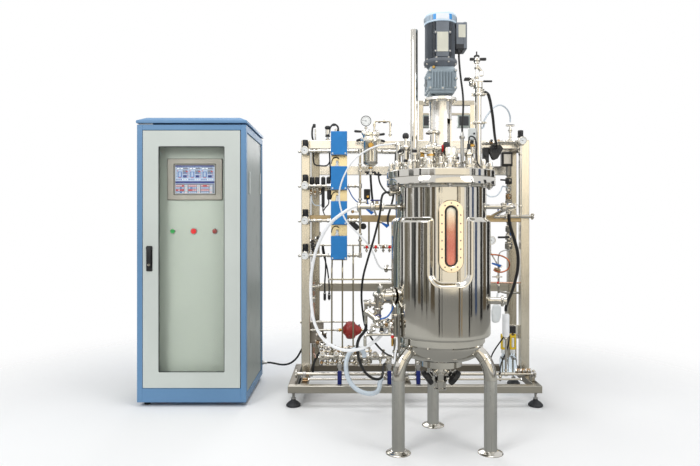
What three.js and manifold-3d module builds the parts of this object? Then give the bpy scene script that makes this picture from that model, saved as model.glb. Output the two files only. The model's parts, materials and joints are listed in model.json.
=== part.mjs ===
// A pilot-scale stirred bioreactor: a jacketed stainless vessel on three legs, the piping
// skid that feeds and drains it, and the control cabinet that is wired to the skid.
// Millimetres, +Z up. The origin is on the floor under the middle of the whole plant.
import * as THREE from 'three';
import { mergeVertices } from 'three/addons/utils/BufferGeometryUtils.js';
import Module from 'manifold-3d';

const wasm = await Module();
wasm.setup();

// ---------------------------------------------------------------- driving dimensions

const clearance = 0.3; // between pieces that touch

// Facets round a turned body, a fitting, a pipe and a running fit.
const bodySides = 24;
const fittingSides = 8;
const pipeSides = 8;
const fitSides = 12;

// Where the three stations stand: the cabinet's and the vessel's centres, the skid's corner.
const cabinetPlace = [-810, 385, 0];
const vesselPlace = [475, -436, 0];
const skidPlace = [-280, 65, 0];

// Control cabinet.
const cabinetWidth = 600;
const cabinetDepth = 600;
const cabinetTop = 1550;
const skirtBottom = 24;
const cabinetWall = 18;
const sideRecess = 6;
const sideFrame = 38;
const cabinetFloor = 84;
const floorPlate = 8;
const frontFrame = 30;
const roofGap = 8;
const roofSheet = 15;
const roofOverhang = 5;
const crownHeight = 20;
const crownInset = 40;
const doorMargin = 33; // casing beside the door
const doorWidth = cabinetWidth - 2 * doorMargin;
const doorBottom = 104;
const doorTop = 1517;
const doorThickness = 18;
const doorProud = 3;
const doorGap = 3;
const doorStop = 14;
const doorStile = 86;
const windowWidth = doorWidth - 2 * doorStile;
const windowBottom = 190;
const windowTop = 1430;
const windowCorner = 22;
const glassLap = 12;
const glassThickness = 4;
const handleInset = 37;
const handlePlate = [34, 3, 139];
const handleLever = [22, 10, 104];
const handleCentre = 814;
const panelSetback = 75;
const panelSheet = 3;
const screenBezel = [307, 8, 230];
const screenBody = [284, 34, 208];
const screenHeight = 1254;
const buttonHeight = 963;
const buttonPlaces = { start: -125, stop: -7, lamp: 111 };
const buttonRadius = 11;
const buttonStem = 7;
const buttonTravel = 3;
const casterTrail = 18;
const casterOffset = [170, 225];
const wheelRadius = 28;
const wheelWidth = 20;
const axleRadius = 4;
const controlCable = 12;

// Vessel.
const shellRadius = 206;
const shellWall = 6;
const jacketGap = 19;
const jacketRadius = shellRadius + jacketGap;
const jacketBottom = 505;
const jacketTop = 1035;
const lowerRadius = shellRadius - 14;
const dishBottom = 391;
const outletRing = [98, 362];
const outletBore = 12.5;
const flangeWidth = 40;
const flangeRadius = shellRadius + flangeWidth;
const flangeBottom = 1178;
const flangeTop = 1211;
const lidThickness = 33;
const sightTurn = 3.4;
const sightFrame = [93, 804, 1105];
const sightSlot = [43, 829, 1080];
const sightWell = [150, 758];
const legRadius = 28.5;
const legCircle = jacketRadius + 9;
const legKnee = 340;
const footDisc = [55, 13];

// Drive on top of the vessel.
const shaftRadius = 12.5;
const shaftBottom = 440;
const impellerRadius = 68;
const impellerHeights = [520, 800];
const stoolRadius = 51;
const stoolWall = 6;
const stoolTop = 1543;
const stoolFlange = [76, 37];
const gearboxSize = [134, 150, 127];
const gearboxNeck = [52, 9];
const motorRadius = 71;
const motorFlange = [76, 30];
const motorLength = 176;
const cowlHeight = 47;
const terminalBox = [50, 84, 126];

// Columns on the lid.
const columnRadius = 18;
const leftColumn = [-121, 0];
const leftColumnTop = 1899;
const rightColumn = [173, 0];
const rightColumnTop = 1649;

// Skid base, rack and what hangs on it, from the skid's left front corner.
const skidLength = 1390;
const skidDepth = 500;
const rail = 40;
const railBottom = 80;
const crossRails = [62, 640];
const levellingFoot = [40, 8];
const post = 50;
const rackHeight = 1492;
const frontRow = 215;
const rearRow = 440;
const frontPosts = [57, skidLength - 5 - post];
const rearPosts = [100, skidLength - 15 - post];
const flowBox = [93, 60, 135];
const flowColumn = 277;
const topFlowBox = 1467;
const rowPitch = 200;
const rows = 4;
const stationColumn = 82;
const flowBoxSeat = 4;
const gasLineDrop = 44;
const gasLineRadius = 8;
const manifoldColumn = 398;
const headerHeight = 155;
const headerDepth = 120;
const headerRadius = 10;
const branchHeight = 252;
const leverColumns = [282, 560, 722, 858];
const leverPivot = 208;
const leverLength = 110;

// ------------------------------------------------------------------------- finishes

const finishes = {
  blue_paint: { color: 0x6e98c8, roughness: 0.4, metalness: 0 },
  white_paint: { color: 0xdee4de, roughness: 0.45, metalness: 0 },
  grey_paint: { color: 0xc8d0c7, roughness: 0.5, metalness: 0 },
  polished_steel: { color: 0xb9b7b0, roughness: 0.12, metalness: 1 },
  brushed_steel: { color: 0x96948a, roughness: 0.35, metalness: 1 },
  motor_paint: { color: 0x485262, roughness: 0.5, metalness: 0 },
  gearbox_paint: { color: 0x73808c, roughness: 0.5, metalness: 0 },
  glass: { color: 0xdfe8e6, roughness: 0.05, metalness: 0, transparent: true, opacity: 0.35 },
  broth: { color: 0xd98468, roughness: 0.2, metalness: 0 },
  flow_blue: { color: 0x1e6eb4, roughness: 0.45, metalness: 0 },
  lever_blue: { color: 0x192378, roughness: 0.5, metalness: 0 },
  pump_red: { color: 0x961e23, roughness: 0.4, metalness: 0 },
  black_plastic: { color: 0x191a1c, roughness: 0.45, metalness: 0 },
  screen_plastic: { color: 0xb2a898, roughness: 0.5, metalness: 0 },
  start_green: { color: 0x1f7a3c, roughness: 0.35, metalness: 0 },
  stop_red: { color: 0xb01c1c, roughness: 0.35, metalness: 0 },
  wheel_red: { color: 0xa02420, roughness: 0.6, metalness: 0 },
  white_hose: { color: 0xf0f0ec, roughness: 0.4, metalness: 0 },
  black_rubber: { color: 0x121214, roughness: 0.6, metalness: 0 },
  clear_hose: { color: 0xbed2e6, roughness: 0.2, metalness: 0, transparent: true, opacity: 0.6 },
};

// -------------------------------------------------------------------------- shaping

// A closed geometry as a solid that can be joined and cut. Corners are shared, triangles
// that shrink to a line on a lathe's axis go, and a profile drawn downwards is turned over.
function solid(geometry) {
  const bare = geometry.clone();
  bare.deleteAttribute('normal');
  bare.deleteAttribute('uv');
  const merged = mergeVertices(bare, 1e-4);
  const corners = Array.from(merged.index.array);
  const kept = [];
  for (let i = 0; i < corners.length; i += 3) {
    const [a, b, c] = corners.slice(i, i + 3);
    if (a !== b && b !== c && c !== a) kept.push(a, b, c);
  }
  const build = (order) => new wasm.Manifold(new wasm.Mesh({
    numProp: 3,
    vertProperties: merged.attributes.position.array,
    triVerts: new Uint32Array(order),
  }));
  const made = build(kept);
  return made.volume() > 0 ? made : build(kept.reverse());
}

const join = (...solids) => wasm.Manifold.union(solids.flat());
const cut = (body, ...tools) => body.subtract(join(...tools));

// A block between two limits on each axis.
function block([x0, x1], [y0, y1], [z0, z1]) {
  const geometry = new THREE.BoxGeometry(x1 - x0, y1 - y0, z1 - z0);
  geometry.translate((x0 + x1) / 2, (y0 + y1) / 2, (z0 + z1) / 2);
  return solid(geometry);
}

// A block of a given width, depth and height, centred on x and y, standing at z.
function centredBlock(width, depth, height, x, y, z) {
  return block([x - width / 2, x + width / 2], [y - depth / 2, y + depth / 2], [z, z + height]);
}

// A round bar between two points; a second radius at the far end makes it a cone.
function bar(from, to, radius, sides = pipeSides, farRadius = radius) {
  const start = new THREE.Vector3(...from);
  const run = new THREE.Vector3(...to).sub(start);
  const geometry = new THREE.CylinderGeometry(farRadius, radius, run.length(), sides);
  geometry.translate(0, run.length() / 2, 0);
  const turn = new THREE.Quaternion().setFromUnitVectors(new THREE.Vector3(0, 1, 0), run.clone().normalize());
  geometry.applyQuaternion(turn);
  geometry.translate(...from);
  return solid(geometry);
}

// A profile of [radius, height] points turned about +Z at a place. It starts and ends on
// the axis, or is closed here into a ring.
function turned(profile, sides, [x, y, z] = [0, 0, 0]) {
  const outline = profile[0][0] > 0 ? [...profile, profile[0]] : profile;
  const geometry = new THREE.LatheGeometry(outline.map(([r, h]) => new THREE.Vector2(r, h)), sides);
  geometry.rotateX(Math.PI / 2);
  geometry.translate(x, y, z);
  return solid(geometry);
}

// Rigid pipe: straight bars that run a little past the corners where they meet.
function pipeRun(points, radius, sides = pipeSides) {
  const corners = points.map((p) => new THREE.Vector3(...p));
  const parts = [];
  for (let i = 1; i < corners.length; i += 1) {
    const along = corners[i].clone().sub(corners[i - 1]).setLength(radius * 0.7);
    const from = i > 1 ? corners[i - 1].clone().sub(along) : corners[i - 1];
    const to = i < corners.length - 1 ? corners[i].clone().add(along) : corners[i];
    parts.push(bar(from.toArray(), to.toArray(), radius, sides));
  }
  return join(parts);
}

// A round tube swept along a smooth curve through its points.
function sweptTube(points, radius, sides, stepLength) {
  const curve = new THREE.CatmullRomCurve3(points.map((p) => new THREE.Vector3(...p)), false, 'centripetal');
  const steps = Math.min(80, Math.ceil(curve.getLength() / stepLength));
  const corners = [];
  for (let i = 0; i < sides; i += 1) {
    const turn = (2 * Math.PI * i) / sides;
    corners.push(new THREE.Vector2(radius * Math.cos(turn), radius * Math.sin(turn)));
  }
  const options = { steps, bevelEnabled: false, extrudePath: curve };
  return solid(new THREE.ExtrudeGeometry(new THREE.Shape(corners), options));
}

// A flat plate with round corners, standing up and facing -Y, between two depths.
function roundedPlate(width, [z0, z1], [y0, y1], corner, x = 0) {
  const half = width / 2;
  const shape = new THREE.Shape();
  shape.moveTo(half, z0 + corner);
  shape.lineTo(half, z1 - corner);
  shape.absarc(half - corner, z1 - corner, corner, 0, Math.PI / 2);
  shape.absarc(-half + corner, z1 - corner, corner, Math.PI / 2, Math.PI);
  shape.absarc(-half + corner, z0 + corner, corner, Math.PI, 1.5 * Math.PI);
  shape.absarc(half - corner, z0 + corner, corner, 1.5 * Math.PI, 2 * Math.PI);
  const options = { depth: y1 - y0, bevelEnabled: false, curveSegments: 3 };
  const geometry = new THREE.ExtrudeGeometry(shape, options);
  geometry.rotateX(Math.PI / 2);
  geometry.translate(x, y1, 0);
  return solid(geometry);
}

// ------------------------------------------------------------------- the scene graph

const plant = new THREE.Group();
const cabinet = new THREE.Group();
const vessel = new THREE.Group();
const skid = new THREE.Group();
cabinet.position.set(...cabinetPlace);
vessel.position.set(...vesselPlace);
skid.position.set(...skidPlace);
plant.add(cabinet, vessel, skid);

function piece(parent, name, shape, finish, place = [0, 0, 0]) {
  const { vertProperties, triVerts } = shape.simplify(0.05).getMesh();
  const geometry = new THREE.BufferGeometry();
  geometry.setAttribute('position', new THREE.BufferAttribute(vertProperties, 3));
  geometry.setIndex(new THREE.BufferAttribute(triVerts, 1));
  geometry.computeVertexNormals();
  const mesh = new THREE.Mesh(geometry, new THREE.MeshStandardMaterial(finishes[finish]));
  mesh.name = name;
  mesh.position.set(...place);
  parent.add(mesh);
}

// --------------------------------------------------------------------------- cabinet

const halfWidth = cabinetWidth / 2;
const halfDepth = cabinetDepth / 2;
const front = -halfDepth;
const insideWidth = halfWidth - cabinetWall;
const insideDepth = halfDepth - cabinetWall;
const insideFloor = cabinetFloor + floorPlate;
const doorFront = front - doorProud;
const doorBack = doorFront + doorThickness;
const rearCasters = [-casterOffset[0], casterOffset[0]];

// A fork that hangs from a given height: crown, two cheeks and the axle, from its own centre.
function casterFork(top) {
  const cheek = wheelWidth / 2 + 1;
  const crownBottom = 2 * wheelRadius + 4;
  const sides = [-1, 1].map((side) => {
    const near = side > 0 ? cheek : -cheek - 3;
    return block([near, near + 3], [-9, casterTrail + 9], [wheelRadius - 8, crownBottom + 4]);
  });
  const crown = block([-cheek - 3, cheek + 3], [-14, casterTrail + 9], [crownBottom, crownBottom + 8]);
  const swivel = bar([0, 0, crownBottom + 6], [0, 0, top], 20, fittingSides);
  const axleEnd = cheek + 5;
  const axle = bar(
    [-axleEnd, casterTrail, wheelRadius], [axleEnd, casterTrail, wheelRadius], axleRadius, fitSides);
  return join(sides, crown, swivel, axle);
}

function casterWheel() {
  const tyre = bar([-wheelWidth / 2, 0, 0], [wheelWidth / 2, 0, 0], wheelRadius, 16);
  const bore = bar([-wheelWidth, 0, 0], [wheelWidth, 0, 0], axleRadius + clearance, fitSides);
  return cut(tyre, bore);
}

// Casing: a folded shell with a framed front, set-in side panels, an open plinth and the
// two fixed rear casters, with a parking foot at the left front corner and a cable gland.
function cabinetBody() {
  const shell = block([-halfWidth, halfWidth], [-halfDepth, halfDepth], [skirtBottom, cabinetTop]);
  const inside = block(
    [-insideWidth, insideWidth], [front + frontFrame, insideDepth], [insideFloor, cabinetTop - cabinetWall]);
  const plinth = block(
    [-insideWidth, insideWidth], [-insideDepth, insideDepth], [skirtBottom - 1, cabinetFloor]);
  const rebateHalf = doorWidth / 2 + doorGap;
  const rebate = block(
    [-rebateHalf, rebateHalf], [front - 1, doorBack + clearance], [doorBottom - doorGap, doorTop + doorGap]);
  const throatHalf = rebateHalf - doorStop;
  const throat = block(
    [-throatHalf, throatHalf], [front, front + frontFrame + 1], [doorBottom + doorStop, doorTop - doorStop]);
  const recesses = [-1, 1].map((side) => {
    const outer = side * (halfWidth + 1);
    const inner = side * (halfWidth - sideRecess);
    return block(
      [Math.min(outer, inner), Math.max(outer, inner)],
      [front + sideFrame, halfDepth - sideFrame], [skirtBottom + sideFrame, cabinetTop - sideFrame]);
  });
  const gland = [halfWidth, halfDepth - sideFrame / 2, 103];
  const glandNut = bar([gland[0] - 2, gland[1], gland[2]], [gland[0] + 12, gland[1], gland[2]], 13, 8);
  const glandSleeve = bar(
    [gland[0] + 10, gland[1], gland[2]], [gland[0] + 34, gland[1], gland[2]], 10, 12, controlCable / 2 + 1);
  const forks = rearCasters.map((x) => casterFork(insideFloor).translate(x, casterOffset[1], 0));
  const footPlace = [-halfWidth + 45, front + 38];
  const foot = join(
    bar([...footPlace, 14], [...footPlace, cabinetFloor + 1], 7, 10),
    bar([...footPlace, 4], [...footPlace, 15], 17, fitSides));
  return join(cut(shell, inside, plinth, rebate, throat, ...recesses), glandNut, glandSleeve, forks, foot);
}

// Roof: a cap over a smaller spacer, so that a dark gap runs round it, and a bevelled crown.
function cabinetRoof() {
  const base = cabinetTop + clearance;
  const capHalf = halfWidth + roofOverhang;
  const spacer = centredBlock(cabinetWidth - 60, cabinetDepth - 60, roofGap + 1, 0, 0, base);
  const cap = centredBlock(2 * capHalf, 2 * capHalf, roofSheet, 0, 0, base + roofGap);
  const crown = new THREE.CylinderGeometry(
    (capHalf - crownInset) * Math.SQRT2, (capHalf - 4) * Math.SQRT2, crownHeight, 4, 1);
  crown.rotateX(Math.PI / 2);
  crown.rotateZ(Math.PI / 4);
  crown.translate(0, 0, base + roofGap + roofSheet + crownHeight / 2);
  return join(spacer, cap, solid(crown));
}

function cabinetDoor() {
  const leaf = block([-doorWidth / 2, doorWidth / 2], [doorFront, doorBack], [doorBottom, doorTop]);
  const window = roundedPlate(
    windowWidth, [windowBottom, windowTop], [doorFront - 1, doorBack + 1], windowCorner);
  const lap = glassLap + clearance;
  const seat = block(
    [-windowWidth / 2 - lap, windowWidth / 2 + lap],
    [doorBack - glassThickness - 2, doorBack + 1], [windowBottom - lap, windowTop + lap]);
  const x = -doorWidth / 2 + handleInset;
  const [width, depth, height] = handlePlate;
  const plate = centredBlock(
    width, depth + 1, height, x, doorFront - depth / 2 + 0.5, handleCentre - height / 2);
  const cheekTop = handleCentre + height / 2 - 6;
  const cheeks = [-1, 1].map((side) => centredBlock(
    4, handleLever[1] + 4, 14, x + side * (handleLever[0] / 2 + clearance + 2),
    doorFront - depth - handleLever[1] / 2 + 1, cheekTop - 14));
  return join(cut(leaf, window, seat), plate, ...cheeks);
}

function doorGlass() {
  return block(
    [-windowWidth / 2 - glassLap, windowWidth / 2 + glassLap],
    [doorBack - glassThickness - 2 + clearance, doorBack - 2 + clearance],
    [windowBottom - glassLap, windowTop + glassLap]);
}

// Lever with a round upper end on its hinge line, and a press button at the lower end.
function doorHandle() {
  const x = -doorWidth / 2 + handleInset;
  const [width, depth, length] = handleLever;
  const middle = doorFront - handlePlate[1] - clearance - depth / 2;
  const pivot = handleCentre + handlePlate[2] / 2 - 13;
  const hub = bar([x - width / 2, middle, pivot], [x + width / 2, middle, pivot], depth / 2, 12);
  const grip = block(
    [x - width / 2, x + width / 2], [middle - depth / 2, middle + depth / 2], [pivot - length, pivot]);
  const buttonHeight = pivot - length + 14;
  const button = bar([x, middle, buttonHeight], [x, middle - depth / 2 - 3, buttonHeight], 8, 12);
  return join(hub, grip, button);
}

const panelFront = front + panelSetback;

function controlPanel() {
  const reach = insideWidth - clearance;
  const sheet = block(
    [-reach, reach], [panelFront, panelFront + panelSheet],
    [insideFloor + clearance, cabinetTop - cabinetWall - clearance]);
  const [bodyWidth, , bodyHeight] = screenBody;
  const screenHole = centredBlock(
    bodyWidth + 2, 20, bodyHeight + 2, 0, panelFront, screenHeight - (bodyHeight + 2) / 2);
  const rings = [];
  const bores = [];
  const stub = (x, ahead, behind, radius) => bar(
    [x, panelFront - ahead, buttonHeight], [x, panelFront + behind, buttonHeight], radius, fitSides);
  for (const x of [buttonPlaces.start, buttonPlaces.stop]) {
    rings.push(stub(x, 4, 1, buttonRadius + 4));
    bores.push(stub(x, 5, 0, buttonRadius + clearance));
    bores.push(stub(x, 5, 9, buttonStem + clearance));
  }
  const lamp = join(
    stub(buttonPlaces.lamp, 4, 1, buttonRadius + 4), stub(buttonPlaces.lamp, 13, -3, buttonRadius));
  return join(cut(join(sheet, ...rings), screenHole, ...bores), lamp);
}

// Push button: cap in its ring, stem through the panel and a keeper behind it.
function pushButton() {
  const capBack = panelFront - buttonTravel - clearance;
  return join(
    bar([0, capBack - 9, 0], [0, capBack, 0], buttonRadius, fitSides),
    bar([0, capBack - 1, 0], [0, panelFront + 16, 0], buttonStem, fitSides),
    bar([0, panelFront + panelSheet + 1, 0], [0, panelFront + panelSheet + 5, 0], 10, fitSides));
}

function touchScreen() {
  const [width, depth, height] = screenBezel;
  const [bodyWidth, bodyDepth, bodyHeight] = screenBody;
  const back = panelFront - clearance;
  return join(
    centredBlock(width, depth, height, 0, back - depth / 2, screenHeight - height / 2),
    centredBlock(
      bodyWidth, bodyDepth, bodyHeight, 0, back + bodyDepth / 2 - 1, screenHeight - bodyHeight / 2));
}

piece(cabinet, 'cabinet_body', cabinetBody(), 'blue_paint');
piece(cabinet, 'cabinet_roof', cabinetRoof(), 'blue_paint');
piece(cabinet, 'cabinet_door', cabinetDoor(), 'white_paint');
piece(cabinet, 'door_glass', doorGlass(), 'glass');
piece(cabinet, 'door_handle', doorHandle(), 'black_plastic');
piece(cabinet, 'control_panel', controlPanel(), 'grey_paint');
piece(cabinet, 'touch_screen', touchScreen(), 'screen_plastic');
piece(cabinet, 'start_button', pushButton(), 'start_green', [buttonPlaces.start, 0, buttonHeight]);
piece(cabinet, 'stop_button', pushButton(), 'stop_red', [buttonPlaces.stop, 0, buttonHeight]);
for (const [side, x] of [['left', -casterOffset[0]], ['right', casterOffset[0]]]) {
  piece(cabinet, `front_${side}_caster_fork`, casterFork(cabinetFloor - clearance), 'brushed_steel',
    [x, -casterOffset[1], 0]);
  piece(cabinet, `front_${side}_caster_wheel`, casterWheel(), 'wheel_red',
    [x, -casterOffset[1] + casterTrail, wheelRadius]);
  piece(cabinet, `rear_${side}_caster_wheel`, casterWheel(), 'wheel_red',
    [x, casterOffset[1] + casterTrail, wheelRadius]);
}

// ---------------------------------------------------------------------------- vessel

const innerRadius = shellRadius - shellWall;
const lidBottom = flangeTop + clearance;
const lidTop = lidBottom + lidThickness;

// Outside of the pressure vessel from its outlet ring to its flange. A grown copy of it
// trims whatever butts against the shell.
function vesselOutside(grow = 0) {
  const [ringRadius, ringBottom] = outletRing;
  return [
    [ringRadius + grow, ringBottom - grow],
    [ringRadius + grow, dishBottom - grow],
    [lowerRadius - 52, dishBottom + 10 - grow],
    [lowerRadius - 20 + grow, dishBottom + 33 - grow],
    [lowerRadius - 4 + grow, dishBottom + 58],
    [lowerRadius + grow, dishBottom + 82],
    [lowerRadius + grow, jacketBottom - grow],
    [jacketRadius - 5 + grow, jacketBottom + 6 - grow],
    [jacketRadius + grow, jacketBottom + 20],
    [jacketRadius + grow, jacketTop - 22],
    [jacketRadius - 6 + grow, jacketTop - 7 + grow],
    [shellRadius + grow, jacketTop + grow],
    [shellRadius + grow, flangeBottom - grow],
    [flangeRadius + grow, flangeBottom - grow],
    [flangeRadius + grow, flangeTop],
  ];
}

function vesselCore(grow) {
  return turned([[0, outletRing[1] - grow], ...vesselOutside(grow), [0, flangeTop]], bodySides);
}

// Radial pipe stub with a clamp ferrule, at an angle from +X and a height.
function nozzle(angle, height, radius, from, to) {
  const turn = THREE.MathUtils.degToRad(angle);
  const at = (r) => [r * Math.cos(turn), r * Math.sin(turn), height];
  return join(bar(at(from), at(to), radius), bar(at(to - 8), at(to), radius + 9, fittingSides));
}

const sideNozzles = [
  { angle: 184, height: 1084, radius: 11, stand: 175 }, // gas and feed line, left
  { angle: 0, height: 1085, radius: 11, stand: 84 }, // vent line, right
  { angle: 186, height: 1150, radius: 9, stand: 30 }, // foam probe cable
  { angle: 196, height: 674, radius: 16, stand: 94 }, // sampling valve, left
  { angle: 348, height: 660, radius: 16, stand: 74 }, // probe port, right
  { angle: 160, height: 794, radius: 9, stand: 56 }, // jacket water, left rear
  { angle: 30, height: 800, radius: 9, stand: 56 }, // jacket water, right rear
];

function vesselShell() {
  const inside = [
    [innerRadius, flangeTop],
    [innerRadius, dishBottom + 84],
    [lowerRadius - 12, dishBottom + 62],
    [lowerRadius - 30, dishBottom + 40],
    [lowerRadius - 62, dishBottom + 18],
    [outletBore + 2, dishBottom + 8],
    [outletBore, dishBottom],
  ];
  const wall = turned([[outletBore, outletRing[1]], ...vesselOutside(), ...inside], bodySides);
  const [wellWidth, wellBottom] = sightWell;
  const well = roundedPlate(wellWidth, [wellBottom, jacketTop + 80], [-jacketRadius - 20, 0], 40);
  const core = (radius, low, high) => turned([[0, low], [radius, low], [radius, high], [0, high]], bodySides);
  const wellCutter = cut(well, core(shellRadius, wellBottom - 10, jacketTop + 90));
  const [frameWidth, frameBottom, frameTop] = sightFrame;
  const frame = cut(
    roundedPlate(frameWidth, [frameBottom, frameTop], [-shellRadius - 13, -innerRadius + 12], 26),
    core(innerRadius, frameBottom - 1, frameTop + 1));
  const [slotWidth, slotBottom, slotTop] = sightSlot;
  const slot = roundedPlate(
    slotWidth, [slotBottom, slotTop], [-jacketRadius - 5, -innerRadius + 30], slotWidth / 2);
  const facing = (shape) => shape.rotate([0, 0, sightTurn]);
  const framed = join(cut(wall, facing(wellCutter)), facing(frame));
  const nozzles = sideNozzles.map(({ angle, height, radius, stand }) => nozzle(
    angle, height, radius, innerRadius + 4, shellRadius + stand));
  return join(cut(framed, facing(slot)), nozzles, samplingValve());
}

// Valve that hangs from the left lower nozzle: body, bonnet, a cross branch and two hose tails.
function samplingValve() {
  const { angle, stand } = sideNozzles[3];
  const turn = THREE.MathUtils.degToRad(angle);
  const x = (shellRadius + stand + 4) * Math.cos(turn);
  const y = (shellRadius + stand + 4) * Math.sin(turn);
  return join(
    bar([x, y, 694], [x, y, 560], 17),
    bar([x, y, 652], [x - 62, y, 652], 14),
    bar([x - 52, y, 668], [x - 52, y, 560], 8),
    bar([x, y, 580], [x + 62, y, 572], 10),
    bar([x + 58, y, 572], [x + 44, y, 550], 6));
}

// Sight glass: a long pane in its slot, clear of the frame by the width of the gasket.
function sightGlass() {
  const [slotWidth, slotBottom, slotTop] = sightSlot;
  const pane = roundedPlate(
    slotWidth - 2 * clearance, [slotBottom + clearance, slotTop - clearance],
    [-shellRadius - 6, -shellRadius + 8], slotWidth / 2 - clearance);
  return pane.rotate([0, 0, sightTurn]);
}

// The diaphragm valve's handwheel, from the centre of its riser, and a stem's depth past
// the middle of its handwheel.
const lidWheelReach = 68;
const valveStem = 6;
const stemInHub = 5;

// Tubes and ports that stand on the lid: [x, y, radius, height above the lid].
const lidPorts = [
  [-60, -118, 15, 112], // riser under the diaphragm valve
  [-163, -40, 17, 120], // inoculation port
  [-190, 34, 12, 140], // feed port with a hose tail
  [95, -28, 8, 180], // conduit for the motor cable
  [112, -92, 16, 92], // pH probe port
  [20, -165, 19, 58], // lamp port
  [-70, 120, 16, 110], // safety valve
  [90, 130, 19, 60], // hand hole
];

function vesselLid() {
  const plate = turned(
    [[shaftRadius + clearance, lidBottom], [flangeRadius, lidBottom], [flangeRadius, lidTop - 3],
      [flangeRadius - 3, lidTop], [stoolRadius - 16, lidTop], [stoolRadius - 16, lidTop + 40],
      [shaftRadius + clearance, lidTop + 40]], bodySides);
  const ports = lidPorts.map(([x, y, radius, height]) => join(
    bar([x, y, lidTop - 2], [x, y, lidTop + height], radius),
    bar([x, y, lidTop + 30], [x, y, lidTop + 42], radius + 10, fittingSides)));
  const [valveX, valveY, , valveRise] = lidPorts[0];
  const valveZ = lidTop + valveRise - 18;
  const valve = join(
    bar([valveX - 26, valveY, valveZ], [valveX + 18, valveY, valveZ], 17, fittingSides),
    bar([valveX + 10, valveY, valveZ], [valveX + 22, valveY, valveZ], 27, fittingSides),
    bar([valveX + 20, valveY, valveZ], [valveX + 46, valveY, valveZ], 19, fittingSides),
    bar([valveX + 44, valveY, valveZ], [valveX + lidWheelReach + stemInHub, valveY, valveZ],
      valveStem, fitSides));
  const [feedX, feedY, , feedRise] = lidPorts[2];
  const hoseTail = bar([feedX, feedY, lidTop + feedRise - 8], [feedX - 30, feedY, lidTop + feedRise - 8], 5);
  return join(plate, ports, valve, hoseTail);
}

// Round grip with a hub bored for its stem, turned later to the direction of the stem. The
// flats of the bore clear the corners of the stem.
function handwheel(radius, thickness, stem) {
  const bore = (stem + clearance) / Math.cos(Math.PI / fitSides);
  const rim = bar([0, 0, -thickness / 2], [0, 0, thickness / 2], radius, fitSides);
  const hub = bar([0, 0, -thickness / 2 - 6], [0, 0, thickness / 2], radius * 0.45, fittingSides);
  return cut(join(rim, hub), bar([0, 0, -thickness], [0, 0, thickness / 2 - 6], bore, fitSides));
}

function legSolid(angle) {
  const turn = THREE.MathUtils.degToRad(angle);
  const at = (r, z) => [r * Math.cos(turn), r * Math.sin(turn), z];
  const bend = [
    at(legCircle, 6), at(legCircle, 120), at(legCircle, 240), at(legCircle, legKnee - 20),
    at(legCircle - 3, legKnee + 14), at(legCircle - 14, legKnee + 46), at(legCircle - 34, legKnee + 74),
    at(legCircle - 60, legKnee + 98), at(legCircle - 92, legKnee + 124),
  ];
  const tube = sweptTube(bend, legRadius, 12, 45);
  const [discRadius, discHeight] = footDisc;
  const disc = turned(
    [[0, 0], [discRadius, 0], [discRadius, 3], [legRadius + 6, discHeight], [0, discHeight]],
    fitSides, at(legCircle, 0));
  const trimmed = cut(tube, vesselCore(clearance));
  const [lower] = trimmed.decompose().sort((a, b) => b.volume() - a.volume());
  return join(lower, disc);
}

// Bottom outlet valve: a block under the ring with two bonnets that lean out and down.
const bottomLean = new THREE.Vector3(0.8, -0.1, -0.6).normalize();
const bonnetRoot = [24, -12, 334];
const wheelReach = 48;

function bonnetPoint(side, distance) {
  const [x, y, z] = bonnetRoot;
  return [
    side * (x + bottomLean.x * distance), y + bottomLean.y * distance, z + bottomLean.z * distance];
}

function bottomValve() {
  const top = outletRing[1] - clearance;
  const body = join(
    bar([0, 0, 246], [0, 0, top], 27, fittingSides), bar([0, 0, top - 12], [0, 0, top], 42, fitSides),
    bar([10, 10, 300], [84, 60, 300], 12), bar([76, 55, 300], [86, 62, 300], 20, fittingSides));
  const bonnets = [-1, 1].map((side) => join(
    bar(bonnetPoint(side, -14), bonnetPoint(side, 24), 19),
    bar(bonnetPoint(side, 20), bonnetPoint(side, wheelReach + stemInHub), valveStem, fitSides)));
  return cut(join(body, ...bonnets), bar([0, 0, 240], [0, 0, 400], outletBore, fittingSides));
}

// Drive: stool with windows, gearbox, motor with its cowl and terminal box.
const stoolBottom = lidTop + clearance;
const gearboxBottom = stoolTop + stoolFlange[1] + clearance + gearboxNeck[1];
const gearboxTop = gearboxBottom + gearboxSize[2];
const motorBottom = gearboxTop + clearance;
const cowlBottom = motorBottom + motorFlange[1] + motorLength;

function motorStool() {
  const [flange, depth] = stoolFlange;
  const inner = stoolRadius - stoolWall;
  const top = stoolTop + depth;
  const tube = turned([
    [inner, stoolBottom], [stoolRadius + 16, stoolBottom], [stoolRadius + 16, stoolBottom + 12],
    [stoolRadius, stoolBottom + 12], [stoolRadius, stoolTop], [flange, stoolTop + depth - 14], [flange, top],
    [inner, top]], 16);
  const windows = block([-24, 24], [-80, 80], [stoolBottom + 70, stoolTop - 60]).rotate([0, 0, 55]);
  return cut(tube, windows);
}

function gearbox() {
  const [width, depth, height] = gearboxSize;
  const [neckRadius, neckHeight] = gearboxNeck;
  const caseHalf = width / 2 - 8;
  const outline = [
    [-width / 2, -depth / 2 + 14], [-caseHalf + 6, -depth / 2], [caseHalf - 6, -depth / 2],
    [width / 2, -depth / 2 + 14], [width / 2, depth / 2 - 14], [caseHalf - 6, depth / 2],
    [-caseHalf + 6, depth / 2], [-width / 2, depth / 2 - 14],
  ];
  const shape = new THREE.Shape(outline.map(([x, y]) => new THREE.Vector2(x, y)));
  const housing = new THREE.ExtrudeGeometry(shape, { depth: height, bevelEnabled: false });
  housing.translate(0, 0, gearboxBottom);
  const neck = bar([0, 0, gearboxBottom - neckHeight], [0, 0, gearboxBottom + 2], neckRadius, fitSides);
  const bore = bar([0, 0, gearboxBottom - 20], [0, 0, gearboxBottom + 50], shaftRadius + clearance, fitSides);
  return cut(join(solid(housing), neck), bore);
}

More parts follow.
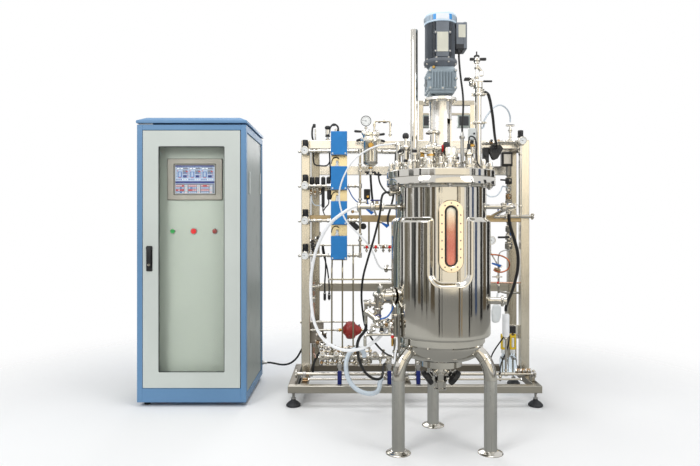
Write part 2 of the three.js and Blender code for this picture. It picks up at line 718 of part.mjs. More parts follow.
function driveMotor() {
  const [flangeRadius2, flangeHeight] = motorFlange;
  const flangeTopZ = motorBottom + flangeHeight;
  const flange = turned([
    [0, motorBottom], [flangeRadius2 - 12, motorBottom], [flangeRadius2, motorBottom + 14],
    [flangeRadius2, flangeTopZ], [0, flangeTopZ]], 8);
  const frame = bar([0, 0, flangeTopZ - 1], [0, 0, cowlBottom + 1], motorRadius, 16);
  const cowl = turned([
    [0, cowlBottom], [motorRadius + 3, cowlBottom], [motorRadius + 3, cowlBottom + cowlHeight - 14],
    [motorRadius - 12, cowlBottom + cowlHeight], [0, cowlBottom + cowlHeight]], 16);
  const [width, depth, height] = terminalBox;
  const boxLeft = motorRadius - 6;
  const box = block([boxLeft, boxLeft + width], [-depth / 2, depth / 2], [cowlBottom - height, cowlBottom]);
  const gland = bar([80, -29, cowlBottom - height - 14], [80, -29, cowlBottom - height + 1], 9);
  return join(flange, frame, cowl, box, gland);
}

// Shaft with two disc turbines, each a plate with six blades.
function agitator() {
  const turbines = impellerHeights.map((height) => {
    const disc = bar([0, 0, height - 2], [0, 0, height + 2], impellerRadius * 0.75, fittingSides);
    const hub = bar([0, 0, height - 16], [0, 0, height + 16], 24);
    const blade = block([impellerRadius * 0.5, impellerRadius], [-1.5, 1.5], [height - 14, height + 14]);
    const blades = [0, 60, 120, 180, 240, 300].map((turn) => blade.rotate([0, 0, turn]));
    return join(disc, hub, ...blades);
  });
  const shaft = bar([0, 0, shaftBottom], [0, 0, gearboxBottom + 44], shaftRadius, fitSides);
  const coupling = bar([0, 0, stoolTop - 110], [0, 0, stoolTop - 40], 30, fittingSides);
  return join(shaft, coupling, ...turbines);
}

// Condenser column, closed, with a clamped foot and a side branch.
function leftColumnSolid() {
  const [x, y] = leftColumn;
  const foot = lidTop + clearance;
  return join(
    bar([x, y, foot], [x, y, leftColumnTop - 8], columnRadius, fitSides),
    bar([x, y, foot], [x, y, foot + 14], columnRadius + 12, fitSides),
    bar([x, y, leftColumnTop - 9], [x, y, leftColumnTop], columnRadius, fitSides, columnRadius - 8));
}

// Vent column with a lever valve tee and a thin riser with a wing valve.
function rightColumnSolid() {
  const [x, y] = rightColumn;
  const foot = lidTop + clearance;
  const tee = rightColumnTop - 2;
  return join(
    bar([x, y, foot], [x, y, rightColumnTop], columnRadius - 2, fitSides),
    bar([x, y, foot], [x, y, foot + 14], columnRadius + 12, fitSides),
    bar([x, y, tee - 18], [x, y, tee + 8], columnRadius + 4, fittingSides),
    bar([x - 34, y, tee + 4], [x + 6, y, tee + 4], 11),
    bar([x, y, tee - 16], [x + 30, y, tee - 34], 9),
    centredBlock(62, 10, 6, x + 28, y - 12, tee + 8),
    bar([x - 6, y, tee], [x - 6, y, tee + 104], 6),
    bar([x - 6, y, tee + 96], [x - 6, y, tee + 118], 13),
    centredBlock(72, 8, 8, x, y, tee + 112),
    bar([x - 6, y, tee + 112], [x - 6, y, tee + 152], 4));
}

piece(vessel, 'vessel', vesselShell(), 'polished_steel');
piece(vessel, 'sight_glass', sightGlass(), 'broth');
piece(vessel, 'lid', vesselLid(), 'polished_steel');
const legAngles = { front_left: 210, front_right: 330, rear: 90 };
for (const [name, angle] of Object.entries(legAngles)) {
  piece(vessel, `${name}_leg`, legSolid(angle), 'brushed_steel');
}
piece(vessel, 'bottom_valve', bottomValve(), 'polished_steel');
for (const [name, side] of [['left', -1], ['right', 1]]) {
  const wheel = handwheel(38, 24, valveStem);
  const lean = new THREE.Vector3(side * bottomLean.x, bottomLean.y, bottomLean.z);
  const turn = new THREE.Quaternion().setFromUnitVectors(new THREE.Vector3(0, 0, 1), lean);
  piece(vessel, `${name}_drain_handwheel`, wheel, 'black_plastic', bonnetPoint(side, wheelReach));
  vessel.children.at(-1).quaternion.copy(turn);
}
const lidWheel = handwheel(30.5, 24, valveStem);
piece(vessel, 'lid_handwheel', lidWheel, 'black_plastic',
  [lidPorts[0][0] + lidWheelReach, lidPorts[0][1], lidTop + lidPorts[0][3] - 18]);
vessel.children.at(-1).rotation.set(0, Math.PI / 2, 0);
piece(vessel, 'motor_stool', motorStool(), 'polished_steel');
piece(vessel, 'gearbox', gearbox(), 'gearbox_paint');
piece(vessel, 'drive_motor', driveMotor(), 'motor_paint');
piece(vessel, 'agitator', agitator(), 'polished_steel');
piece(vessel, 'left_column', leftColumnSolid(), 'polished_steel');
piece(vessel, 'right_column', rightColumnSolid(), 'polished_steel');

// ------------------------------------------------------------------------------ skid

const railTop = railBottom + rail;
const frameBottom = railTop + clearance;
const postBack = (row) => row + post;
const stationDepth = frontRow - 34;

// Levelling foot: domed rubber pad on the floor and its threaded stem.
function levellingFootSolid(x, y) {
  const [padRadius, stemRadius] = levellingFoot;
  const pad = turned(
    [[0, 0], [padRadius, 0], [padRadius, 9], [padRadius * 0.55, 32], [stemRadius, 40], [0, 40]],
    fittingSides, [x, y, 0]);
  return join(pad, bar([x, y, 38], [x, y, railBottom + 1], stemRadius));
}

function skidBase() {
  const lengthways = [0, skidDepth - rail].map((y) => block(
    [0, skidLength], [y, y + rail], [railBottom, railTop]));
  const crossways = [0, ...crossRails, skidLength - rail].map((x) => block(
    [x, x + rail], [rail - 1, skidDepth - rail + 1], [railBottom, railTop]));
  const footDepths = [38, skidDepth - 30];
  const feet = [28, skidLength - 26].flatMap((x) => footDepths.map((y) => levellingFootSolid(x, y)));
  return join(lengthways, crossways, feet);
}

// Rack: four posts, their beams, the strip that carries the flow boxes, the raised frame
// behind the drive and the junction box behind the left post.
function rackFrame() {
  const [left, right] = frontPosts;
  const [rearLeft, rearRight] = rearPosts;
  const upright = (x, row) => block([x, x + post], [row, postBack(row)], [frameBottom, rackHeight]);
  const beam = (row, z, height) => block([left + post - 1, right + 1], [row, postBack(row)], [z, z + height]);
  const rearBeam = (z, height) => block(
    [rearLeft + post - 1, rearRight + 1], [rearRow, postBack(rearRow)], [z, z + height]);
  const sideBeam = (x) => block(
    [x, x + post], [postBack(frontRow) - 1, rearRow + 1], [rackHeight - post, rackHeight]);
  const mast = (x) => block([x, x + 30], [rearRow, rearRow + 30], [rackHeight - 1, 1770]);
  return join(
    upright(left, frontRow), upright(right, frontRow),
    upright(rearLeft, rearRow), upright(rearRight, rearRow),
    beam(frontRow, rackHeight - post, post), beam(frontRow, 1015, 40),
    rearBeam(rackHeight - post, post), rearBeam(1308, 54), rearBeam(585, post),
    sideBeam(rearLeft), sideBeam(right),
    block([flowColumn - 46, flowColumn + 46], [frontRow - flowBoxSeat, frontRow + 1], [700, 1480]),
    mast(765), mast(1085), block([765, 1115], [rearRow, rearRow + 30], [1740, 1770]),
    block([765, 1115], [rearRow, rearRow + 24], [1680, 1692]),
    block([790, 850], [rearRow, rearRow + 50], [1604, 1681]),
    block([1010, 1085], [rearRow, rearRow + 50], [1604, 1681]),
    block([left + post - 1, 180], [frontRow + 36, frontRow + 116], [300, 420]),
    bar([125, frontRow + 110, 318], [125, frontRow + 132, 318], 11, 10));
}

// Flow controller: its gas line runs straight through it.
function flowBoxSolid() {
  const [width, depth, height] = flowBox;
  const line = stationDepth - (frontRow - flowBoxSeat - clearance);
  return cut(
    centredBlock(width, depth, height, 0, -depth / 2, -height / 2),
    bar([-width, line, -gasLineDrop], [width, line, -gasLineDrop], gasLineRadius + clearance));
}

// Pressure regulator with its gauge; the knob is a piece of its own above it.
const regulatorBody = 22;
const knobLift = 27;

function regulator(x, z) {
  return join(
    bar([x, stationDepth, z - 22], [x, stationDepth, z + knobLift - 4], regulatorBody),
    bar([x, stationDepth, z + knobLift - 5], [x, stationDepth, z + knobLift + 3], 9, fitSides),
    bar([x, stationDepth - 34, z], [x, stationDepth, z], 8),
    bar([x, stationDepth - 50, z], [x, stationDepth - 33, z], 23, fittingSides),
    block([x - 12, x + 12], [stationDepth, frontRow - clearance], [z - 12, z + 10]));
}

function regulatorKnob() {
  return cut(
    join(bar([0, 0, 0], [0, 0, 9], 18, fittingSides), bar([0, 0, 8], [0, 0, 42], 16, fittingSides)),
    bar([0, 0, -1], [0, 0, 8], 9 + clearance, fitSides));
}

// Gas station: four regulators, each with its line through a flow box to the riser manifold.
function gasPipework() {
  const parts = [];
  for (let row = 0; row < rows; row += 1) {
    const z = topFlowBox - gasLineDrop - row * rowPitch;
    parts.push(regulator(stationColumn, z));
    parts.push(bar([stationColumn, stationDepth, z], [manifoldColumn, stationDepth, z], gasLineRadius));
  }
  const top = topFlowBox - gasLineDrop;
  const bottom = top - (rows - 1) * rowPitch;
  parts.push(bar([manifoldColumn, stationDepth, bottom - 12], [manifoldColumn, stationDepth, top + 12], 7));
  return join(parts);
}

piece(skid, 'skid_base', skidBase(), 'brushed_steel');
piece(skid, 'rack_frame', rackFrame(), 'brushed_steel');
for (let row = 0; row < rows; row += 1) {
  const z = topFlowBox - row * rowPitch;
  piece(skid, `flow_box_${row + 1}`, flowBoxSolid(), 'flow_blue',
    [flowColumn, frontRow - flowBoxSeat - clearance, z]);
  piece(skid, `regulator_knob_${row + 1}`, regulatorKnob(), 'black_plastic',
    [stationColumn, stationDepth, z - gasLineDrop + knobLift + clearance - 4]);
}
piece(skid, 'gas_pipework', gasPipework(), 'polished_steel');

// Drain and steam side: the long header, a branch pipe over it, ball valves between them
// whose levers hang in front, and droppers that rise to the gas lines.
const headerEnds = [30, skidLength - 4];
const valveDepth = headerDepth - 6;
const stemFront = valveDepth - 34;
const samplingDrain = [419, 64, 262]; // where the clear hose starts
const outletX = 534;
const doserX = 1222;

function drainHeader() {
  const y = headerDepth;
  const [west, east] = headerEnds;
  const parts = [
    bar([west, y, headerHeight], [east, y, headerHeight], headerRadius),
    bar([west, y, headerHeight], [west + 9, y, headerHeight], 24, fittingSides),
    bar([east - 9, y, headerHeight], [east, y, headerHeight], 24, fittingSides),
    bar([170, y, branchHeight], [900, y, branchHeight], headerRadius),
    bar([110, y - 22, 131], [skidLength - 90, y - 22, 131], 6),
  ];
  for (const x of [82, crossRails[1] + rail / 2, skidLength - rail / 2]) {
    parts.push(block([x - 10, x + 10], [y - 28, y + 8], [frameBottom, headerHeight - 2]));
  }
  for (const x of leverColumns) {
    parts.push(bar([x, valveDepth, headerHeight], [x, valveDepth, branchHeight], 15));
    parts.push(bar([x, valveDepth - 30, leverPivot], [x, valveDepth, leverPivot], 11));
    parts.push(bar([x, stemFront - 4, leverPivot], [x, valveDepth - 28, leverPivot], 5, fitSides));
  }
  for (const [x, top] of [[237, 700], [297, 700], [358, 800]]) {
    parts.push(bar([x, y, branchHeight], [x, y, top], 4.5));
  }
  parts.push(bar([225, y, 690], [440, y, 690], 4.5));
  for (const [x, width] of [[186, 44], [262, 36], [338, 40], [480, 44]]) {
    parts.push(bar([x - width / 2, y, branchHeight], [x + width / 2, y, branchHeight], 22));
    parts.push(bar([x, y - 46, branchHeight + 30], [x, y, branchHeight], 12));
  }
  const [stubX, stubY, stubTop] = samplingDrain;
  const stub = [[stubX, y, branchHeight], [stubX, stubY, branchHeight - 14], [stubX, stubY, stubTop]];
  parts.push(pipeRun(stub, 9));
  parts.push(bar([outletX, y, headerHeight], [outletX, y - 62, headerHeight], 9));
  parts.push(bar([outletX, y - 56, headerHeight], [outletX - 18, y - 87, 151], 9));
  parts.push(bar([584, y, branchHeight], [572, y - 25, 262], 6)); // tail for the upper hose
  parts.push(bar([552, valveDepth, 228], [536, y - 39, 222], 6)); // tail for the lower hose
  parts.push(bar([doserX, y, headerHeight], [doserX, y, 370], 6));
  parts.push(bar([doserX, y, 364], [doserX, y, 497], 20));
  parts.push(bar([doserX, y, 495], [doserX, y, 510], 6));
  return join(parts);
}

// Lever of a ball valve: a cranked plate with a dipped grip that hangs from its stem nut.
function valveLever() {
  const ring = bar([0, -5, 0], [0, 0, 0], 13, fittingSides);
  const grip = block([-12, 12], [-8, 2], [-leverLength, -22]);
  const neck = block([-8, 8], [-5, 0], [-26, 0]);
  return cut(join(ring, neck, grip), bar([0, -9, 0], [0, 3, 0], 5 + clearance, fitSides));
}

// Circulation pump between the left post and its delivery elbow.
function circulationPump() {
  const y = frontRow + 22;
  const z = 382;
  const [left] = frontPosts;
  const inlet = left + post + clearance;
  return join(
    bar([inlet, y, z], [290, y, z], 6), bar([288, y, z], [302, y, z], 11),
    bar([300, y, z], [316, y, z], 16, fitSides, 40), bar([315, y, z], [371, y, z], 51.5, fitSides),
    bar([370, y, z], [386, y, z], 40, fitSides, 18), bar([384, y, z], [404, y, z], 9),
    bar([378, y, z + 8], [420, y, z + 8], 17));
}

// Filter housing with its clamp flanges, top gauge and outlet valve, on a bracket.
const filterPlace = [457, frontRow - 68];

function filterHousing() {
  const [x, y] = filterPlace;
  return join(
    turned([[0, 1331], [22, 1335], [37, 1346], [41, 1358], [41, 1468], [62, 1471], [62, 1486], [46, 1490],
      [46, 1506], [54, 1509], [54, 1522], [30, 1532], [0, 1534]], fitSides, [x, y, 0]),
    bar([x, y - 36, 1447], [x, y - 50, 1447], 17, fittingSides),
    bar([x - 26, y, 1520], [x - 26, y, 1566], 5),
    bar([x - 26, y - 14, 1590], [x - 26, y + 8, 1590], 30, fitSides),
    pipeRun([[x + 22, y, 1526], [x + 22, y, 1590], [x + 112, y, 1590], [x + 112, y, 1500]], 5),
    bar([x, y, 1285], [x, y, 1336], 9), bar([x, y, 1284], [x, y, 1310], 15),
    centredBlock(68, 12, 12, x, y - 8, 1292),
    block([x - 14, x + 14], [y + 34, frontRow - clearance], [1450, 1466]));
}

// Right end: regulator, disc filter, and the vent line from the vessel to the post.
const vesselCorner = [vesselPlace[0] - skidPlace[0], vesselPlace[1] - skidPlace[1]];

function ventPipework() {
  const x = frontPosts[1] - 12;
  const z = 1478;
  const [axisX, axisY] = vesselCorner;
  const start = [axisX + shellRadius + sideNozzles[1].stand + clearance, axisY, sideNozzles[1].height];
  const corner = start[0] + 50;
  const lineDepth = frontRow - 24;
  return join(
    regulator(x, z),
    bar([x, stationDepth, 1047], [x, stationDepth, z], 8),
    bar([x - 137, stationDepth, z], [x, stationDepth, z], 8),
    bar([x - 137, stationDepth, z + 6], [x - 137, stationDepth, z - 40], 8),
    bar([x - 137, stationDepth, z - 38], [x - 143, stationDepth - 24, z - 31], 6),
    bar([x - 60, stationDepth, z - 8], [x - 60, stationDepth, 1540], 6),
    bar([x - 60, stationDepth - 14, 1560], [x - 60, stationDepth + 14, 1560], 26, fitSides),
    pipeRun([start, [corner, axisY, start[2]], [corner, axisY + 90, start[2]], [corner + 60, lineDepth, 1047],
      [skidLength + 8, lineDepth, 1047]], 10),
    bar(start, [start[0] + 8, start[1], start[2]], 20, fittingSides),
    bar([corner, axisY + 90, start[2]], [corner, axisY + 90, 1052], 7),
    bar([skidLength - 1, lineDepth, 1047], [skidLength + 8, lineDepth, 1047], 19, fittingSides),
    block([frontPosts[1] + 12, frontPosts[1] + 38], [lineDepth, frontRow - clearance], [1036, 1058]));
}

piece(skid, 'drain_header', drainHeader(), 'polished_steel');
leverColumns.forEach((x, i) => {
  piece(skid, `valve_lever_${i + 1}`, valveLever(), 'lever_blue', [x, stemFront + 2, leverPivot]);
});
piece(skid, 'circulation_pump', circulationPump(), 'pump_red');
piece(skid, 'filter_housing', filterHousing(), 'polished_steel');
piece(skid, 'vent_pipework', ventPipework(), 'polished_steel');
piece(skid, 'regulator_knob_5', regulatorKnob(), 'black_plastic',
  [frontPosts[1] - 12, stationDepth, 1478 + knobLift + clearance - 4]);

// ------------------------------------------------------------------- hoses and cables

// Each: name, diameter, finish and its points in the plant's frame, from its outlet to its end.
const hoses = [
  ['control_cable', controlCable, 'black_rubber', [
    [-475.5, 666, 103], [-458, 666, 103], [-425, 660, 99], [-385, 640, 97], [-345, 612, 105],
    [-308, 582, 126], [-275, 556, 160], [-250, 533, 203], [-228, 512, 245], [-204, 492, 280],
    [-181, 474, 303], [-164, 456, 315], [-156, 438, 318], [-155, 424, 318], [-155, 412.3, 318]]],
  ['motor_cable', 9, 'black_rubber', [
    [555, -465, 1782.3], [555, -465, 1766], [557, -465.2, 1735], [560, -465.5, 1700],
    [562.8, -465.6, 1675.7], [566, -465.5, 1650], [569.8, -465.3, 1622.5], [573, -465, 1595],
    [574.5, -464.8, 1569.9], [575, -464.5, 1545], [574.3, -464.2, 1519.7], [573, -464, 1495],
    [570.5, -464, 1455], [570, -464, 1436], [570, -464, 1424.6]]],
  ['white_loop_hose', 15, 'white_hose', [
    [94.7, -462.6, 1084], [76, -463.9, 1084], [37, -459, 1062], [-32, -430, 1008], [-90, -390, 907],
    [-120, -360, 788], [-125.5, -342, 655], [-106, -348, 530], [-58, -370, 456], [12, -405, 424.5],
    [69, -440, 426], [122, -472, 446], [163, -497, 474], [198, -515, 508], [219.5, -520, 538.2],
    [226.8, -520, 549.7]]],
  ['thin_white_tube', 8, 'white_hose', [
    [254.7, -402, 1376.3], [240, -402, 1376.3], [184, -395, 1369], [121, -385, 1340], [73, -371, 1302],
    [39, -358, 1248], [19, -350, 1200], [9, -343, 1154], [11, -339, 1105], [22, -337, 1062],
    [47, -337, 1013], [98, -339, 960], [138, -340, 918], [165, -339, 876], [181, -338, 840],
    [194, -337.5, 812], [211, -340, 794.2], [228.5, -346.3, 794]]],
  ['sensor_cable', 10, 'black_rubber', [
    [240, -460.7, 1150], [224, -462.4, 1150], [210, -466, 1141], [203, -471, 1122], [200, -477, 1095],
    [196.5, -477, 1060], [187, -469, 1013], [169, -450, 938], [141, -425, 840], [121, -390, 756],
    [114.5, -345, 668], [122, -290, 577], [134, -235, 506], [159, -165, 443], [198, -75, 376],
    [240, 25, 316], [268, 95, 284], [283, 141.2, 269.5], [291.9, 159.7, 262.1]]],
  ['black_loop_hose', 14, 'black_rubber', [
    [131, -520, 559.7], [131, -520, 544], [122, -508, 522], [105, -480, 495], [94, -438, 455],
    [97.5, -365, 392], [111.5, -275, 323], [139, -185, 256], [174, -112, 212], [204, -60, 191],
    [226, -10, 186], [237, 35, 191], [240, 75, 200.5], [243, 108, 211], [248.6, 130.7, 219.2],
    [255.9, 145.7, 221.9]]],
  ['clear_hose', 25, 'clear_hose', [
    [139, 129, 262.3], [139, 129, 280], [128, 124, 301], [104, 116, 313], [76, 104, 308],
    [53, 88, 288], [41, 73, 257], [38, 60, 225], [44, 47, 185], [64, 34, 145], [98, 14, 116],
    [140, -3, 102.5], [178, -8, 101], [205, 2, 108], [218, 26, 123], [222, 56, 140], [228.5, 85, 149.4],
    [235.8, 97.7, 151]]],
  ['right_black_hose', 16, 'black_rubber', [
    [815, -346, 1051.7], [815, -346, 1036], [826, -320, 1003], [861, -265, 937], [880.9, -230.8, 901.2],
    [899, -195, 865], [912.2, -160.5, 828.8], [922, -125, 792], [928.3, -85.6, 751.9], [932, -45, 712],
    [933.9, -4.2, 673.3], [935, 35, 639], [937, 85, 604], [939, 130, 574], [941, 165, 548],
    [942, 185, 528], [942, 185, 510.3]]],
  ['column_hose', 14, 'black_rubber', [
    [678.3, -436, 1612.8], [692, -436, 1604.6], [712, -390, 1592], [728.2, -342.9, 1580.8],
    [745, -290, 1568], [763.1, -233.2, 1552.5], [781, -175, 1536], [798.6, -115, 1518.3],
    [816, -55, 1501], [833.3, 4.1, 1485.3], [850, 60, 1472], [862.5, 99.4, 1464.4],
    [874, 135, 1459], [890, 186, 1455], [896.2, 207, 1451.3], [899.9, 221.7, 1447.1]]],
];

for (const [name, diameter, finish, points] of hoses) {
  piece(plant, name, sweptTube(points, diameter / 2, pipeSides, diameter * 3), finish);
}

export default plant;
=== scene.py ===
import json
import math
import random

import bpy
import bmesh
from mathutils import Matrix, Vector

# The looks of a pilot-scale stirred bioreactor: its control cabinet, its jacketed vessel and
# its piping skid, built round the fixed frame. Pieces are drawn in millimetres from the
# origin of their own station, and placed in metres.
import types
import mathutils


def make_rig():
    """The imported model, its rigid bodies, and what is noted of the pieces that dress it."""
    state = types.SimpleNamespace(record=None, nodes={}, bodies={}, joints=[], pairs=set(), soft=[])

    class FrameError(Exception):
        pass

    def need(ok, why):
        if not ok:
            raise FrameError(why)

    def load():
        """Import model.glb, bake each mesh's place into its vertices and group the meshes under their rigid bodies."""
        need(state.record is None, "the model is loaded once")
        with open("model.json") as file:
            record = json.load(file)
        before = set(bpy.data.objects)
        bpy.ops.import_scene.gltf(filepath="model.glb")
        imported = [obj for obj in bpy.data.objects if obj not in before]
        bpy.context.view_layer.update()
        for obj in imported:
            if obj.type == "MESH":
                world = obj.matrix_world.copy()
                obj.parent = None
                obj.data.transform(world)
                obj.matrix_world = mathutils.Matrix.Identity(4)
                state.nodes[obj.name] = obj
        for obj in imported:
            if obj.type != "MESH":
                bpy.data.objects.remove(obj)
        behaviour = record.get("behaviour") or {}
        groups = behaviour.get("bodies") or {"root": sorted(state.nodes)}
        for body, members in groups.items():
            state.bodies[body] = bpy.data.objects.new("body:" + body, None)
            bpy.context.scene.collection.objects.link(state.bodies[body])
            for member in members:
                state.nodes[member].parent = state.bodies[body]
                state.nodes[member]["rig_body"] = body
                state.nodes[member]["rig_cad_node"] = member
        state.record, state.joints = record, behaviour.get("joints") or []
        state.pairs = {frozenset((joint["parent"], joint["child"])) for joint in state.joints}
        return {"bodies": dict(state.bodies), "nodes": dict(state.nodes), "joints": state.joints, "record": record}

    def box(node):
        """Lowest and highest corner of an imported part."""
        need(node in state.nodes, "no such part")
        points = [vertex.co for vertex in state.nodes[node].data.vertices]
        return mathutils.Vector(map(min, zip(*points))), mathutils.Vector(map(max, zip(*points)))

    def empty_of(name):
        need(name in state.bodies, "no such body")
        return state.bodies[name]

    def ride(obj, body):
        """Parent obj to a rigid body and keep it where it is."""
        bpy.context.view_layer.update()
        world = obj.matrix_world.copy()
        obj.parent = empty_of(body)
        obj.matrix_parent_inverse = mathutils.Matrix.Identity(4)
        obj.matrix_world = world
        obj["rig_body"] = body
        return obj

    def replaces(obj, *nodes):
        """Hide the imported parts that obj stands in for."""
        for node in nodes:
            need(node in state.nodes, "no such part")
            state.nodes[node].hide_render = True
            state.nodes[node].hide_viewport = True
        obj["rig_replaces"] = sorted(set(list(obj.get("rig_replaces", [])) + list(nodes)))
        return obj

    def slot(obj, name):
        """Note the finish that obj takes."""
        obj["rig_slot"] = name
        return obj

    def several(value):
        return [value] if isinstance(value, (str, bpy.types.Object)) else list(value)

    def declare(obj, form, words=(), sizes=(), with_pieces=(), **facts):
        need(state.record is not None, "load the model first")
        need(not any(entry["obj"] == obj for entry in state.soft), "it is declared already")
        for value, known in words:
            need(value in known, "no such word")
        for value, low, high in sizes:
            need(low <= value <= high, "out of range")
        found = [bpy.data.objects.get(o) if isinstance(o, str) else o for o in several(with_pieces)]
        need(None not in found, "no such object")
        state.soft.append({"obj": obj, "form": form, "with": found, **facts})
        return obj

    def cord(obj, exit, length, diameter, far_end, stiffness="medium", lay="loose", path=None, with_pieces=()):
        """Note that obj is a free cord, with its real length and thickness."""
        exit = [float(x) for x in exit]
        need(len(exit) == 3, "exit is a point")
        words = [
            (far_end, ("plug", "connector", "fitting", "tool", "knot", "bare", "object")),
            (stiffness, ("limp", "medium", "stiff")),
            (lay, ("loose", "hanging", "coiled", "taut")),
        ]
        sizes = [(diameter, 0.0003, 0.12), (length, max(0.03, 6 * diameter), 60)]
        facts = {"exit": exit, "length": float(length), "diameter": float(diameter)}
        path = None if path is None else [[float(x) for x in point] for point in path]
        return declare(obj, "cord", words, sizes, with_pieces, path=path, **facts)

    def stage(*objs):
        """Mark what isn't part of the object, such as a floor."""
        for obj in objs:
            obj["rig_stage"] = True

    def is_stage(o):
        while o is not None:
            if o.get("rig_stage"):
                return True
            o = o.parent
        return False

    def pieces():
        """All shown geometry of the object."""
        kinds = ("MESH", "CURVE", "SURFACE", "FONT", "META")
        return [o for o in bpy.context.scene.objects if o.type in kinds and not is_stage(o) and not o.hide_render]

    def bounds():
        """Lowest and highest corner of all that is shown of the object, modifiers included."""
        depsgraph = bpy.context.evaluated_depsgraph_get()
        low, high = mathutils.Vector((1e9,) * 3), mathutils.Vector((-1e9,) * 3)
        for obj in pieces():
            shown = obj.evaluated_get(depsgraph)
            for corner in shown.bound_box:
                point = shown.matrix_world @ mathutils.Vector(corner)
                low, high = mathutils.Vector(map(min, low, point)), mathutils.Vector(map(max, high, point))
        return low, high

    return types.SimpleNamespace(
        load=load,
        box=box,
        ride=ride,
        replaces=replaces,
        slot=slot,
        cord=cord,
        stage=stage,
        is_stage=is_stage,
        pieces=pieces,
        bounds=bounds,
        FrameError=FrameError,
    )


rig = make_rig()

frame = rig.load()
frame_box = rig.bounds()

MM = 0.001
UP, DOWN, RIGHT, LEFT, FRONT, BACK = (0, 0, 1), (0, 0, -1), (1, 0, 0), (-1, 0, 0), (0, -1, 0), (0, 1, 0)
chance = random.Random(7)
scene = bpy.context.scene
scene.view_settings.view_transform = "Standard"


def middle(node):
    low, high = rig.box(node)
    return (low + high) / 2


# Origins of the stations, on the floor. The base's front left foot reaches 12 mm to the
# left of its rails and 2 mm in front of them.
cabinet = Vector((middle("cabinet_roof").x, middle("cabinet_roof").y, 0))
vessel = Vector((middle("motor_stool").x, middle("motor_stool").y, 0))
base_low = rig.box("skid_base")[0]
skid = Vector((base_low.x + 12 * MM, base_low.y + 2 * MM, 0))


# ---------------------------------------------------------------------------- camera

camera_data = bpy.data.cameras.new("camera")
camera = bpy.data.objects.new("camera", camera_data)
scene.collection.objects.link(camera)
scene.camera = camera
camera.location = (0.06, -3.115, 1.015)
camera.rotation_euler = (math.radians(90), 0, 0)
camera_data.sensor_width = 36
camera_data.lens = 29.98
camera_data.shift_y = -11 / 700
camera_data.clip_end = 60


# ------------------------------------------------------------------------- finishes

def tint(red, green, blue):
    """A colour written from 0 to 255, as the shader wants it."""
    return tuple(
        (c / 255 / 12.92 if c / 255 < 0.04045 else ((c / 255 + 0.055) / 1.055) ** 2.4)
        for c in (red, green, blue)) + (1.0,)


def shade(colour, factor):
    return tuple(min(1.0, c * factor) for c in colour[:3]) + (1.0,)


class Value:
    """The number on a socket, so that shader maths reads as an expression."""

    def __init__(self, finish, socket):
        self.finish = finish
        self.socket = socket

    def maths(self, operation, first, second):
        return self.finish.make("ShaderNodeMath", {"operation": operation}, {0: first, 1: second})

    def __add__(self, other):
        return self.maths("ADD", self, other)

    def __radd__(self, other):
        return self.maths("ADD", other, self)

    def __sub__(self, other):
        return self.maths("SUBTRACT", self, other)

    def __rsub__(self, other):
        return self.maths("SUBTRACT", other, self)

    def __mul__(self, other):
        return self.maths("MULTIPLY", self, other)

    def __rmul__(self, other):
        return self.maths("MULTIPLY", other, self)

    def over(self, low, high):
        """0 at low and below, 1 at high and above, and smooth between."""
        return self.finish.make(
            "ShaderNodeMapRange", {"interpolation_type": "SMOOTHSTEP"},
            {"Value": self, "From Min": low, "From Max": high})


class Finish:
    """A material under construction."""

    def __init__(self, name):
        self.material = bpy.data.materials.new(name)
        self.material.use_nodes = True
        self.tree = self.material.node_tree
        self.tree.nodes.clear()
        self.place = self.make("ShaderNodeTexCoord", out="Object")

    def make(self, kind, settings=(), sockets=(), out=0):
        """A node of that type, its settings made first, then its sockets' values or links."""
        node = self.tree.nodes.new(kind)
        for key, value in dict(settings).items():
            if key == "stops":
                steps = node.color_ramp.elements
                ends = [steps[0], steps[1]]
                for element, (position, colour) in zip(ends, (value[0], value[-1])):
                    element.position = position
                    element.color = colour
                for position, colour in value[1:-1]:
                    steps.new(position).color = colour
            else:
                setattr(node, key, value)
        for key, value in dict(sockets).items():
            if isinstance(value, Value):
                self.tree.links.new(value.socket, node.inputs[key])
            else:
                node.inputs[key].default_value = value
        return Value(self, node.outputs[out]) if node.outputs else None

    def stretched(self, x, y, z):
        return self.make("ShaderNodeVectorMath", {"operation": "MULTIPLY"}, {0: self.place, 1: (x, y, z)})

    def noise(self, scale, detail, place=None, rough=0.5):
        return self.make("ShaderNodeTexNoise", {}, {
            "Vector": place or self.place, "Scale": scale, "Detail": detail, "Roughness": rough})

    def mix(self, factor, first, second):
        return self.make("ShaderNodeMix", {"data_type": "RGBA"}, {0: factor, 6: first, 7: second}, out=2)

    def ramp(self, factor, *stops):
        return self.make("ShaderNodeValToRGB", {"stops": stops}, {"Fac": factor})

    def height(self, value):
        """One coordinate of the place: 0, 1 or 2 for x, y or z."""
        return self.make("ShaderNodeSeparateXYZ", {}, {0: self.place}, out=value)

    def surface(self, colour, roughness, bump=None, depth=0.0, **fixed):
        """The main shader and its output. Bump is a height of 0 to 1 and depth its metres."""
        sockets = {"Base Color": colour, "Roughness": roughness}
        sockets.update({key.replace("_", " "): value for key, value in fixed.items()})
        if bump is not None:
            sockets["Normal"] = self.make("ShaderNodeBump", {},
                {"Strength": 1.0, "Distance": depth, "Height": bump})
        shader = self.make("ShaderNodeBsdfPrincipled", {}, sockets)
        self.make("ShaderNodeOutputMaterial", {}, {"Surface": shader})
        return self.material


class Surroundings(Finish):
    """The world's own nodes, made like a finish's."""

    def __init__(self, world):
        world.use_nodes = True
        self.tree = world.node_tree
        self.tree.nodes.clear()


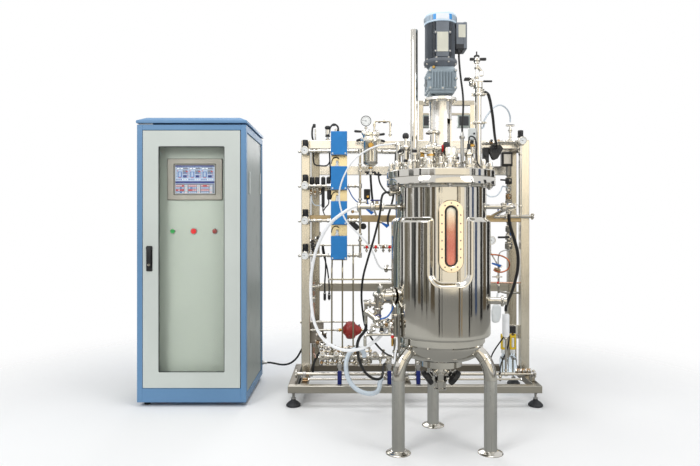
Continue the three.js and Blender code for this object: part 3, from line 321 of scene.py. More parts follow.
def painted(name, colour, roughness, shift=0.04):
    """Sprayed paint: faint orange peel, slow changes of tone and a little handling dirt."""
    finish = Finish(name)
    broad = finish.noise(2.2, 4)
    peel = finish.noise(420, 2)
    dirt = finish.noise(11, 6, rough=0.65).over(0.5, 0.78)
    tone = finish.mix(broad.over(0.3, 0.7), shade(colour, 1 - shift), shade(colour, 1 + shift))
    marked = finish.mix(dirt * 0.10, tone, shade(colour, 0.72))
    return finish.surface(marked, roughness + (broad - 0.5) * 0.1 + dirt * 0.12, peel, 0.00006)


def polished(name, colour, roughness, wave, tarnish=0.12):
    """Mirror-polished sheet or turned steel: slow waves, fine lines and wiped smears."""
    finish = Finish(name)
    slow = finish.noise(7, 2)
    smear = finish.noise(5, 5, finish.stretched(1, 1, 0.45), 0.6)
    lines = finish.noise(500, 2, finish.stretched(1, 1, 0.03))
    tone = finish.mix(smear.over(0.35, 0.75) * tarnish, colour, shade(colour, 0.6))
    return finish.surface(
        tone, smear.over(0.3, 0.8) * 0.07 + lines * 0.03 + (roughness - 0.03), slow + lines * 0.012, wave,
        Metallic=1.0)


def brushed(name, colour, grain, roughness):
    """Steel with a brushed grain: grain is how much the lines are drawn out on each axis."""
    finish = Finish(name)
    lines = finish.noise(260, 3, finish.stretched(*grain), 0.7)
    stain = finish.noise(4.5, 5, rough=0.6)
    tone = finish.mix(lines, shade(colour, 0.80), shade(colour, 1.16))
    worn = finish.mix(stain.over(0.45, 0.8) * 0.35, tone, shade(colour, 0.66))
    return finish.surface(worn, lines * 0.16 + stain * 0.10 + (roughness - 0.1), lines, 0.00005,
        Metallic=1.0)


def moulded(name, colour, roughness, grain=0.00012, size=700, **fixed):
    """Moulded plastic or rubber with a fine texture and slightly polished high spots."""
    finish = Finish(name)
    texture = finish.noise(size, 3)
    worn = finish.noise(14, 4, rough=0.6).over(0.45, 0.75)
    tone = finish.mix(worn * 0.5, colour, shade(colour, 1.35))
    return finish.surface(tone, roughness + texture * 0.12 - worn * 0.08, texture, grain, **fixed)


def enamelled(name, colour, roughness=0.42):
    """Thick enamel over a sand casting."""
    finish = Finish(name)
    sand = finish.noise(260, 4, rough=0.65)
    broad = finish.noise(9, 4)
    tone = finish.mix(broad.over(0.35, 0.7), shade(colour, 0.82), shade(colour, 1.14))
    dusty = finish.mix(sand.over(0.56, 0.8) * 0.35, tone, shade(colour, 1.7))
    return finish.surface(dusty, roughness + sand * 0.16, sand, 0.00035)


def clear(name, colour, roughness, ior=1.45, **fixed):
    """Glass or clear plastic that lets the light of the lamps through to what is behind it."""
    finish = Finish(name)
    smear = finish.noise(6, 4, rough=0.6).over(0.4, 0.8)
    sockets = {"Base Color": colour, "Roughness": smear * 0.05 + roughness, "IOR": ior,
        "Transmission Weight": 1.0}
    sockets.update({key.replace("_", " "): value for key, value in fixed.items()})
    solid = finish.make("ShaderNodeBsdfPrincipled", {}, sockets)
    through = finish.make("ShaderNodeBsdfTransparent", {}, {"Color": colour})
    lamp_ray = finish.make("ShaderNodeLightPath", out="Is Shadow Ray")
    both = finish.make("ShaderNodeMixShader", {}, {0: lamp_ray, 1: solid, 2: through})
    finish.make("ShaderNodeOutputMaterial", {}, {"Surface": both})
    return finish.material


def culture(name, low, high):
    """Salmon broth behind the sight glass: froth at the top, deeper and mottled lower down."""
    finish = Finish(name)
    level = finish.height(2)
    cloud = finish.noise(38, 5, rough=0.62)
    share = (level - low) * (1 / (high - low)) + (cloud - 0.5) * 0.16
    tone = finish.ramp(
        share, (0.0, tint(206, 110, 82)), (0.35, tint(188, 94, 70)), (0.6, tint(192, 114, 82)),
        (0.82, tint(222, 188, 152)), (0.97, tint(236, 226, 204)))
    return finish.surface(tone, cloud * 0.2 + 0.25, cloud, 0.0002, Coat_Weight=1.0, Coat_Roughness=0.04)


def printed_dial(name):
    """White enamel dial."""
    finish = Finish(name)
    faint = finish.noise(60, 3)
    return finish.surface(
        finish.mix(faint, tint(236, 238, 236), tint(248, 249, 247)), faint * 0.1 + 0.3, faint, 0.00002)


blue_paint = painted("blue_paint", tint(101, 143, 183), 0.38)
cream_paint = painted("cream_paint", tint(204, 210, 204), 0.4)
panel_paint = painted("panel_paint", tint(168, 174, 163), 0.45)
side_paint = painted("side_paint", tint(150, 160, 156), 0.32, shift=0.07)
light_plastic = moulded("light_plastic", tint(214, 218, 216), 0.4)
dark_rim = moulded("dark_rim", tint(58, 56, 50), 0.5, 0.00006, 500)
mirror_steel = polished("mirror_steel", tint(206, 203, 196), 0.07, 0.0006)
bright_steel = polished("bright_steel", tint(214, 211, 204), 0.1, 0.0001, 0.2)
warm_steel = polished("warm_steel", tint(214, 204, 184), 0.14, 0.0002, 0.25)
upright_steel = brushed("upright_steel", tint(226, 220, 206), (1, 1, 0.02), 0.2)
# The rear posts' steel: a darker copy of the upright steel, painted shade.
rear_steel = brushed("rear_steel", tint(184, 178, 164), (1, 1, 0.02), 0.24)
# Near-white brushed steel: its pale colour paints the bright surroundings it reflects, a painted reflection.
pale_steel = brushed("pale_steel", tint(246, 240, 234), (0.02, 1, 1), 0.22)
level_steel = brushed("level_steel", tint(184, 180, 170), (0.02, 1, 1), 0.3)
plate_steel = polished("plate_steel", tint(250, 236, 210), 0.17, 0.0003, 0.3)
bowl_steel = polished("bowl_steel", tint(250, 246, 234), 0.1, 0.0003, 0.1)
bronze = polished("bronze", tint(168, 140, 108), 0.22, 0.0001, 0.4)
leg_steel = brushed("leg_steel", tint(206, 206, 202), (1, 1, 0.015), 0.27)
dull_steel = brushed("dull_steel", tint(150, 148, 142), (0.3, 0.3, 0.3), 0.38)
zinc = brushed("zinc", tint(190, 190, 190), (0.6, 0.6, 0.6), 0.3)
brass = polished("brass", tint(206, 166, 92), 0.16, 0.0001, 0.3)
copper = polished("copper", tint(196, 122, 88), 0.2, 0.0001, 0.3)
motor_enamel = enamelled("motor_enamel", tint(114, 120, 128))
gear_enamel = enamelled("gear_enamel", tint(162, 176, 184))
# The cowl's bluish white paints the bright surroundings it reflects: a painted reflection over the motor's paint.
cowl_enamel = painted("cowl_enamel", tint(206, 226, 242), 0.35)
pump_enamel = enamelled("pump_enamel", tint(160, 46, 40), 0.3)
flow_plastic = moulded("flow_plastic", tint(30, 126, 198), 0.42, 0.00008, 500)
grip_vinyl = moulded("grip_vinyl", tint(14, 32, 112), 0.3, 0.0001, 300)
black_plastic = moulded("black_plastic", tint(26, 27, 30), 0.42)
black_rubber = moulded("black_rubber", tint(20, 21, 23), 0.5, 0.00006, 900)
soft_black = moulded("soft_black", tint(44, 46, 50), 0.6, 0.0002, 500)
taupe_plastic = moulded("taupe_plastic", tint(150, 144, 134), 0.45, 0.0001, 600)
white_silicone = moulded("white_silicone", tint(250, 251, 252), 0.35, 0.00004, 400)
green_cap = moulded("green_cap", tint(30, 138, 62), 0.25, 0.00002)
red_cap = moulded("red_cap", tint(206, 26, 26), 0.25, 0.00002)
lamp_lens = moulded("lamp_lens", tint(150, 62, 56), 0.15, 0.00002)
red_rubber = moulded("red_rubber", tint(178, 40, 34), 0.5, 0.0001, 500)
blue_tube = moulded("blue_tube", tint(10, 92, 172), 0.25, 0.00002)
yellow_plastic = moulded("yellow_plastic", tint(232, 196, 30), 0.35)
dial_enamel = printed_dial("dial_enamel")
pane_glass = clear("pane_glass", tint(250, 252, 251), 0.0, 1.14)
bottle_glass = clear("bottle_glass", tint(226, 238, 246), 0.0, Specular_Tint=(1, 1, 1, 1))
clear_pvc = moulded("clear_pvc", tint(216, 228, 238), 0.15, 0.00002, 300, Alpha=0.8)
sight_low, sight_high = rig.box("sight_glass")
broth = culture("broth", sight_low.z, sight_high.z)


# -------------------------------------------------------------------------- shaping

def rounded(points, radius, closed=True, steps=4):
    """An outline or profile of 2-D points with its corners rounded by arcs."""
    made = []
    count = len(points)
    for i, here in enumerate(points):
        here = Vector(here)
        if not closed and i in (0, count - 1):
            made.append(tuple(here))
            continue
        before = Vector(points[i - 1]) - here
        after = Vector(points[(i + 1) % count]) - here
        reach = min(radius, before.length * 0.49, after.length * 0.49)
        first = here + before.normalized() * reach
        last = here + after.normalized() * reach
        for step in range(steps + 1):
            t = step / steps
            bend = first * (1 - t) ** 2 + here * (2 * t * (1 - t)) + last * t ** 2
            made.append(tuple(bend))
    return made


def lathe(profile, sides):
    """A profile of (radius, height) turned about +Z. Off the axis its two ends are joined."""
    corners, rings, faces = [], [], []
    for radius, height in profile:
        first = len(corners)
        if radius < 1e-6:
            corners.append((0, 0, height))
            rings.append([first] * sides)
            continue
        for i in range(sides):
            turn = 2 * math.pi * i / sides
            corners.append((radius * math.cos(turn), radius * math.sin(turn), height))
        rings.append(list(range(first, first + sides)))
    if profile[0][0] > 1e-6:
        rings.append(rings[0])
    for lower, upper in zip(rings, rings[1:]):
        for i in range(sides):
            j = (i + 1) % sides
            ring = [lower[i], lower[j], upper[j], upper[i]]
            face = [c for k, c in enumerate(ring) if c != ring[k - 1]]
            if len(face) > 2:
                faces.append(face)
    return corners, faces


def aimed(place, direction, up=UP):
    """A frame at a place whose Z axis points along a direction, and whose Y leans to up."""
    z = Vector(direction).normalized()
    x = Vector(up).cross(z)
    if x.length < 1e-4:
        x = Vector(RIGHT) if abs(z.x) < 0.9 else Vector(BACK)
        x = (x - z * x.dot(z))
    x.normalize()
    y = z.cross(x)
    turn = Matrix((x, y, z)).transposed().to_4x4()
    return Matrix.Translation(Vector(place)) @ turn


def at(x, y, z):
    return Matrix.Translation((x, y, z))


def rise(height):
    return Vector((0, 0, height))


def spun(degrees):
    """A turn about Z."""
    return Matrix.Rotation(math.radians(degrees), 4, "Z")


def moved(part, matrix):
    corners, faces = part
    return [tuple(matrix @ Vector(c)) for c in corners], faces


def bar(start, end, radius, far=None, edge=0.8, sides=28):
    """A round bar between two points with small chamfers; far makes it a cone."""
    run = Vector(end) - Vector(start)
    length, far = run.length, radius if far is None else far
    edge = min(edge, radius * 0.4, far * 0.4, length * 0.3)
    profile = [(0, 0), (radius - edge, 0), (radius, edge), (far, length - edge), (far - edge, length),
        (0, length)]
    return turned(profile, aimed(start, run), sides)


def turned(profile, frame, sides):
    """A lathed part set in a frame."""
    return moved(lathe(profile, sides), frame)


def post(x, y, low, high, *size, **more):
    """A round bar that stands upright."""
    return bar((x, y, low), (x, y, high), *size, **more)


def rail(left, right, y, z, *size, **more):
    """A round bar that runs from side to side."""
    return bar((left, y, z), (right, y, z), *size, **more)


def peg(x, first, last, z, *size, **more):
    """A round bar that runs from front to back."""
    return bar((x, first, z), (x, last, z), *size, **more)


def circled(part, spot, count, first=0):
    """Copies of a part at even steps round a frame's axis."""
    return [moved(part, spot @ spun(first + 360 / count * k)) for k in range(count)]


def ball(place, radius, sides=24):
    rings = 10
    profile = [(radius * math.sin(math.pi * i / rings), -radius * math.cos(math.pi * i / rings))
        for i in range(rings + 1)]
    profile[0], profile[-1] = (0, -radius), (0, radius)
    return turned(profile, Matrix.Translation(Vector(place)), sides)


def nut(place, direction, across, height):
    """A hexagon nut or bolt head with its corners turned off."""
    radius = across / math.sqrt(3)
    profile = [(0, 0), (radius * 0.93, 0), (radius, height * 0.14), (radius, height * 0.8),
        (radius * 0.88, height), (0, height)]
    return turned(profile, aimed(place, direction), 6)


def nuts(direction, *rows):
    """Nuts that face one way, each a row of its place, its width across the flats and height."""
    return [nut((x, y, z), direction, across, height) for x, y, z, across, height in rows]


def block(x_range, y_range, z_range, edge=1.0):
    """A chamfered block between two limits on each axis."""
    limits = [sorted(x_range), sorted(y_range), sorted(z_range)]
    edge = min([edge] + [(high - low) * 0.45 for low, high in limits])
    corners, index = [], {}
    for a in (0, 1):
        for b in (0, 1):
            for c in (0, 1):
                ends = (a, b, c)
                for axis in range(3):
                    point = []
                    for k in range(3):
                        inset = 0 if k == axis else edge
                        point.append(limits[k][ends[k]] + (inset if ends[k] == 0 else -inset))
                    index[ends, axis] = len(corners)
                    corners.append(tuple(point))
    faces = []
    for axis in range(3):
        one, two = [k for k in range(3) if k != axis]
        for end in (0, 1):
            ring = []
            for u, v in ((0, 0), (1, 0), (1, 1), (0, 1)):
                ends = [0, 0, 0]
                ends[axis], ends[one], ends[two] = end, u, v
                ring.append(index[tuple(ends), axis])
            faces.append(ring)
        for u in (0, 1):
            for v in (0, 1):
                ends = [0, 0, 0]
                ends[one], ends[two] = u, v
                low = tuple(ends)
                ends[axis] = 1
                high = tuple(ends)
                faces.append([index[low, one], index[high, one], index[high, two], index[low, two]])
    for a in (0, 1):
        for b in (0, 1):
            for c in (0, 1):
                faces.append([index[(a, b, c), axis] for axis in range(3)])
    return corners, faces


def loft(rings, closed=False):
    """A skin over rings with as many points each; closed joins the last ring to the first."""
    count = len(rings[0])
    corners = [tuple(point) for ring in rings for point in ring]
    pairs = [(k, k + 1) for k in range(len(rings) - 1)] + ([(len(rings) - 1, 0)] if closed else [])
    faces = []
    for a, b in pairs:
        for i in range(count):
            j = (i + 1) % count
            faces.append([a * count + i, a * count + j, b * count + j, b * count + i])
    if not closed:
        faces.append(list(range(count))[::-1])
        faces.append([(len(rings) - 1) * count + i for i in range(count)])
    return corners, faces


def inset(outline, amount):
    """An anticlockwise outline drawn in by an amount."""
    points = [Vector(p) for p in outline]
    made = []
    for i, here in enumerate(points):
        before = (here - points[i - 1]).normalized()
        after = (points[(i + 1) % len(points)] - here).normalized()
        first, second = Vector((-before.y, before.x)), Vector((-after.y, after.x))
        inward = (first + second).normalized()
        made.append(tuple(here + inward * amount / max(0.5, inward.dot(first))))
    return made


def at_height(outline, height):
    return [(x, y, height) for x, y in outline]


def slab(outline, low, high, edge):
    """A closed outline of (x, y) points drawn from height low to high, with eased rims."""
    small = inset(outline, edge)
    return loft([at_height(small, low), at_height(outline, low + edge), at_height(outline, high - edge),
        at_height(small, high)])


def oblong(width, height, corner, steps=6):
    """The outline of a rectangle with round corners, centred, anticlockwise."""
    made = []
    corner = min(corner, width / 2 - 0.01, height / 2 - 0.01)
    for turn, sx, sy in ((0, 1, 1), (90, -1, 1), (180, -1, -1), (270, 1, -1)):
        for step in range(steps + 1):
            angle = math.radians(turn + 90 * step / steps)
            made.append((sx * (width / 2 - corner) + corner * math.cos(angle),
                sy * (height / 2 - corner) + corner * math.sin(angle)))
    return made


def bordered(outer, inner, low, high, edge):
    """A plate with a hole: two outlines with as many points each, from height low to high."""
    small, wide = inset(outer, edge), inset(inner, -edge)
    return loft([at_height(small, low), at_height(outer, low + edge), at_height(outer, high - edge),
        at_height(small, high), at_height(wide, high), at_height(inner, high - edge),
        at_height(inner, low + edge), at_height(wide, low)], closed=True)


def stood(x, y, z):
    """A frame that stands an outline up: its y is height, and it thickens towards -Y."""
    return at(x, y, z) @ Matrix.Rotation(math.radians(90), 4, "X")


def shifted(outline, x, y):
    return [(a + x, b + y) for a, b in outline]


def screw(place, direction, radius, height):
    """A pan-head screw with a round recess."""
    profile = [(0, 0), (radius, 0), (radius, height * 0.3), (radius * 0.82, height * 0.85),
        (radius * 0.42, height), (radius * 0.36, height * 0.5), (0, height * 0.45)]
    return turned(profile, aimed(place, direction), 14)


def collar(place, direction, inner, outer, width, edge, sides=32):
    """A ring round an axis, centred on its place."""
    half = width / 2
    profile = [(inner, -half), (outer - edge, -half), (outer, -half + edge), (outer, half - edge),
        (outer - edge, half), (inner, half)]
    return turned(profile, aimed(place, direction), sides)


def clamp(place, direction, radius, up=UP, width=13):
    """A hinged pipe clamp: its band, the hinge lug and the swing bolt with a wing nut."""
    spot = aimed(place, direction, up)
    band = lathe([(radius * 0.7, -width / 2), (radius - 2.5, -width / 2), (radius, -width / 2 + 3),
        (radius, width / 2 - 3), (radius - 2.5, width / 2), (radius * 0.7, width / 2)], 30)
    lugs = [block((radius - 3, radius + 7), (-4.5, 4.5), (-width * 0.42, width * 0.42)),
        block((-radius - 8, -radius + 3), (-8, -3), (-width * 0.42, width * 0.42)),
        block((-radius - 8, -radius + 3), (3, 8), (-width * 0.42, width * 0.42)),
        peg(-radius - 5, -14, 17, 0, 2.4, sides=10), block((-radius - 15, -radius + 5), (9, 12), (-3, 3)),
        peg(-radius - 5, 8, 16, 0, 4.2, sides=12)]
    return [moved(part, spot) for part in [band] + lugs]


def threaded(start, end, radius):
    """A stud whose turns of thread show as ridges."""
    run = Vector(end) - Vector(start)
    count = max(2, int(run.length / 2))
    profile = [(0, 0)]
    for i in range(count):
        z = run.length * i / count
        profile += [(radius * 0.86, z), (radius, z + run.length * 0.5 / count)]
    profile += [(radius * 0.86, run.length), (0, run.length)]
    return turned(profile, aimed(start, run), 16)


def bent(points, bend):
    """A pipe's line: its straight runs joined by arcs of about the bend's radius."""
    line, steps = [Vector(points[0])], 7
    for before, here, after in zip(points, points[1:], points[2:]):
        here = Vector(here)
        back, on = Vector(before) - here, Vector(after) - here
        reach = min(bend, back.length * 0.49, on.length * 0.49)
        first, last = here + back.normalized() * reach, here + on.normalized() * reach
        for step in range(steps + 1):
            t = step / steps
            line.append(first * (1 - t) ** 2 + here * (2 * t * (1 - t)) + last * t ** 2)
    line.append(Vector(points[-1]))
    return line


def swept(line, radius, sides):
    """A round tube along a line of points, closed at both ends. Radius may vary by point."""
    line = [Vector(p) for p in line]
    radii = radius if isinstance(radius, (list, tuple)) else [radius] * len(line)
    corners, faces = [], []
    side = None
    for i, here in enumerate(line):
        along = (line[min(i + 1, len(line) - 1)] - line[max(i - 1, 0)]).normalized()
        if side is None:
            side = along.orthogonal().normalized()
        side = (side - along * side.dot(along)).normalized()
        other = along.cross(side)
        for k in range(sides):
            turn = 2 * math.pi * k / sides
            corners.append(tuple(here + (side * math.cos(turn) + other * math.sin(turn)) * radii[i]))
    for i in range(len(line) - 1):
        for k in range(sides):
            m = (k + 1) % sides
            faces.append([i * sides + k, i * sides + m, (i + 1) * sides + m, (i + 1) * sides + k])
    last = (len(line) - 1) * sides
    faces.append(list(range(sides))[::-1])
    faces.append([last + k for k in range(sides)])
    return corners, faces


def pipe(points, bend, radius, sides):
    """A bent pipe."""
    return swept(bent(points, bend), radius, sides)


def smooth_line(points, spacing):
    """A centripetal curve through its points, with a point about every spacing millimetres."""
    points = [Vector(p) for p in points]
    ends = [points[0] * 2 - points[1]] + points + [points[-1] * 2 - points[-2]]
    line = []
    for a, b, c, d in zip(ends, ends[1:], ends[2:], ends[3:]):
        t1 = (b - a).length ** 0.5
        t2 = t1 + (c - b).length ** 0.5
        t3 = t2 + (d - c).length ** 0.5
        steps = max(2, round((c - b).length / spacing))
        for step in range(steps):
            t = t1 + (t2 - t1) * step / steps
            ab = a * ((t1 - t) / t1) + b * (t / t1)
            bc = b * ((t2 - t) / (t2 - t1)) + c * ((t - t1) / (t2 - t1))
            cd = c * ((t3 - t) / (t3 - t2)) + d * ((t - t2) / (t3 - t2))
            abc = ab * ((t2 - t) / t2) + bc * (t / t2)
            bcd = bc * ((t3 - t) / (t3 - t1)) + cd * ((t - t1) / (t3 - t1))
            line.append(abc * ((t2 - t) / (t2 - t1)) + bcd * ((t - t1) / (t2 - t1)))
    line.append(points[-1])
    return line


def tube(points, radius, sides=10):
    """A small hose or cable along a smooth line."""
    return swept(smooth_line(points, 5), radius, sides)


class Piece:
    """A piece put together from closed parts, in millimetres from its station's origin."""

    def __init__(self, name, station):
        self.name = name
        self.station = station
        self.corners, self.faces, self.finish_of, self.finishes = [], [], [], []

    def add(self, finish, *parts):
        if finish not in self.finishes:
            self.finishes.append(finish)
        for part in parts:
            corners, faces = part
            first = len(self.corners)
            self.corners += corners
            self.faces += [[first + i for i in face] for face in faces]
            self.finish_of += [self.finishes.index(finish)] * len(faces)

    def place(self, *nodes, body="frame", slot="polished_steel", sharp=32):
        """Makes the mesh, and says which CAD nodes it stands for, its body and its finish's slot."""
        mesh = bpy.data.meshes.new(self.name)
        mesh.from_pydata([self.station + Vector(c) * MM for c in self.corners], [], self.faces)
        for finish in self.finishes:
            mesh.materials.append(finish)
        mesh.polygons.foreach_set("material_index", self.finish_of)
        work = bmesh.new()
        work.from_mesh(mesh)
        bmesh.ops.recalc_face_normals(work, faces=work.faces)
        work.to_mesh(mesh)
        work.free()
        mesh.polygons.foreach_set("use_smooth", [True] * len(mesh.polygons))
        mesh.set_sharp_from_angle(angle=math.radians(sharp))
        thing = bpy.data.objects.new(self.name, mesh)
        scene.collection.objects.link(thing)
        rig.ride(thing, body)
        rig.slot(thing, slot)
        if nodes:
            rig.replaces(thing, *nodes)
        return thing


# ------------------------------------------------------------------ hoses and cables

# Each: diameter in metres, stiffness, finish, slot and the points of its route in metres.
routes = {
    "control_cable": (0.012, "medium", black_rubber, "black_rubber", [
        (-0.4755, 0.666, 0.103), (-0.458, 0.666, 0.103), (-0.425, 0.660, 0.099), (-0.385, 0.640, 0.097),
        (-0.345, 0.612, 0.105), (-0.308, 0.582, 0.126), (-0.275, 0.556, 0.160), (-0.250, 0.533, 0.203),
        (-0.228, 0.512, 0.245), (-0.204, 0.492, 0.280), (-0.181, 0.474, 0.303), (-0.164, 0.456, 0.315),
        (-0.156, 0.438, 0.318), (-0.155, 0.424, 0.318), (-0.155, 0.4123, 0.318)]),
    "motor_cable": (0.009, "medium", black_rubber, "black_rubber", [
        (0.555, -0.465, 1.7823), (0.555, -0.465, 1.766), (0.557, -0.4652, 1.735), (0.560, -0.4655, 1.700),
        (0.5628, -0.4656, 1.6757), (0.566, -0.4655, 1.650), (0.5698, -0.4653, 1.6225),
        (0.573, -0.465, 1.595), (0.5745, -0.4648, 1.5699), (0.575, -0.4645, 1.545),
        (0.5743, -0.4642, 1.5197), (0.573, -0.464, 1.495), (0.5705, -0.464, 1.455), (0.570, -0.464, 1.436),
        (0.570, -0.464, 1.4246)]),
    "white_loop_hose": (0.015, "limp", white_silicone, "white_hose", [
        (0.0947, -0.4626, 1.084), (0.076, -0.4639, 1.084), (0.037, -0.459, 1.062), (-0.032, -0.430, 1.008),
        (-0.090, -0.390, 0.907), (-0.120, -0.360, 0.788), (-0.1255, -0.342, 0.655), (-0.106, -0.348, 0.530),
        (-0.058, -0.370, 0.456), (0.012, -0.405, 0.4245), (0.069, -0.440, 0.426), (0.122, -0.472, 0.446),
        (0.163, -0.497, 0.474), (0.198, -0.515, 0.508), (0.2195, -0.520, 0.5382),
        (0.2268, -0.520, 0.5497)]),
    "thin_white_tube": (0.008, "limp", white_silicone, "white_hose", [
        (0.2547, -0.402, 1.3763), (0.240, -0.402, 1.3763), (0.184, -0.395, 1.369), (0.121, -0.385, 1.340),
        (0.073, -0.371, 1.302), (0.039, -0.358, 1.248), (0.019, -0.350, 1.200), (0.009, -0.343, 1.154),
        (0.011, -0.339, 1.105), (0.022, -0.337, 1.062), (0.047, -0.337, 1.013), (0.098, -0.339, 0.960),
        (0.138, -0.340, 0.918), (0.165, -0.339, 0.876), (0.181, -0.338, 0.840), (0.194, -0.3375, 0.812),
        (0.211, -0.340, 0.7942), (0.2285, -0.3463, 0.794)]),
    "sensor_cable": (0.01, "medium", black_rubber, "black_rubber", [
        (0.240, -0.4607, 1.150), (0.224, -0.4624, 1.150), (0.210, -0.466, 1.141), (0.203, -0.471, 1.122),
        (0.200, -0.477, 1.095), (0.1965, -0.477, 1.060), (0.187, -0.469, 1.013), (0.169, -0.450, 0.938),
        (0.141, -0.425, 0.840), (0.121, -0.390, 0.756), (0.1145, -0.345, 0.668), (0.122, -0.290, 0.577),
        (0.134, -0.235, 0.506), (0.159, -0.165, 0.443), (0.198, -0.075, 0.376), (0.240, 0.025, 0.316),
        (0.268, 0.095, 0.284), (0.283, 0.1412, 0.2695), (0.2919, 0.1597, 0.2621)]),
    "black_loop_hose": (0.014, "medium", black_rubber, "black_rubber", [
        (0.131, -0.520, 0.5597), (0.131, -0.520, 0.544), (0.122, -0.508, 0.522), (0.105, -0.480, 0.495),
        (0.094, -0.438, 0.455), (0.0975, -0.365, 0.392), (0.1115, -0.275, 0.323), (0.139, -0.185, 0.256),
        (0.174, -0.112, 0.212), (0.204, -0.060, 0.191), (0.226, -0.010, 0.186), (0.237, 0.035, 0.191),
        (0.240, 0.075, 0.2005), (0.243, 0.108, 0.211), (0.2486, 0.1307, 0.2192), (0.2559, 0.1457, 0.2219)]),
    "clear_hose": (0.025, "medium", clear_pvc, "clear_hose", [
        (0.139, 0.129, 0.2623), (0.139, 0.129, 0.280), (0.128, 0.124, 0.301), (0.104, 0.116, 0.313),
        (0.076, 0.104, 0.308), (0.053, 0.088, 0.288), (0.041, 0.073, 0.257), (0.038, 0.060, 0.225),
        (0.044, 0.047, 0.185), (0.064, 0.034, 0.145), (0.098, 0.014, 0.116), (0.140, -0.003, 0.1025),
        (0.178, -0.008, 0.101), (0.205, 0.002, 0.108), (0.218, 0.026, 0.123), (0.222, 0.056, 0.140),
        (0.2285, 0.085, 0.1494), (0.2358, 0.0977, 0.151)]),
    "right_black_hose": (0.016, "medium", black_rubber, "black_rubber", [
        (0.815, -0.346, 1.0517), (0.815, -0.346, 1.036), (0.826, -0.320, 1.003), (0.861, -0.265, 0.937),
        (0.8809, -0.2308, 0.9012), (0.899, -0.195, 0.865), (0.9122, -0.1605, 0.8288),
        (0.922, -0.125, 0.792), (0.9283, -0.0856, 0.7519), (0.932, -0.045, 0.712),
        (0.9339, -0.0042, 0.6733), (0.935, 0.035, 0.639), (0.937, 0.085, 0.604), (0.939, 0.130, 0.574),
        (0.941, 0.165, 0.548), (0.942, 0.185, 0.528), (0.942, 0.185, 0.5103)]),
    "column_hose": (0.014, "medium", black_rubber, "black_rubber", [
        (0.6783, -0.436, 1.6128), (0.692, -0.436, 1.6046), (0.712, -0.390, 1.592),
        (0.7282, -0.3429, 1.5808), (0.745, -0.290, 1.568), (0.7631, -0.2332, 1.5525),
        (0.781, -0.175, 1.536), (0.7986, -0.115, 1.5183), (0.816, -0.055, 1.501), (0.8333, 0.0041, 1.4853),
        (0.850, 0.060, 1.472), (0.8625, 0.0994, 1.4644), (0.874, 0.135, 1.459), (0.890, 0.186, 1.455),
        (0.8962, 0.207, 1.4513), (0.8999, 0.2217, 1.4471)]),
}


def hose(name, diameter, stiffness, finish, slot, points, far_end="object", drawn=True, ends=()):
    """A hose or cable as a tube along the smooth curve through its route."""
    line = [p * MM for p in smooth_line([Vector(p) / MM for p in points], 6)]
    length = sum((b - a).length for a, b in zip(line, line[1:]))
    curve = bpy.data.curves.new(name, "CURVE")
    curve.dimensions = "3D"
    curve.bevel_depth = diameter / 2
    curve.bevel_resolution = 5
    curve.use_fill_caps = True
    spline = curve.splines.new("POLY")
    spline.points.add(len(line) - 1)
    for point, place in zip(spline.points, line):
        point.co = (*place, 1)
    spline.use_smooth = True
    curve.materials.append(finish)
    tube = bpy.data.objects.new(name + "_tube", curve)
    scene.collection.objects.link(tube)
    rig.cord(tube, exit=points[0], length=length, diameter=diameter, far_end=far_end,
            stiffness=stiffness, lay="hanging", with_pieces=ends)
    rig.ride(tube, "frame")
    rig.slot(tube, slot)
    if drawn:
        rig.replaces(tube, name)


for name, facts in routes.items():
    hose(name, *facts)


# ------------------------------------------------------------------- control cabinet

half, front = 300, -300
door_face, door_back = -303, -285
panel_face = -225
handle_place, handle_pivot, handle_face = -230, 870.5, -311.3
button_height = 963
caster_side, caster_end, caster_trail, axle_height = 170, 225, 18, 28


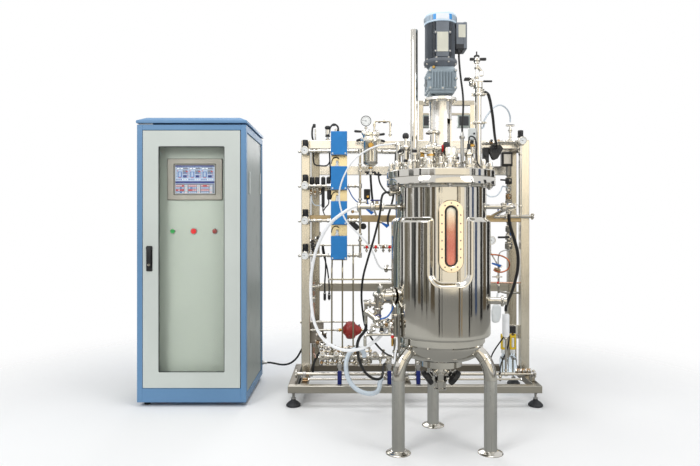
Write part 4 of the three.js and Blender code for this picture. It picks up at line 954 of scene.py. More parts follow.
def casing():
    """Folded casing with an open plinth, a framed door opening and set-in side sheets."""
    made = Piece("cabinet_casing", cabinet)
    for side in (-1, 1):
        edge, inner = side * 299.7, side * 282
        made.add(blue_paint, block((side * half, side * 270), (front, front + 38), (24, 1550), 2),
            block((side * half, side * 262), (half - 38, half), (24, 1550), 2),
            block((edge, inner), (-263, 263), (24.3, 62), 1.5),
            block((edge, inner), (-263, 263), (1512, 1549.7), 1.5), block((side * 271, side * 256),
            (-283, -270.4), (117, 1504), 0.6))
    made.add(blue_paint, block((-271, 271), (-299.7, -273), (24.3, 101), 1.5),
        block((-271, 271), (-299.7, -270.3), (1520, 1549.7), 1.5),
        block((-256.5, 256.5), (-283, -270.6), (100, 118), 0.6),
        block((-256.5, 256.5), (-283, -270.6), (1503, 1521), 0.6),
        block((-290, 290), (-290, 290), (1533, 1549.3), 2),
        block((-281.5, 281.5), (-269, 281.5), (84, 92), 1),
        block((-263, 263), (282.5, 299.6), (24.4, 84), 1),
        block((-262.5, 262.5), (282, 298.4), (85, 1534), 1.5))
    for x in (-263.5, 263.5):
        made.add(soft_black, block((x - 4, x + 4), (-284.6, -282), (122, 1499), 1))
    for z in (109.5, 1511.5):
        made.add(soft_black, block((-259, 259), (-284.5, -282), (z - 4, z + 4), 1))
    for z in (300, 1300):
        for x in (-250, 250):
            made.add(zinc, screw((x, half - 1.6, z), BACK, 5, 1.5))
    made.place("cabinet_body", slot="blue_paint")

    sides = Piece("side_sheets", cabinet)
    for side in (-1, 1):
        sides.add(side_paint, block((side * 283, side * 294), (front + 39.5, half - 39.5), (63.5, 1510.5),
            1.2))
        for y in (front + 52, half - 52):
            for z in (80, 790, 1494):
                sides.add(zinc, screw((side * 294, y, z), (side, 0, 0), 4.5, 1.6))
    for y in (-157, 225):
        z = 1238 if y < 0 else 1258
        rim = bordered(oblong(26, 132, 11), oblong(15, 112, 6), 0, 4.2, 0.8)
        well = slab(oblong(17, 114, 7), -1, 1.4, 0.4)
        spot = aimed((294, y, z), RIGHT)
        sides.add(light_plastic, moved(rim, spot), moved(well, spot),
            moved(block((-7, 7), (18, 26), (0, 3.6), 1), spot))
    sides.place(slot="grey_paint")

    running_gear = Piece("cabinet_running_gear", cabinet)
    for x in (-caster_side, caster_side):
        running_gear.add(zinc, *fork_parts(x, caster_end, 92))
    foot_place = (-255, -262)
    running_gear.add(zinc, threaded((*foot_place, 13), (*foot_place, 86), 6.5),
        nut((*foot_place, 68), UP, 22, 9), nut((*foot_place, 16), UP, 19, 7))
    foot = lathe([(0, 4), (14, 4), (17, 6), (17, 10), (12, 15.5), (0, 15.5)], 28)
    running_gear.add(black_rubber, moved(foot, at(*foot_place, 0)))
    running_gear.place(slot="brushed_steel")

    gland = Piece("cabinet_cable_gland", cabinet)
    cable_line = (281, 103)
    gland.add(zinc, nut((298.5, *cable_line), RIGHT, 24, 11),
        turned([(7, 0), (10.5, 0), (10.5, 3), (8.4, 24), (7, 24)], aimed((309, *cable_line), RIGHT), 24))
    gland.add(black_rubber, turned([(6.6, 0), (9.4, 0), (9.0, 5), (6.6, 6)],
        aimed((305, *cable_line), RIGHT), 20))
    gland.place(slot="brushed_steel")


def fork_parts(x, y, top):
    """Caster fork: swivel plate, ball race, bent crown, two drop cheeks and the axle."""
    spot = at(x, y, 0)
    parts = [lathe([(0, 66), (18, 66), (20, 68), (20, 72), (17, 74), (17, 76), (20, 78), (20, top),
        (0, top)], 30), block((-14, 14), (-14, 27), (60, 67), 2)]
    cheek = [(-13, 64), (-13, 55), (10, 20), (16, 18.5), (24, 19), (27, 27), (26, 64)]
    for side in (-1, 1):
        sheet = slab(rounded(cheek, 6), 0, 3, 0.5)
        parts.append(moved(sheet, at(11 if side > 0 else -14, 0, 0) @ aimed((0, 0, 0), RIGHT)))
        parts.append(nut((side * 13.6, caster_trail, axle_height), (side, 0, 0), 10, 2.3))
    parts.append(rail(-15, 15, caster_trail, axle_height, 4, sides=20))
    return [moved(part, spot) for part in parts]


def casters():
    tread = [(4.4, -9), (4.4, 9), (11, 9.6), (12, 7), (19, 7), (20.5, 9), (25, 9.6), (27.4, 6.5), (28, 2),
        (28, -2), (27.4, -6.5), (25, -9.6), (20.5, -9), (19, -7), (12, -7), (11, -9.6)]
    for end, y in (("front", -caster_end), ("rear", caster_end)):
        for side, x in (("left", -caster_side), ("right", caster_side)):
            if end == "front":
                fork = Piece(f"{side}_caster_fork_visual", cabinet)
                fork.add(zinc, *fork_parts(x, y, 83.7))
                fork.place(f"front_{side}_caster_fork", body=f"{side}_fork", slot="brushed_steel")
            name = f"{end}_{side}"
            wheel = Piece(f"{name}_wheel_visual", cabinet)
            hub = aimed((x, y + caster_trail, axle_height), RIGHT)
            wheel.add(red_rubber, turned(tread, hub, 40))
            wheel.add(light_plastic, *[moved(collar((0, 0, s * 7.4), UP, 12.5, 18.5, 1.4, 0.4), hub)
                for s in (-1, 1)])
            wheel.place(f"{name}_caster_wheel", body=f"{name}_wheel", slot="wheel_red")


def roof():
    made = Piece("cabinet_top", cabinet)
    made.add(soft_black, block((-270, 270), (-270, 270), (1550.3, 1560), 1))
    made.add(blue_paint, slab(oblong(610, 610, 5), 1558.3, 1573.3, 1.6),
        loft([at_height(oblong(603, 603, 6), 1573), at_height(oblong(600, 600, 6), 1575.2),
        at_height(oblong(533, 533, 8), 1592.1), at_height(oblong(529, 529, 8), 1593.3)]))
    made.place("cabinet_roof", slot="blue_paint")
    strip = Piece("roof_gap_strip", cabinet)
    strip.add(light_plastic, block((-292, -215), (-292, -268), (1550.6, 1557.6), 1))
    strip.place(slot="white_paint")


def door():
    made = Piece("door_leaf", cabinet)
    outer = oblong(534, 1413, 2.5)
    hole = shifted(oblong(362, 1240, 6), 0, -0.5)
    made.add(cream_paint, moved(bordered(outer, hole, 0, 18, 1.6), stood(0, door_back, 810.5)))
    made.place("cabinet_door", body="door", slot="white_paint")

    seal = Piece("door_window_seal", cabinet)
    seal.add(soft_black, moved(bordered(oblong(361.4, 1239.4, 5.7), oblong(356.4, 1234.4, 3.2), 1, 11.5,
        0.8), stood(0, -290.9, 810)))
    seal.place(body="door", slot="black_rubber")

    pane = Piece("door_pane", cabinet)
    pane.add(pane_glass, block((-193, 193), (-290.7, -286.8), (178, 1442), 0.5))
    pane.place("door_glass", body="door", slot="glass")

    plate = Piece("door_handle_plate", cabinet)
    plate.add(black_plastic, moved(bordered(oblong(34, 139, 6), oblong(27, 131, 4), 0, 3, 0.8),
        stood(handle_place, door_face, 814)), moved(slab(oblong(28, 132, 4), 0, 1.6, 0.3),
        stood(handle_place, door_face, 814)))
    for side in (-1, 1):
        plate.add(black_plastic, block((handle_place + side * 11.3, handle_place + side * 15.3),
            (-315.5, -304), (863.5, 877.5), 1.2))
    plate.place(body="door", slot="black_plastic")


def handle():
    """The swing lever in its plate, with a bright lock button at its lower end."""
    made = Piece("handle_lever", cabinet)
    outline = [(-5, 0), (-4.6, 2.2), (-2.6, 4.4), (0, 5), (2.6, 4.4), (4.6, 2.2), (5, 0), (5, -98),
        (4, -104), (-3.4, -104), (-4.4, -98)]
    made.add(black_plastic, moved(slab(outline[::-1], -10.8, 10.8, 1.2),
        at(handle_place, handle_face, handle_pivot) @ aimed((0, 0, 0), RIGHT)))
    for i in range(7):
        z = 800 + i * 7
        made.add(black_plastic, block((-238.5, -221.5), (-317, -315.6), (z, z + 3), 0.5))
    made.add(black_plastic, rail(-240.9, -219.1, handle_face, handle_pivot, 4.9))
    button = lathe([(0, 0), (8, 0), (8, 6.4), (7, 8), (2.6, 7.8), (2.2, 5), (0, 5)], 32)
    made.add(bright_steel, moved(button, aimed((handle_place, handle_face, 780.5), FRONT)))
    made.place("door_handle", body="handle", slot="black_plastic")


def control_panel():
    made = Piece("panel_sheet", cabinet)
    made.add(panel_paint, moved(bordered(oblong(563.4, 1439.4, 1), shifted(oblong(286, 210, 2), 0, 442), 0,
        3, 0.4), stood(0, panel_face + 3, 812)))
    for x in (-262, 262):
        for z in (120, 420, 720, 1020, 1320, 1505):
            made.add(zinc, screw((x, panel_face, z), FRONT, 4.5, 2))
    made.place("control_panel", slot="grey_paint")
    rings = Piece("button_rings", cabinet)
    for x, radius in ((-125, 12.6), (-7, 15.6), (111, 13)):
        rings.add(bright_steel, collar((x, panel_face - 2, button_height), FRONT, radius, radius + 3.8, 4,
            1.4))
    dome = lathe([(0, 0), (13.4, 0), (13.4, 4), (11.6, 8), (7.4, 11), (0, 12.4)], 32)
    rings.add(lamp_lens, moved(dome, aimed((111, panel_face - 1.5, button_height), FRONT)))
    rings.place()
    for body, x, radius, cap, slot in (("start", -125, 12.1, green_cap, "start_green"),
            ("stop", -7, 15.1, red_cap, "stop_red")):
        button = Piece(f"{body}_button_cap", cabinet)
        face = lathe([(0, 0), (radius, 0), (radius, 6.4), (radius - 1.3, 8.6), (radius - 2.5, 9),
            (radius - 3.3, 8), (0, 7.6)], 32)
        button.add(cap, moved(face, aimed((x, -228.3, button_height), FRONT)))
        button.add(soft_black, peg(x, -229, -209.2, button_height, 6.8),
            nut((x, -221, button_height), BACK, 17, 4))
        button.place(body + "_button", body=body, slot=slot)


def touch_screen():
    """Bezel with a stepped rim, and a picture of generic process blocks over two tables."""
    made = Piece("screen_bezel", cabinet)
    screen_middle = 1254
    spot = stood(0, -225.3, screen_middle)
    made.add(taupe_plastic, moved(bordered(oblong(307, 230, 7), oblong(232, 170, 4), 0, 8, 2), spot),
        moved(bordered(oblong(250, 188, 4), oblong(220, 158, 2), 0, 4.4, 0.6), spot),
        block((-142, 142), (-225.6, -192.4), (1150, 1358), 2))
    made.add(dark_rim, moved(bordered(oblong(311, 234, 8), oblong(304, 227, 6), 0, 3, 0.5), spot),
        moved(bordered(oblong(238, 176, 4), oblong(230, 168, 3), 0, 8.5, 0.4), spot))
    made.place("touch_screen", slot="screen_plastic")

    picture = Piece("screen_picture", cabinet)
    sheet = stood(0, -228.6, screen_middle)

    def tile(finish, x0, x1, z0, z1, lift=0.25):
        picture.add(finish, moved(block((x0, x1), (z0, z1), (0, lift), 0.05), sheet))

    tile(screen_pale, -110, 110, -79, 79, 0.1)
    tile(screen_grey, -108, 108, -78, -24, 0.16)
    tile(screen_navy, -110, 110, -22, -10)
    tile(screen_navy, -110, 110, 71, 79)
    for group in range(3):
        left = -103 + group * 70
        tile(screen_grey, left, left + 64, 56, 66)
        tile(screen_white, left + 3, left + 17, 58, 64, 0.4)
        tile(screen_white, left + 22, left + 36, 58, 64, 0.4)
        tile(screen_red, left + 4, left + 9, 45, 50, 0.4)
        tile(screen_blue, left + 6, left + 30, 12, 44)
        tile(screen_pale, left + 12, left + 24, 16, 40, 0.4)
        tile(screen_red, left + 10, left + 26, 8, 11, 0.4)
        tile(screen_grey, left + 34, left + 60, 30, 52)
        tile(screen_blue, left + 38, left + 56, 34, 40, 0.4)
        tile(screen_red, left + 52, left + 60, 40, 48, 0.5)
        tile(screen_navy, left + 36, left + 58, 10, 24)
        tile(screen_white, left + 31, left + 62, -4, 3)
        for k in range(5):
            tile(screen_grey, left - 1, left + 3, 14 + 8 * k, 18 + 8 * k, 0.3)
            tile((screen_red, screen_navy)[k % 2], left + 61, left + 65, 10 + 8 * k, 15 + 8 * k, 0.3)
            tile(screen_navy, left - 2 + 13 * k, left + 6 + 13 * k, -2, 1, 0.5)
            tile((screen_navy, screen_blue)[k % 2], left + 2 + 12 * k, left + 9 + 12 * k, 67, 69.6, 0.3)
        for row in range(4):
            z = -32 - row * 12
            tile(screen_blue if row % 2 else screen_red, left - 4, left + 42, z - 8, z, 0.3)
            for cell in range(4):
                if chance.random() > 0.15:
                    tile(screen_white, left - 1 + cell * 11, left + 6 + cell * 11, z - 6, z - 2, 0.45)
            tile(screen_white, left + 46, left + 60, z - 8, z, 0.3)
            tile(screen_red if row % 2 else screen_navy, left + 49, left + 57, z - 6, z - 2, 0.45)
    picture.place(slot="screen_plastic")


def lit(name, colour):
    """A patch of a lit screen."""
    finish = Finish(name)
    dots = finish.noise(900, 1)
    return finish.surface(finish.mix(dots * 0.2, colour, shade(colour, 0.8)), dots * 0.1 + 0.2, dots,
        0.00001, Emission_Color=colour, Emission_Strength=0.05)


screen_pale = lit("screen_pale", tint(158, 172, 196))
screen_white = lit("screen_white", tint(220, 226, 230))
screen_grey = lit("screen_grey", tint(116, 120, 132))
screen_navy = lit("screen_navy", tint(52, 60, 116))
screen_blue = lit("screen_blue", tint(86, 112, 160))
screen_red = lit("screen_red", tint(178, 62, 62))

casing()
casters()
roof()
door()
handle()
control_panel()
touch_screen()


# ---------------------------------------------------------------------- the vessel

shell_radius, jacket_radius, jacket_rise = 206, 225, 19
jacket_bottom, jacket_top = 505, 1035
sight_bearing, sight_middle = 3.4, 954.5
sight_turn = math.radians(sight_bearing - 90)
left_nozzle, side_bearing = 1084, 196


def around(angle, radius, height):
    """A point at an angle in degrees from +X."""
    turn = math.radians(angle)
    return Vector((radius * math.cos(turn), radius * math.sin(turn), height))


def jacket_share(across, height):
    """How far the jacket has risen off the shell: 0 in the well of the sight glass and above
    the shoulder, 1 on the jacket, with a round lip between them."""
    corner, well_half, well_floor = 40, 75, 758
    wide, deep = abs(across) - (well_half - corner), well_floor + corner - height
    well = math.hypot(max(wide, 0), max(deep, 0)) + min(max(wide, deep), 0) - corner
    top = jacket_top - height
    turn = 16
    inside = max(turn, min(well, top)) - math.hypot(max(turn - well, 0), max(turn - top, 0))
    share = min(1.0, max(0.0, inside / 21))
    return math.sin(math.pi / 2 * share ** 1.3)


def vessel_wall():
    """The shell with its jacket, the dished bottom and the outlet ring, hollow inside."""
    angles, turn = [], -math.pi
    while turn < math.pi - 0.004:
        angles.append(turn)
        turn += 2.0 / jacket_radius if abs(turn * jacket_radius) < 112 else 6.5 / jacket_radius
    foot = rounded([(205, jacket_bottom), (jacket_radius, jacket_bottom), (jacket_radius, 529)], 20,
        closed=False, steps=8)
    dish = [(98, 362), (98, 391), (128, 396), (150, 403), (168, 413), (180, 425), (187.5, 439), (191, 455),
        (192, 470), (192, 474), (193, 475.5), (193, 478.5), (192, 480), (192, 501), (194, jacket_bottom)]
    rows = [[r] * len(angles) + [z] for r, z in dish + foot]
    heights = [536 + 8 * i for i in range(25)] + [734 + 2.5 * i for i in range(28)]
    heights += [808 + 9 * i for i in range(22)] + [1003 + 2 * i for i in range(18)] + [1045, 1090, 1135]
    for z in heights:
        rows.append([shell_radius + jacket_rise * jacket_share(215 * math.sin(a) if abs(a) < 1.2 else 200,
            z) for a in angles] + [z])
    for r, z in [(shell_radius, 1162), (207.2, 1170), (210.5, 1175), (216, 1178), (244, 1178),
            (246, 1180.2), (246, 1209), (244.5, 1211), (200, 1211), (200, 475), (180, 453), (162, 431),
            (130, 409), (14.5, 399), (12.6, 391), (12.6, 362)]:
        rows.append([r] * len(angles) + [z])
    rings = [[(row[i] * math.cos(a + sight_turn), row[i] * math.sin(a + sight_turn), row[-1]) for i,
        a in enumerate(angles)] for row in rows]
    return loft(rings, closed=True)


def sight_frame(made):
    """The plate round the glass: a raised ring with its screws and a black gasket."""
    spot = spun(sight_bearing) @ stood(0, -197, sight_middle)
    made.add(plate_steel, moved(bordered(oblong(108, 308, 50, 10), oblong(51.6, 257.6, 25.7, 10), 0, 22,
        3.2), spot))
    places = [(s * 40, z) for s in (-1, 1) for z in (-90, -54, -18, 18, 54, 90)]
    places += [(s * 27, z) for s in (-1, 1) for z in (-130, 130)] + [(0, -141), (0, 141)]
    for x, z in places:
        made.add(dull_steel, moved(screw((x, z, 21.6), UP, 3.6, 2.4), spot))
    gasket = bordered(oblong(51.4, 257.4, 25.6, 10), oblong(39.4, 245.4, 19.6, 10), 15, 19.4, 1)
    made.add(black_rubber, moved(gasket, spot))


def nozzle(made, angle, height, radius, stand):
    """A tube out of the wall, with its weld and a clamp at the open end."""
    start, end = around(angle, 203, height), around(angle, shell_radius + stand, height)
    out = end - start
    made.add(mirror_steel, bar(start, end, radius, edge=0.4), collar(around(angle, 207.5, height), out,
        radius * 0.8, radius + 3.4, 5, 2))
    made.add(bright_steel, *clamp(end - out.normalized() * 4, out, radius + 9))


def vessel_body():
    made = Piece("vessel_shell", vessel)
    made.add(mirror_steel, vessel_wall())
    sight_frame(made)
    made.place("vessel", sharp=40)

    glass = Piece("sight_window", vessel)
    spot = spun(sight_bearing)
    glass.add(broth, moved(slab(oblong(50.4, 256.4, 25.1, 10), 0, 6.4, 0.5),
        spot @ stood(0, -203, sight_middle)))
    glass.place("sight_glass", slot="broth")
    pane = Piece("sight_pane", vessel)
    pane.add(pane_glass, moved(slab(oblong(50.4, 256.4, 25.1, 10), 0, 2.4, 0.4),
        spot @ stood(0, -209.5, sight_middle)))
    pane.place(slot="glass")

    ports = Piece("vessel_nozzles", vessel)
    for angle, height, radius, stand in ((184, left_nozzle, 11, 175), (0, 1085, 11, 84), (186, 1150, 9, 30),
                                         (348, 660, 16, 74), (160, 794, 9, 56), (30, 800, 9, 56)):
        nozzle(ports, angle, height, radius, stand)
    left = around(184, 1, 0)
    for reach, size in ((268, 20), (318, 20)):
        ports.add(bright_steel, *clamp(left * reach + rise(left_nozzle), left, size))
    ports.add(warm_steel, bar(left * 282 + rise(left_nozzle), left * 304 + rise(left_nozzle), 16, edge=3),
        bar(left * 293 + rise(left_nozzle), left * 293 + rise(1112), 7), bar(left * 372 + rise(left_nozzle),
        left * 380 + rise(left_nozzle), 12.5, 9.5))
    ports.add(grip_vinyl, block((-322, -268), (-28, -17), (1111, 1117), 1.5))
    ports.add(mirror_steel, bar(around(348, 272, 660), around(348, 296, 660), 17, edge=2))
    ports.place()
    sampling_valve()


def sampling_valve():
    """Valve on the left lower nozzle: upright body, bonnet, side branch and two hose tails."""
    made = Piece("sampling_valve", vessel)
    nozzle(made, side_bearing, 674, 16, 94)
    x, y = around(side_bearing, 304, 0).xy
    made.add(mirror_steel, post(x, y, 560, 694, 15.5, edge=2), rail(x - 60, x, y, 652, 12.5),
        bar((x, y, 580), (x + 62, y, 572), 9.5, edge=2), bar((x + 58, y, 573), (x + 44, y, 550.2), 6, 5),
        post(x - 52, y, 560.2, 668, 7.4, edge=1))
    for z in (572, 628, 690):
        made.add(bright_steel, *clamp((x, y, z), UP, 22, (1, -0.4, 0), 11))
    made.add(bright_steel, *clamp((x - 34, y, 652), RIGHT, 20, width=11), nut((x - 52, y, 600), UP, 20, 9),
        nut((x - 52, y, 660), UP, 19, 8), nut((x + 40, y, 574.6), (1, 0, -0.13), 24, 9))
    made.add(warm_steel, bar((x + 6, y - 4, 640), (x + 30, y - 16, 676), 11, 13, edge=2),
        bar((x - 8, y - 10, 610), (x - 22, y - 24, 600), 8))
    made.add(grip_vinyl, block((x - 30, x + 16), (y - 30, y - 24), (597, 606), 1.6))
    made.add(red_cap, peg(x + 2, y - 16, y - 24, 588, 8))
    made.place()


def leg(name, angle):
    made = Piece(f"{name}_leg_visual", vessel)
    reach = 234
    path = [around(angle, r, z) for r, z in (
        (reach, 6), (reach, 120), (reach, 240), (reach, 300), (reach - 2, 340), (reach - 10, 378),
        (reach - 24, 406), (reach - 44, 430), (reach - 68, 449))]
    line = smooth_line(path, 7)
    split = next(i for i, p in enumerate(line) if p.z > 318)
    made.add(leg_steel, swept(line[:split + 1], 28.5, 32))
    made.add(mirror_steel, swept(line[split:], 28.45, 32))
    toe = line[-7] - line[-9]
    made.add(bright_steel, collar(line[-9], toe, 26, 31, 7, 2.5))
    foot = lathe([(0, 0), (55, 0), (55, 2.6), (53, 4.5), (46, 7), (38, 9.4), (33, 12.6), (28, 13), (0, 13)],
        48)
    made.add(mirror_steel, moved(foot, Matrix.Translation(around(angle, reach, 0))))
    made.place(f"{name}_leg", slot="brushed_steel")


lean = Vector((0.8, -0.1, -0.6)).normalized()


def bonnet(side, distance):
    return Vector((side * (24 + lean.x * distance), -12 + lean.y * distance, 334 + lean.z * distance))


def fluted(profile, sides, lobes, depth, core, top=math.inf):
    """A lathed part with shallow finger lobes outside its core and below its top."""
    corners, faces = lathe(profile, sides)
    shaped = []
    for x, y, z in corners:
        reach = math.hypot(x, y)
        dip = 1 - depth * (1 - math.cos(lobes * math.atan2(y, x))) if reach > core and z < top else 1
        shaped.append((x * dip, y * dip, z))
    return shaped, faces


def knob_wheel(made, spot, radius, thickness, finish, lobes=10):
    """Round valve wheel with shallow finger lobes, a dished face and a hub."""
    half = thickness / 2
    profile = [(6.4, -half - 6), (radius * 0.42, -half - 6), (radius * 0.45, -half - 4),
        (radius * 0.47, -half), (radius * 0.86, -half), (radius * 0.97, -half + 3), (radius, -half + 7),
        (radius, half - 7), (radius * 0.96, half - 2), (radius * 0.88, half), (radius * 0.62, half - 2),
        (radius * 0.34, half - 1.5), (0, half - 1.5), (0, half - 5), (6.4, half - 6)]
    made.add(finish, moved(fluted(profile, lobes * 6, lobes, 0.035, radius * 0.8), spot))


def drain_valve():
    """Block valve under the vessel with two bonnets that lean out and down to their wheels."""
    made = Piece("drain_valve_body", vessel)
    body = rounded([(12.6, 246), (25, 246), (27, 262), (27, 300), (30, 322), (27, 346), (41, 350),
        (42, 354), (42, 361.7), (12.6, 361.7)], 3, steps=3)
    made.add(mirror_steel, lathe(body, 48))
    made.add(bright_steel, collar((0, 0, 252), UP, 20, 30, 11, 3), collar((0, 0, 288), UP, 24, 31, 8, 2))
    made.add(mirror_steel, bar((8, 6, 300), (84, 60, 300), 11.5))
    made.add(bright_steel, *clamp((79, 57, 300), (76, 54, 0), 20))
    for side in (-1, 1):
        along = Vector((side * lean.x, lean.y, lean.z))
        made.add(mirror_steel, bar(bonnet(side, -14), bonnet(side, 4), 19, edge=3))
        made.add(bright_steel, collar(bonnet(side, 7), along, 12, 24, 7, 2),
            bar(bonnet(side, 9), bonnet(side, 26), 17, 12))
        made.add(zinc, bar(bonnet(side, 24), bonnet(side, 52.5), 5.8, edge=1))
        for k in range(4):
            turn = aimed(bonnet(side, 10), along) @ Matrix.Rotation(math.pi / 2 * k + 0.6, 4, "Z")
            made.add(zinc, moved(nut((19.5, 0, 0), UP, 7, 5), turn))
    made.place("bottom_valve")
    for name, side in (("left", -1), ("right", 1)):
        wheel = Piece(f"{name}_drain_wheel_visual", vessel)
        spot = aimed(bonnet(side, 48), Vector((side * lean.x, lean.y, lean.z)))
        knob_wheel(wheel, spot, 37.6, 23.6, black_plastic)
        wheel.add(light_plastic, moved(block((-9, 9), (-5.5, 5.5), (10, 11.4), 0.4), spot))
        wheel.place(f"{name}_drain_handwheel", body=f"{name}_drain_wheel", slot="black_plastic")


vessel_body()
for name, angle in (("front_left", 210), ("front_right", 330), ("rear", 90)):
    leg(name, angle)
drain_valve()


# --------------------------------------------------------------- the lid and its ports

lid_low, lid_high = 1211.3, 1244.3
# Where the ports stand, from the middle of the vessel.
riser, inoculation, feed_port, probe = (-60, -118), (-163, -40), (-190, 34), (112, -92)
lamp_port, safety, hand_hole, rod_port = (20, -165), (-70, 120), (90, 130), (95, -28)


def lid_bolts(made):
    """Swing bolts with tall cap nuts round the two flanges."""
    for k in range(16):
        angle = 1.25 + 22.5 * k
        spot = around(angle, 226, 0)
        made.add(bright_steel, nut(spot + rise(lid_high), UP, 24, 17), turned([(0, 0), (9.5, 0), (9.5, 18),
            (8.4, 23), (5, 26.4), (0, 27.6)], Matrix.Translation(spot + rise(1261)), 20),
            collar(spot + rise(1246), UP, 8, 14.5, 3, 0.8, 24))
        made.add(zinc, bar(spot + rise(1163), spot + rise(1180), 6), nut(spot + rise(1178), DOWN, 19, 10))


def port(made, x, y, radius, height, capped=True):
    """A welded tube with a clamped joint half way up."""
    weld = lathe([(radius - 1, lid_high), (radius + 4.5, lid_high), (radius + 1.4, lid_high + 4.5),
        (radius - 1, lid_high + 5)], 28)
    made.add(mirror_steel, moved(weld, at(x, y, 0)), post(x, y, lid_high - 2, lid_high + height, radius,
        edge=1.5, sides=32))
    made.add(bright_steel, *clamp((x, y, lid_high + 36), UP, radius + 10, (y, -x, 0), 12))
    if capped:
        made.add(bright_steel, collar((x, y, lid_high + height - 4), UP, radius * 0.6, radius + 3, 8, 2))


def lid():
    made = Piece("lid_plate", vessel)
    plate = [(12.8, lid_low), (244, lid_low), (246, lid_low + 2), (246, lid_high - 4), (243, lid_high - 1),
        (239, lid_high), (64, lid_high), (35, lid_high), (35, lid_high + 38), (33, lid_high + 40),
        (12.8, lid_high + 40)]
    made.add(mirror_steel, lathe(plate, 120))
    made.add(soft_black, collar((0, 0, 1211.15), UP, 205, 243.4, 1.6, 0.4, 120))
    made.place("lid", sharp=34)

    bolts = Piece("lid_bolts", vessel)
    lid_bolts(bolts)
    bolts.place()

    ports = Piece("lid_ports", vessel)
    port(ports, *riser, 14.5, 100, False)
    port(ports, *inoculation, 16.5, 108)
    port(ports, *feed_port, 12, 132)
    port(ports, *probe, 15.5, 74, False)
    port(ports, *lamp_port, 18.5, 50, False)
    port(ports, *safety, 16, 80)
    port(ports, *hand_hole, 19, 52)
    ports.add(zinc, post(*rod_port, lid_high, lid_high + 158, 8), nut((*rod_port, lid_high), UP, 26, 12),
        nut((*rod_port, lid_high + 150), UP, 22, 12), post(*rod_port, lid_high + 160, lid_high + 180, 8, 6))
    feed = lid_high + 132
    ports.add(mirror_steel, rail(-190, -214, 34, feed, 5.2), ball((*feed_port, feed), 12.6))
    ports.add(bright_steel, nut((-199, 34, feed), LEFT, 17, 8), rail(-212, -220, 34, feed, 5, 3.8))
    # inoculation port: knurled cap and a side tail
    cap = lathe([(0, 0), (21, 0), (22, 2), (22, 18), (20, 21), (8, 22), (7, 27), (0, 28)], 16)
    ports.add(bright_steel, moved(cap, at(*inoculation, lid_high + 92)))
    ports.add(mirror_steel, bar((*inoculation, lid_high + 66), (-190, -52, lid_high + 78), 6),
        ball((-190, -52, lid_high + 78), 8))
    # probe port: steel sleeve, black connector and its moulded strain relief
    ports.add(bright_steel, nut((*probe, lid_high + 62), UP, 34, 14),
        post(*probe, lid_high + 76, lid_high + 92, 10))
    ports.add(soft_black, post(*probe, lid_high + 90, lid_high + 118, 8.5, 7, edge=2),
        tube([(*probe, lid_high + 114), (*probe, lid_high + 132),
        (118, -94, lid_high + 150), (136, -92, lid_high + 146), (148, -84, lid_high + 116),
        (150, -78, lid_high + 70), (156, -70, lid_high + 34), (176, -66, lid_high + 12),
        (196, -60, lid_high + 6)], 3.2))
    # lamp port: cast housing with a bezel
    lamp = lathe([(0, 0), (22, 0), (27, 3), (28, 8), (28, 44), (24, 52), (12, 57), (0, 58)], 40)
    ports.add(bowl_steel, moved(lamp, at(*lamp_port, lid_high + 44) @ Matrix.Scale(0.92, 4)))
    ports.add(bright_steel, *clamp((*lamp_port, lid_high + 48), UP, 29, (1, 0.3, 0), 11))
    # safety valve: bonnet, spring case and lifting lever
    ports.add(brass, post(*safety, lid_high + 76, lid_high + 96, 13, edge=2),
        nut((*safety, lid_high + 94), UP, 22, 10))
    ports.add(bright_steel, post(*safety, lid_high + 102, lid_high + 110, 5), block((-92, -64), (115, 125),
        (lid_high + 106, lid_high + 109)))
    # hand hole: blank cover with a bow handle
    ports.add(mirror_steel, turned([(0, 0), (27, 0), (28, 2), (26, 7), (0, 8)],
        at(*hand_hole, lid_high + 50), 40))
    bow = smooth_line([(74, 130, lid_high + 56), (76, 130, lid_high + 70), (*hand_hole, lid_high + 76),
        (104, 130, lid_high + 70), (106, 130, lid_high + 56)], 3)
    ports.add(bright_steel, swept(bow, 3.2, 12))
    # low bosses and a lifting eye on the plate
    for angle, reach, size in ((250, 190, 9), (305, 196, 8), (214, 120, 9), (20, 120, 10), (150, 110, 9)):
        spot = around(angle, reach, lid_high)
        ports.add(bright_steel, collar(spot + rise(5), UP, size * 0.5, size + 5, 10, 2),
            nut(spot + rise(9), UP, size * 2, 9), bar(spot, spot + rise(24), size * 0.5))
    ports.place()
    diaphragm_valve()


def diaphragm_valve():
    """Valve on the front riser: its body, the clamped bonnet and the stem of its wheel."""
    made = Piece("lid_valve_body", vessel)
    (x, y), z = riser, lid_high + 94
    along = aimed((x, y, z), RIGHT)
    body = rounded([(0, -26), (13, -26), (17, -20), (17, 6), (15, 10), (26, 12), (27, 15), (27, 20),
        (19, 22), (19, 40), (13, 46), (0, 46)], 2.5, closed=False, steps=3)
    made.add(bright_steel, turned(body, along, 40))
    made.add(mirror_steel, post(x, y, z - 12, z + 17, 14.5, edge=2), rail(x - 24, x - 38, y, z, 8, edge=2))
    made.add(zinc, rail(x + 44, x + 72.4, y, z, 5.8, edge=1))
    for k in range(4):
        made.add(zinc, moved(nut((21.5, 0, 22), UP, 7.5, 5),
            along @ Matrix.Rotation(math.pi / 2 * k + 0.78, 4, "Z")))
    made.place()
    wheel = Piece("lid_wheel_visual", vessel)
    spot = aimed((x + 68, y, z), RIGHT)
    knob_wheel(wheel, spot, 30.2, 23.6, black_plastic, 8)
    wheel.add(light_plastic, moved(block((-5, 5), (-8, 8), (9.6, 11.2), 0.4), spot))
    wheel.place("lid_handwheel", body="lid_wheel", slot="black_plastic")


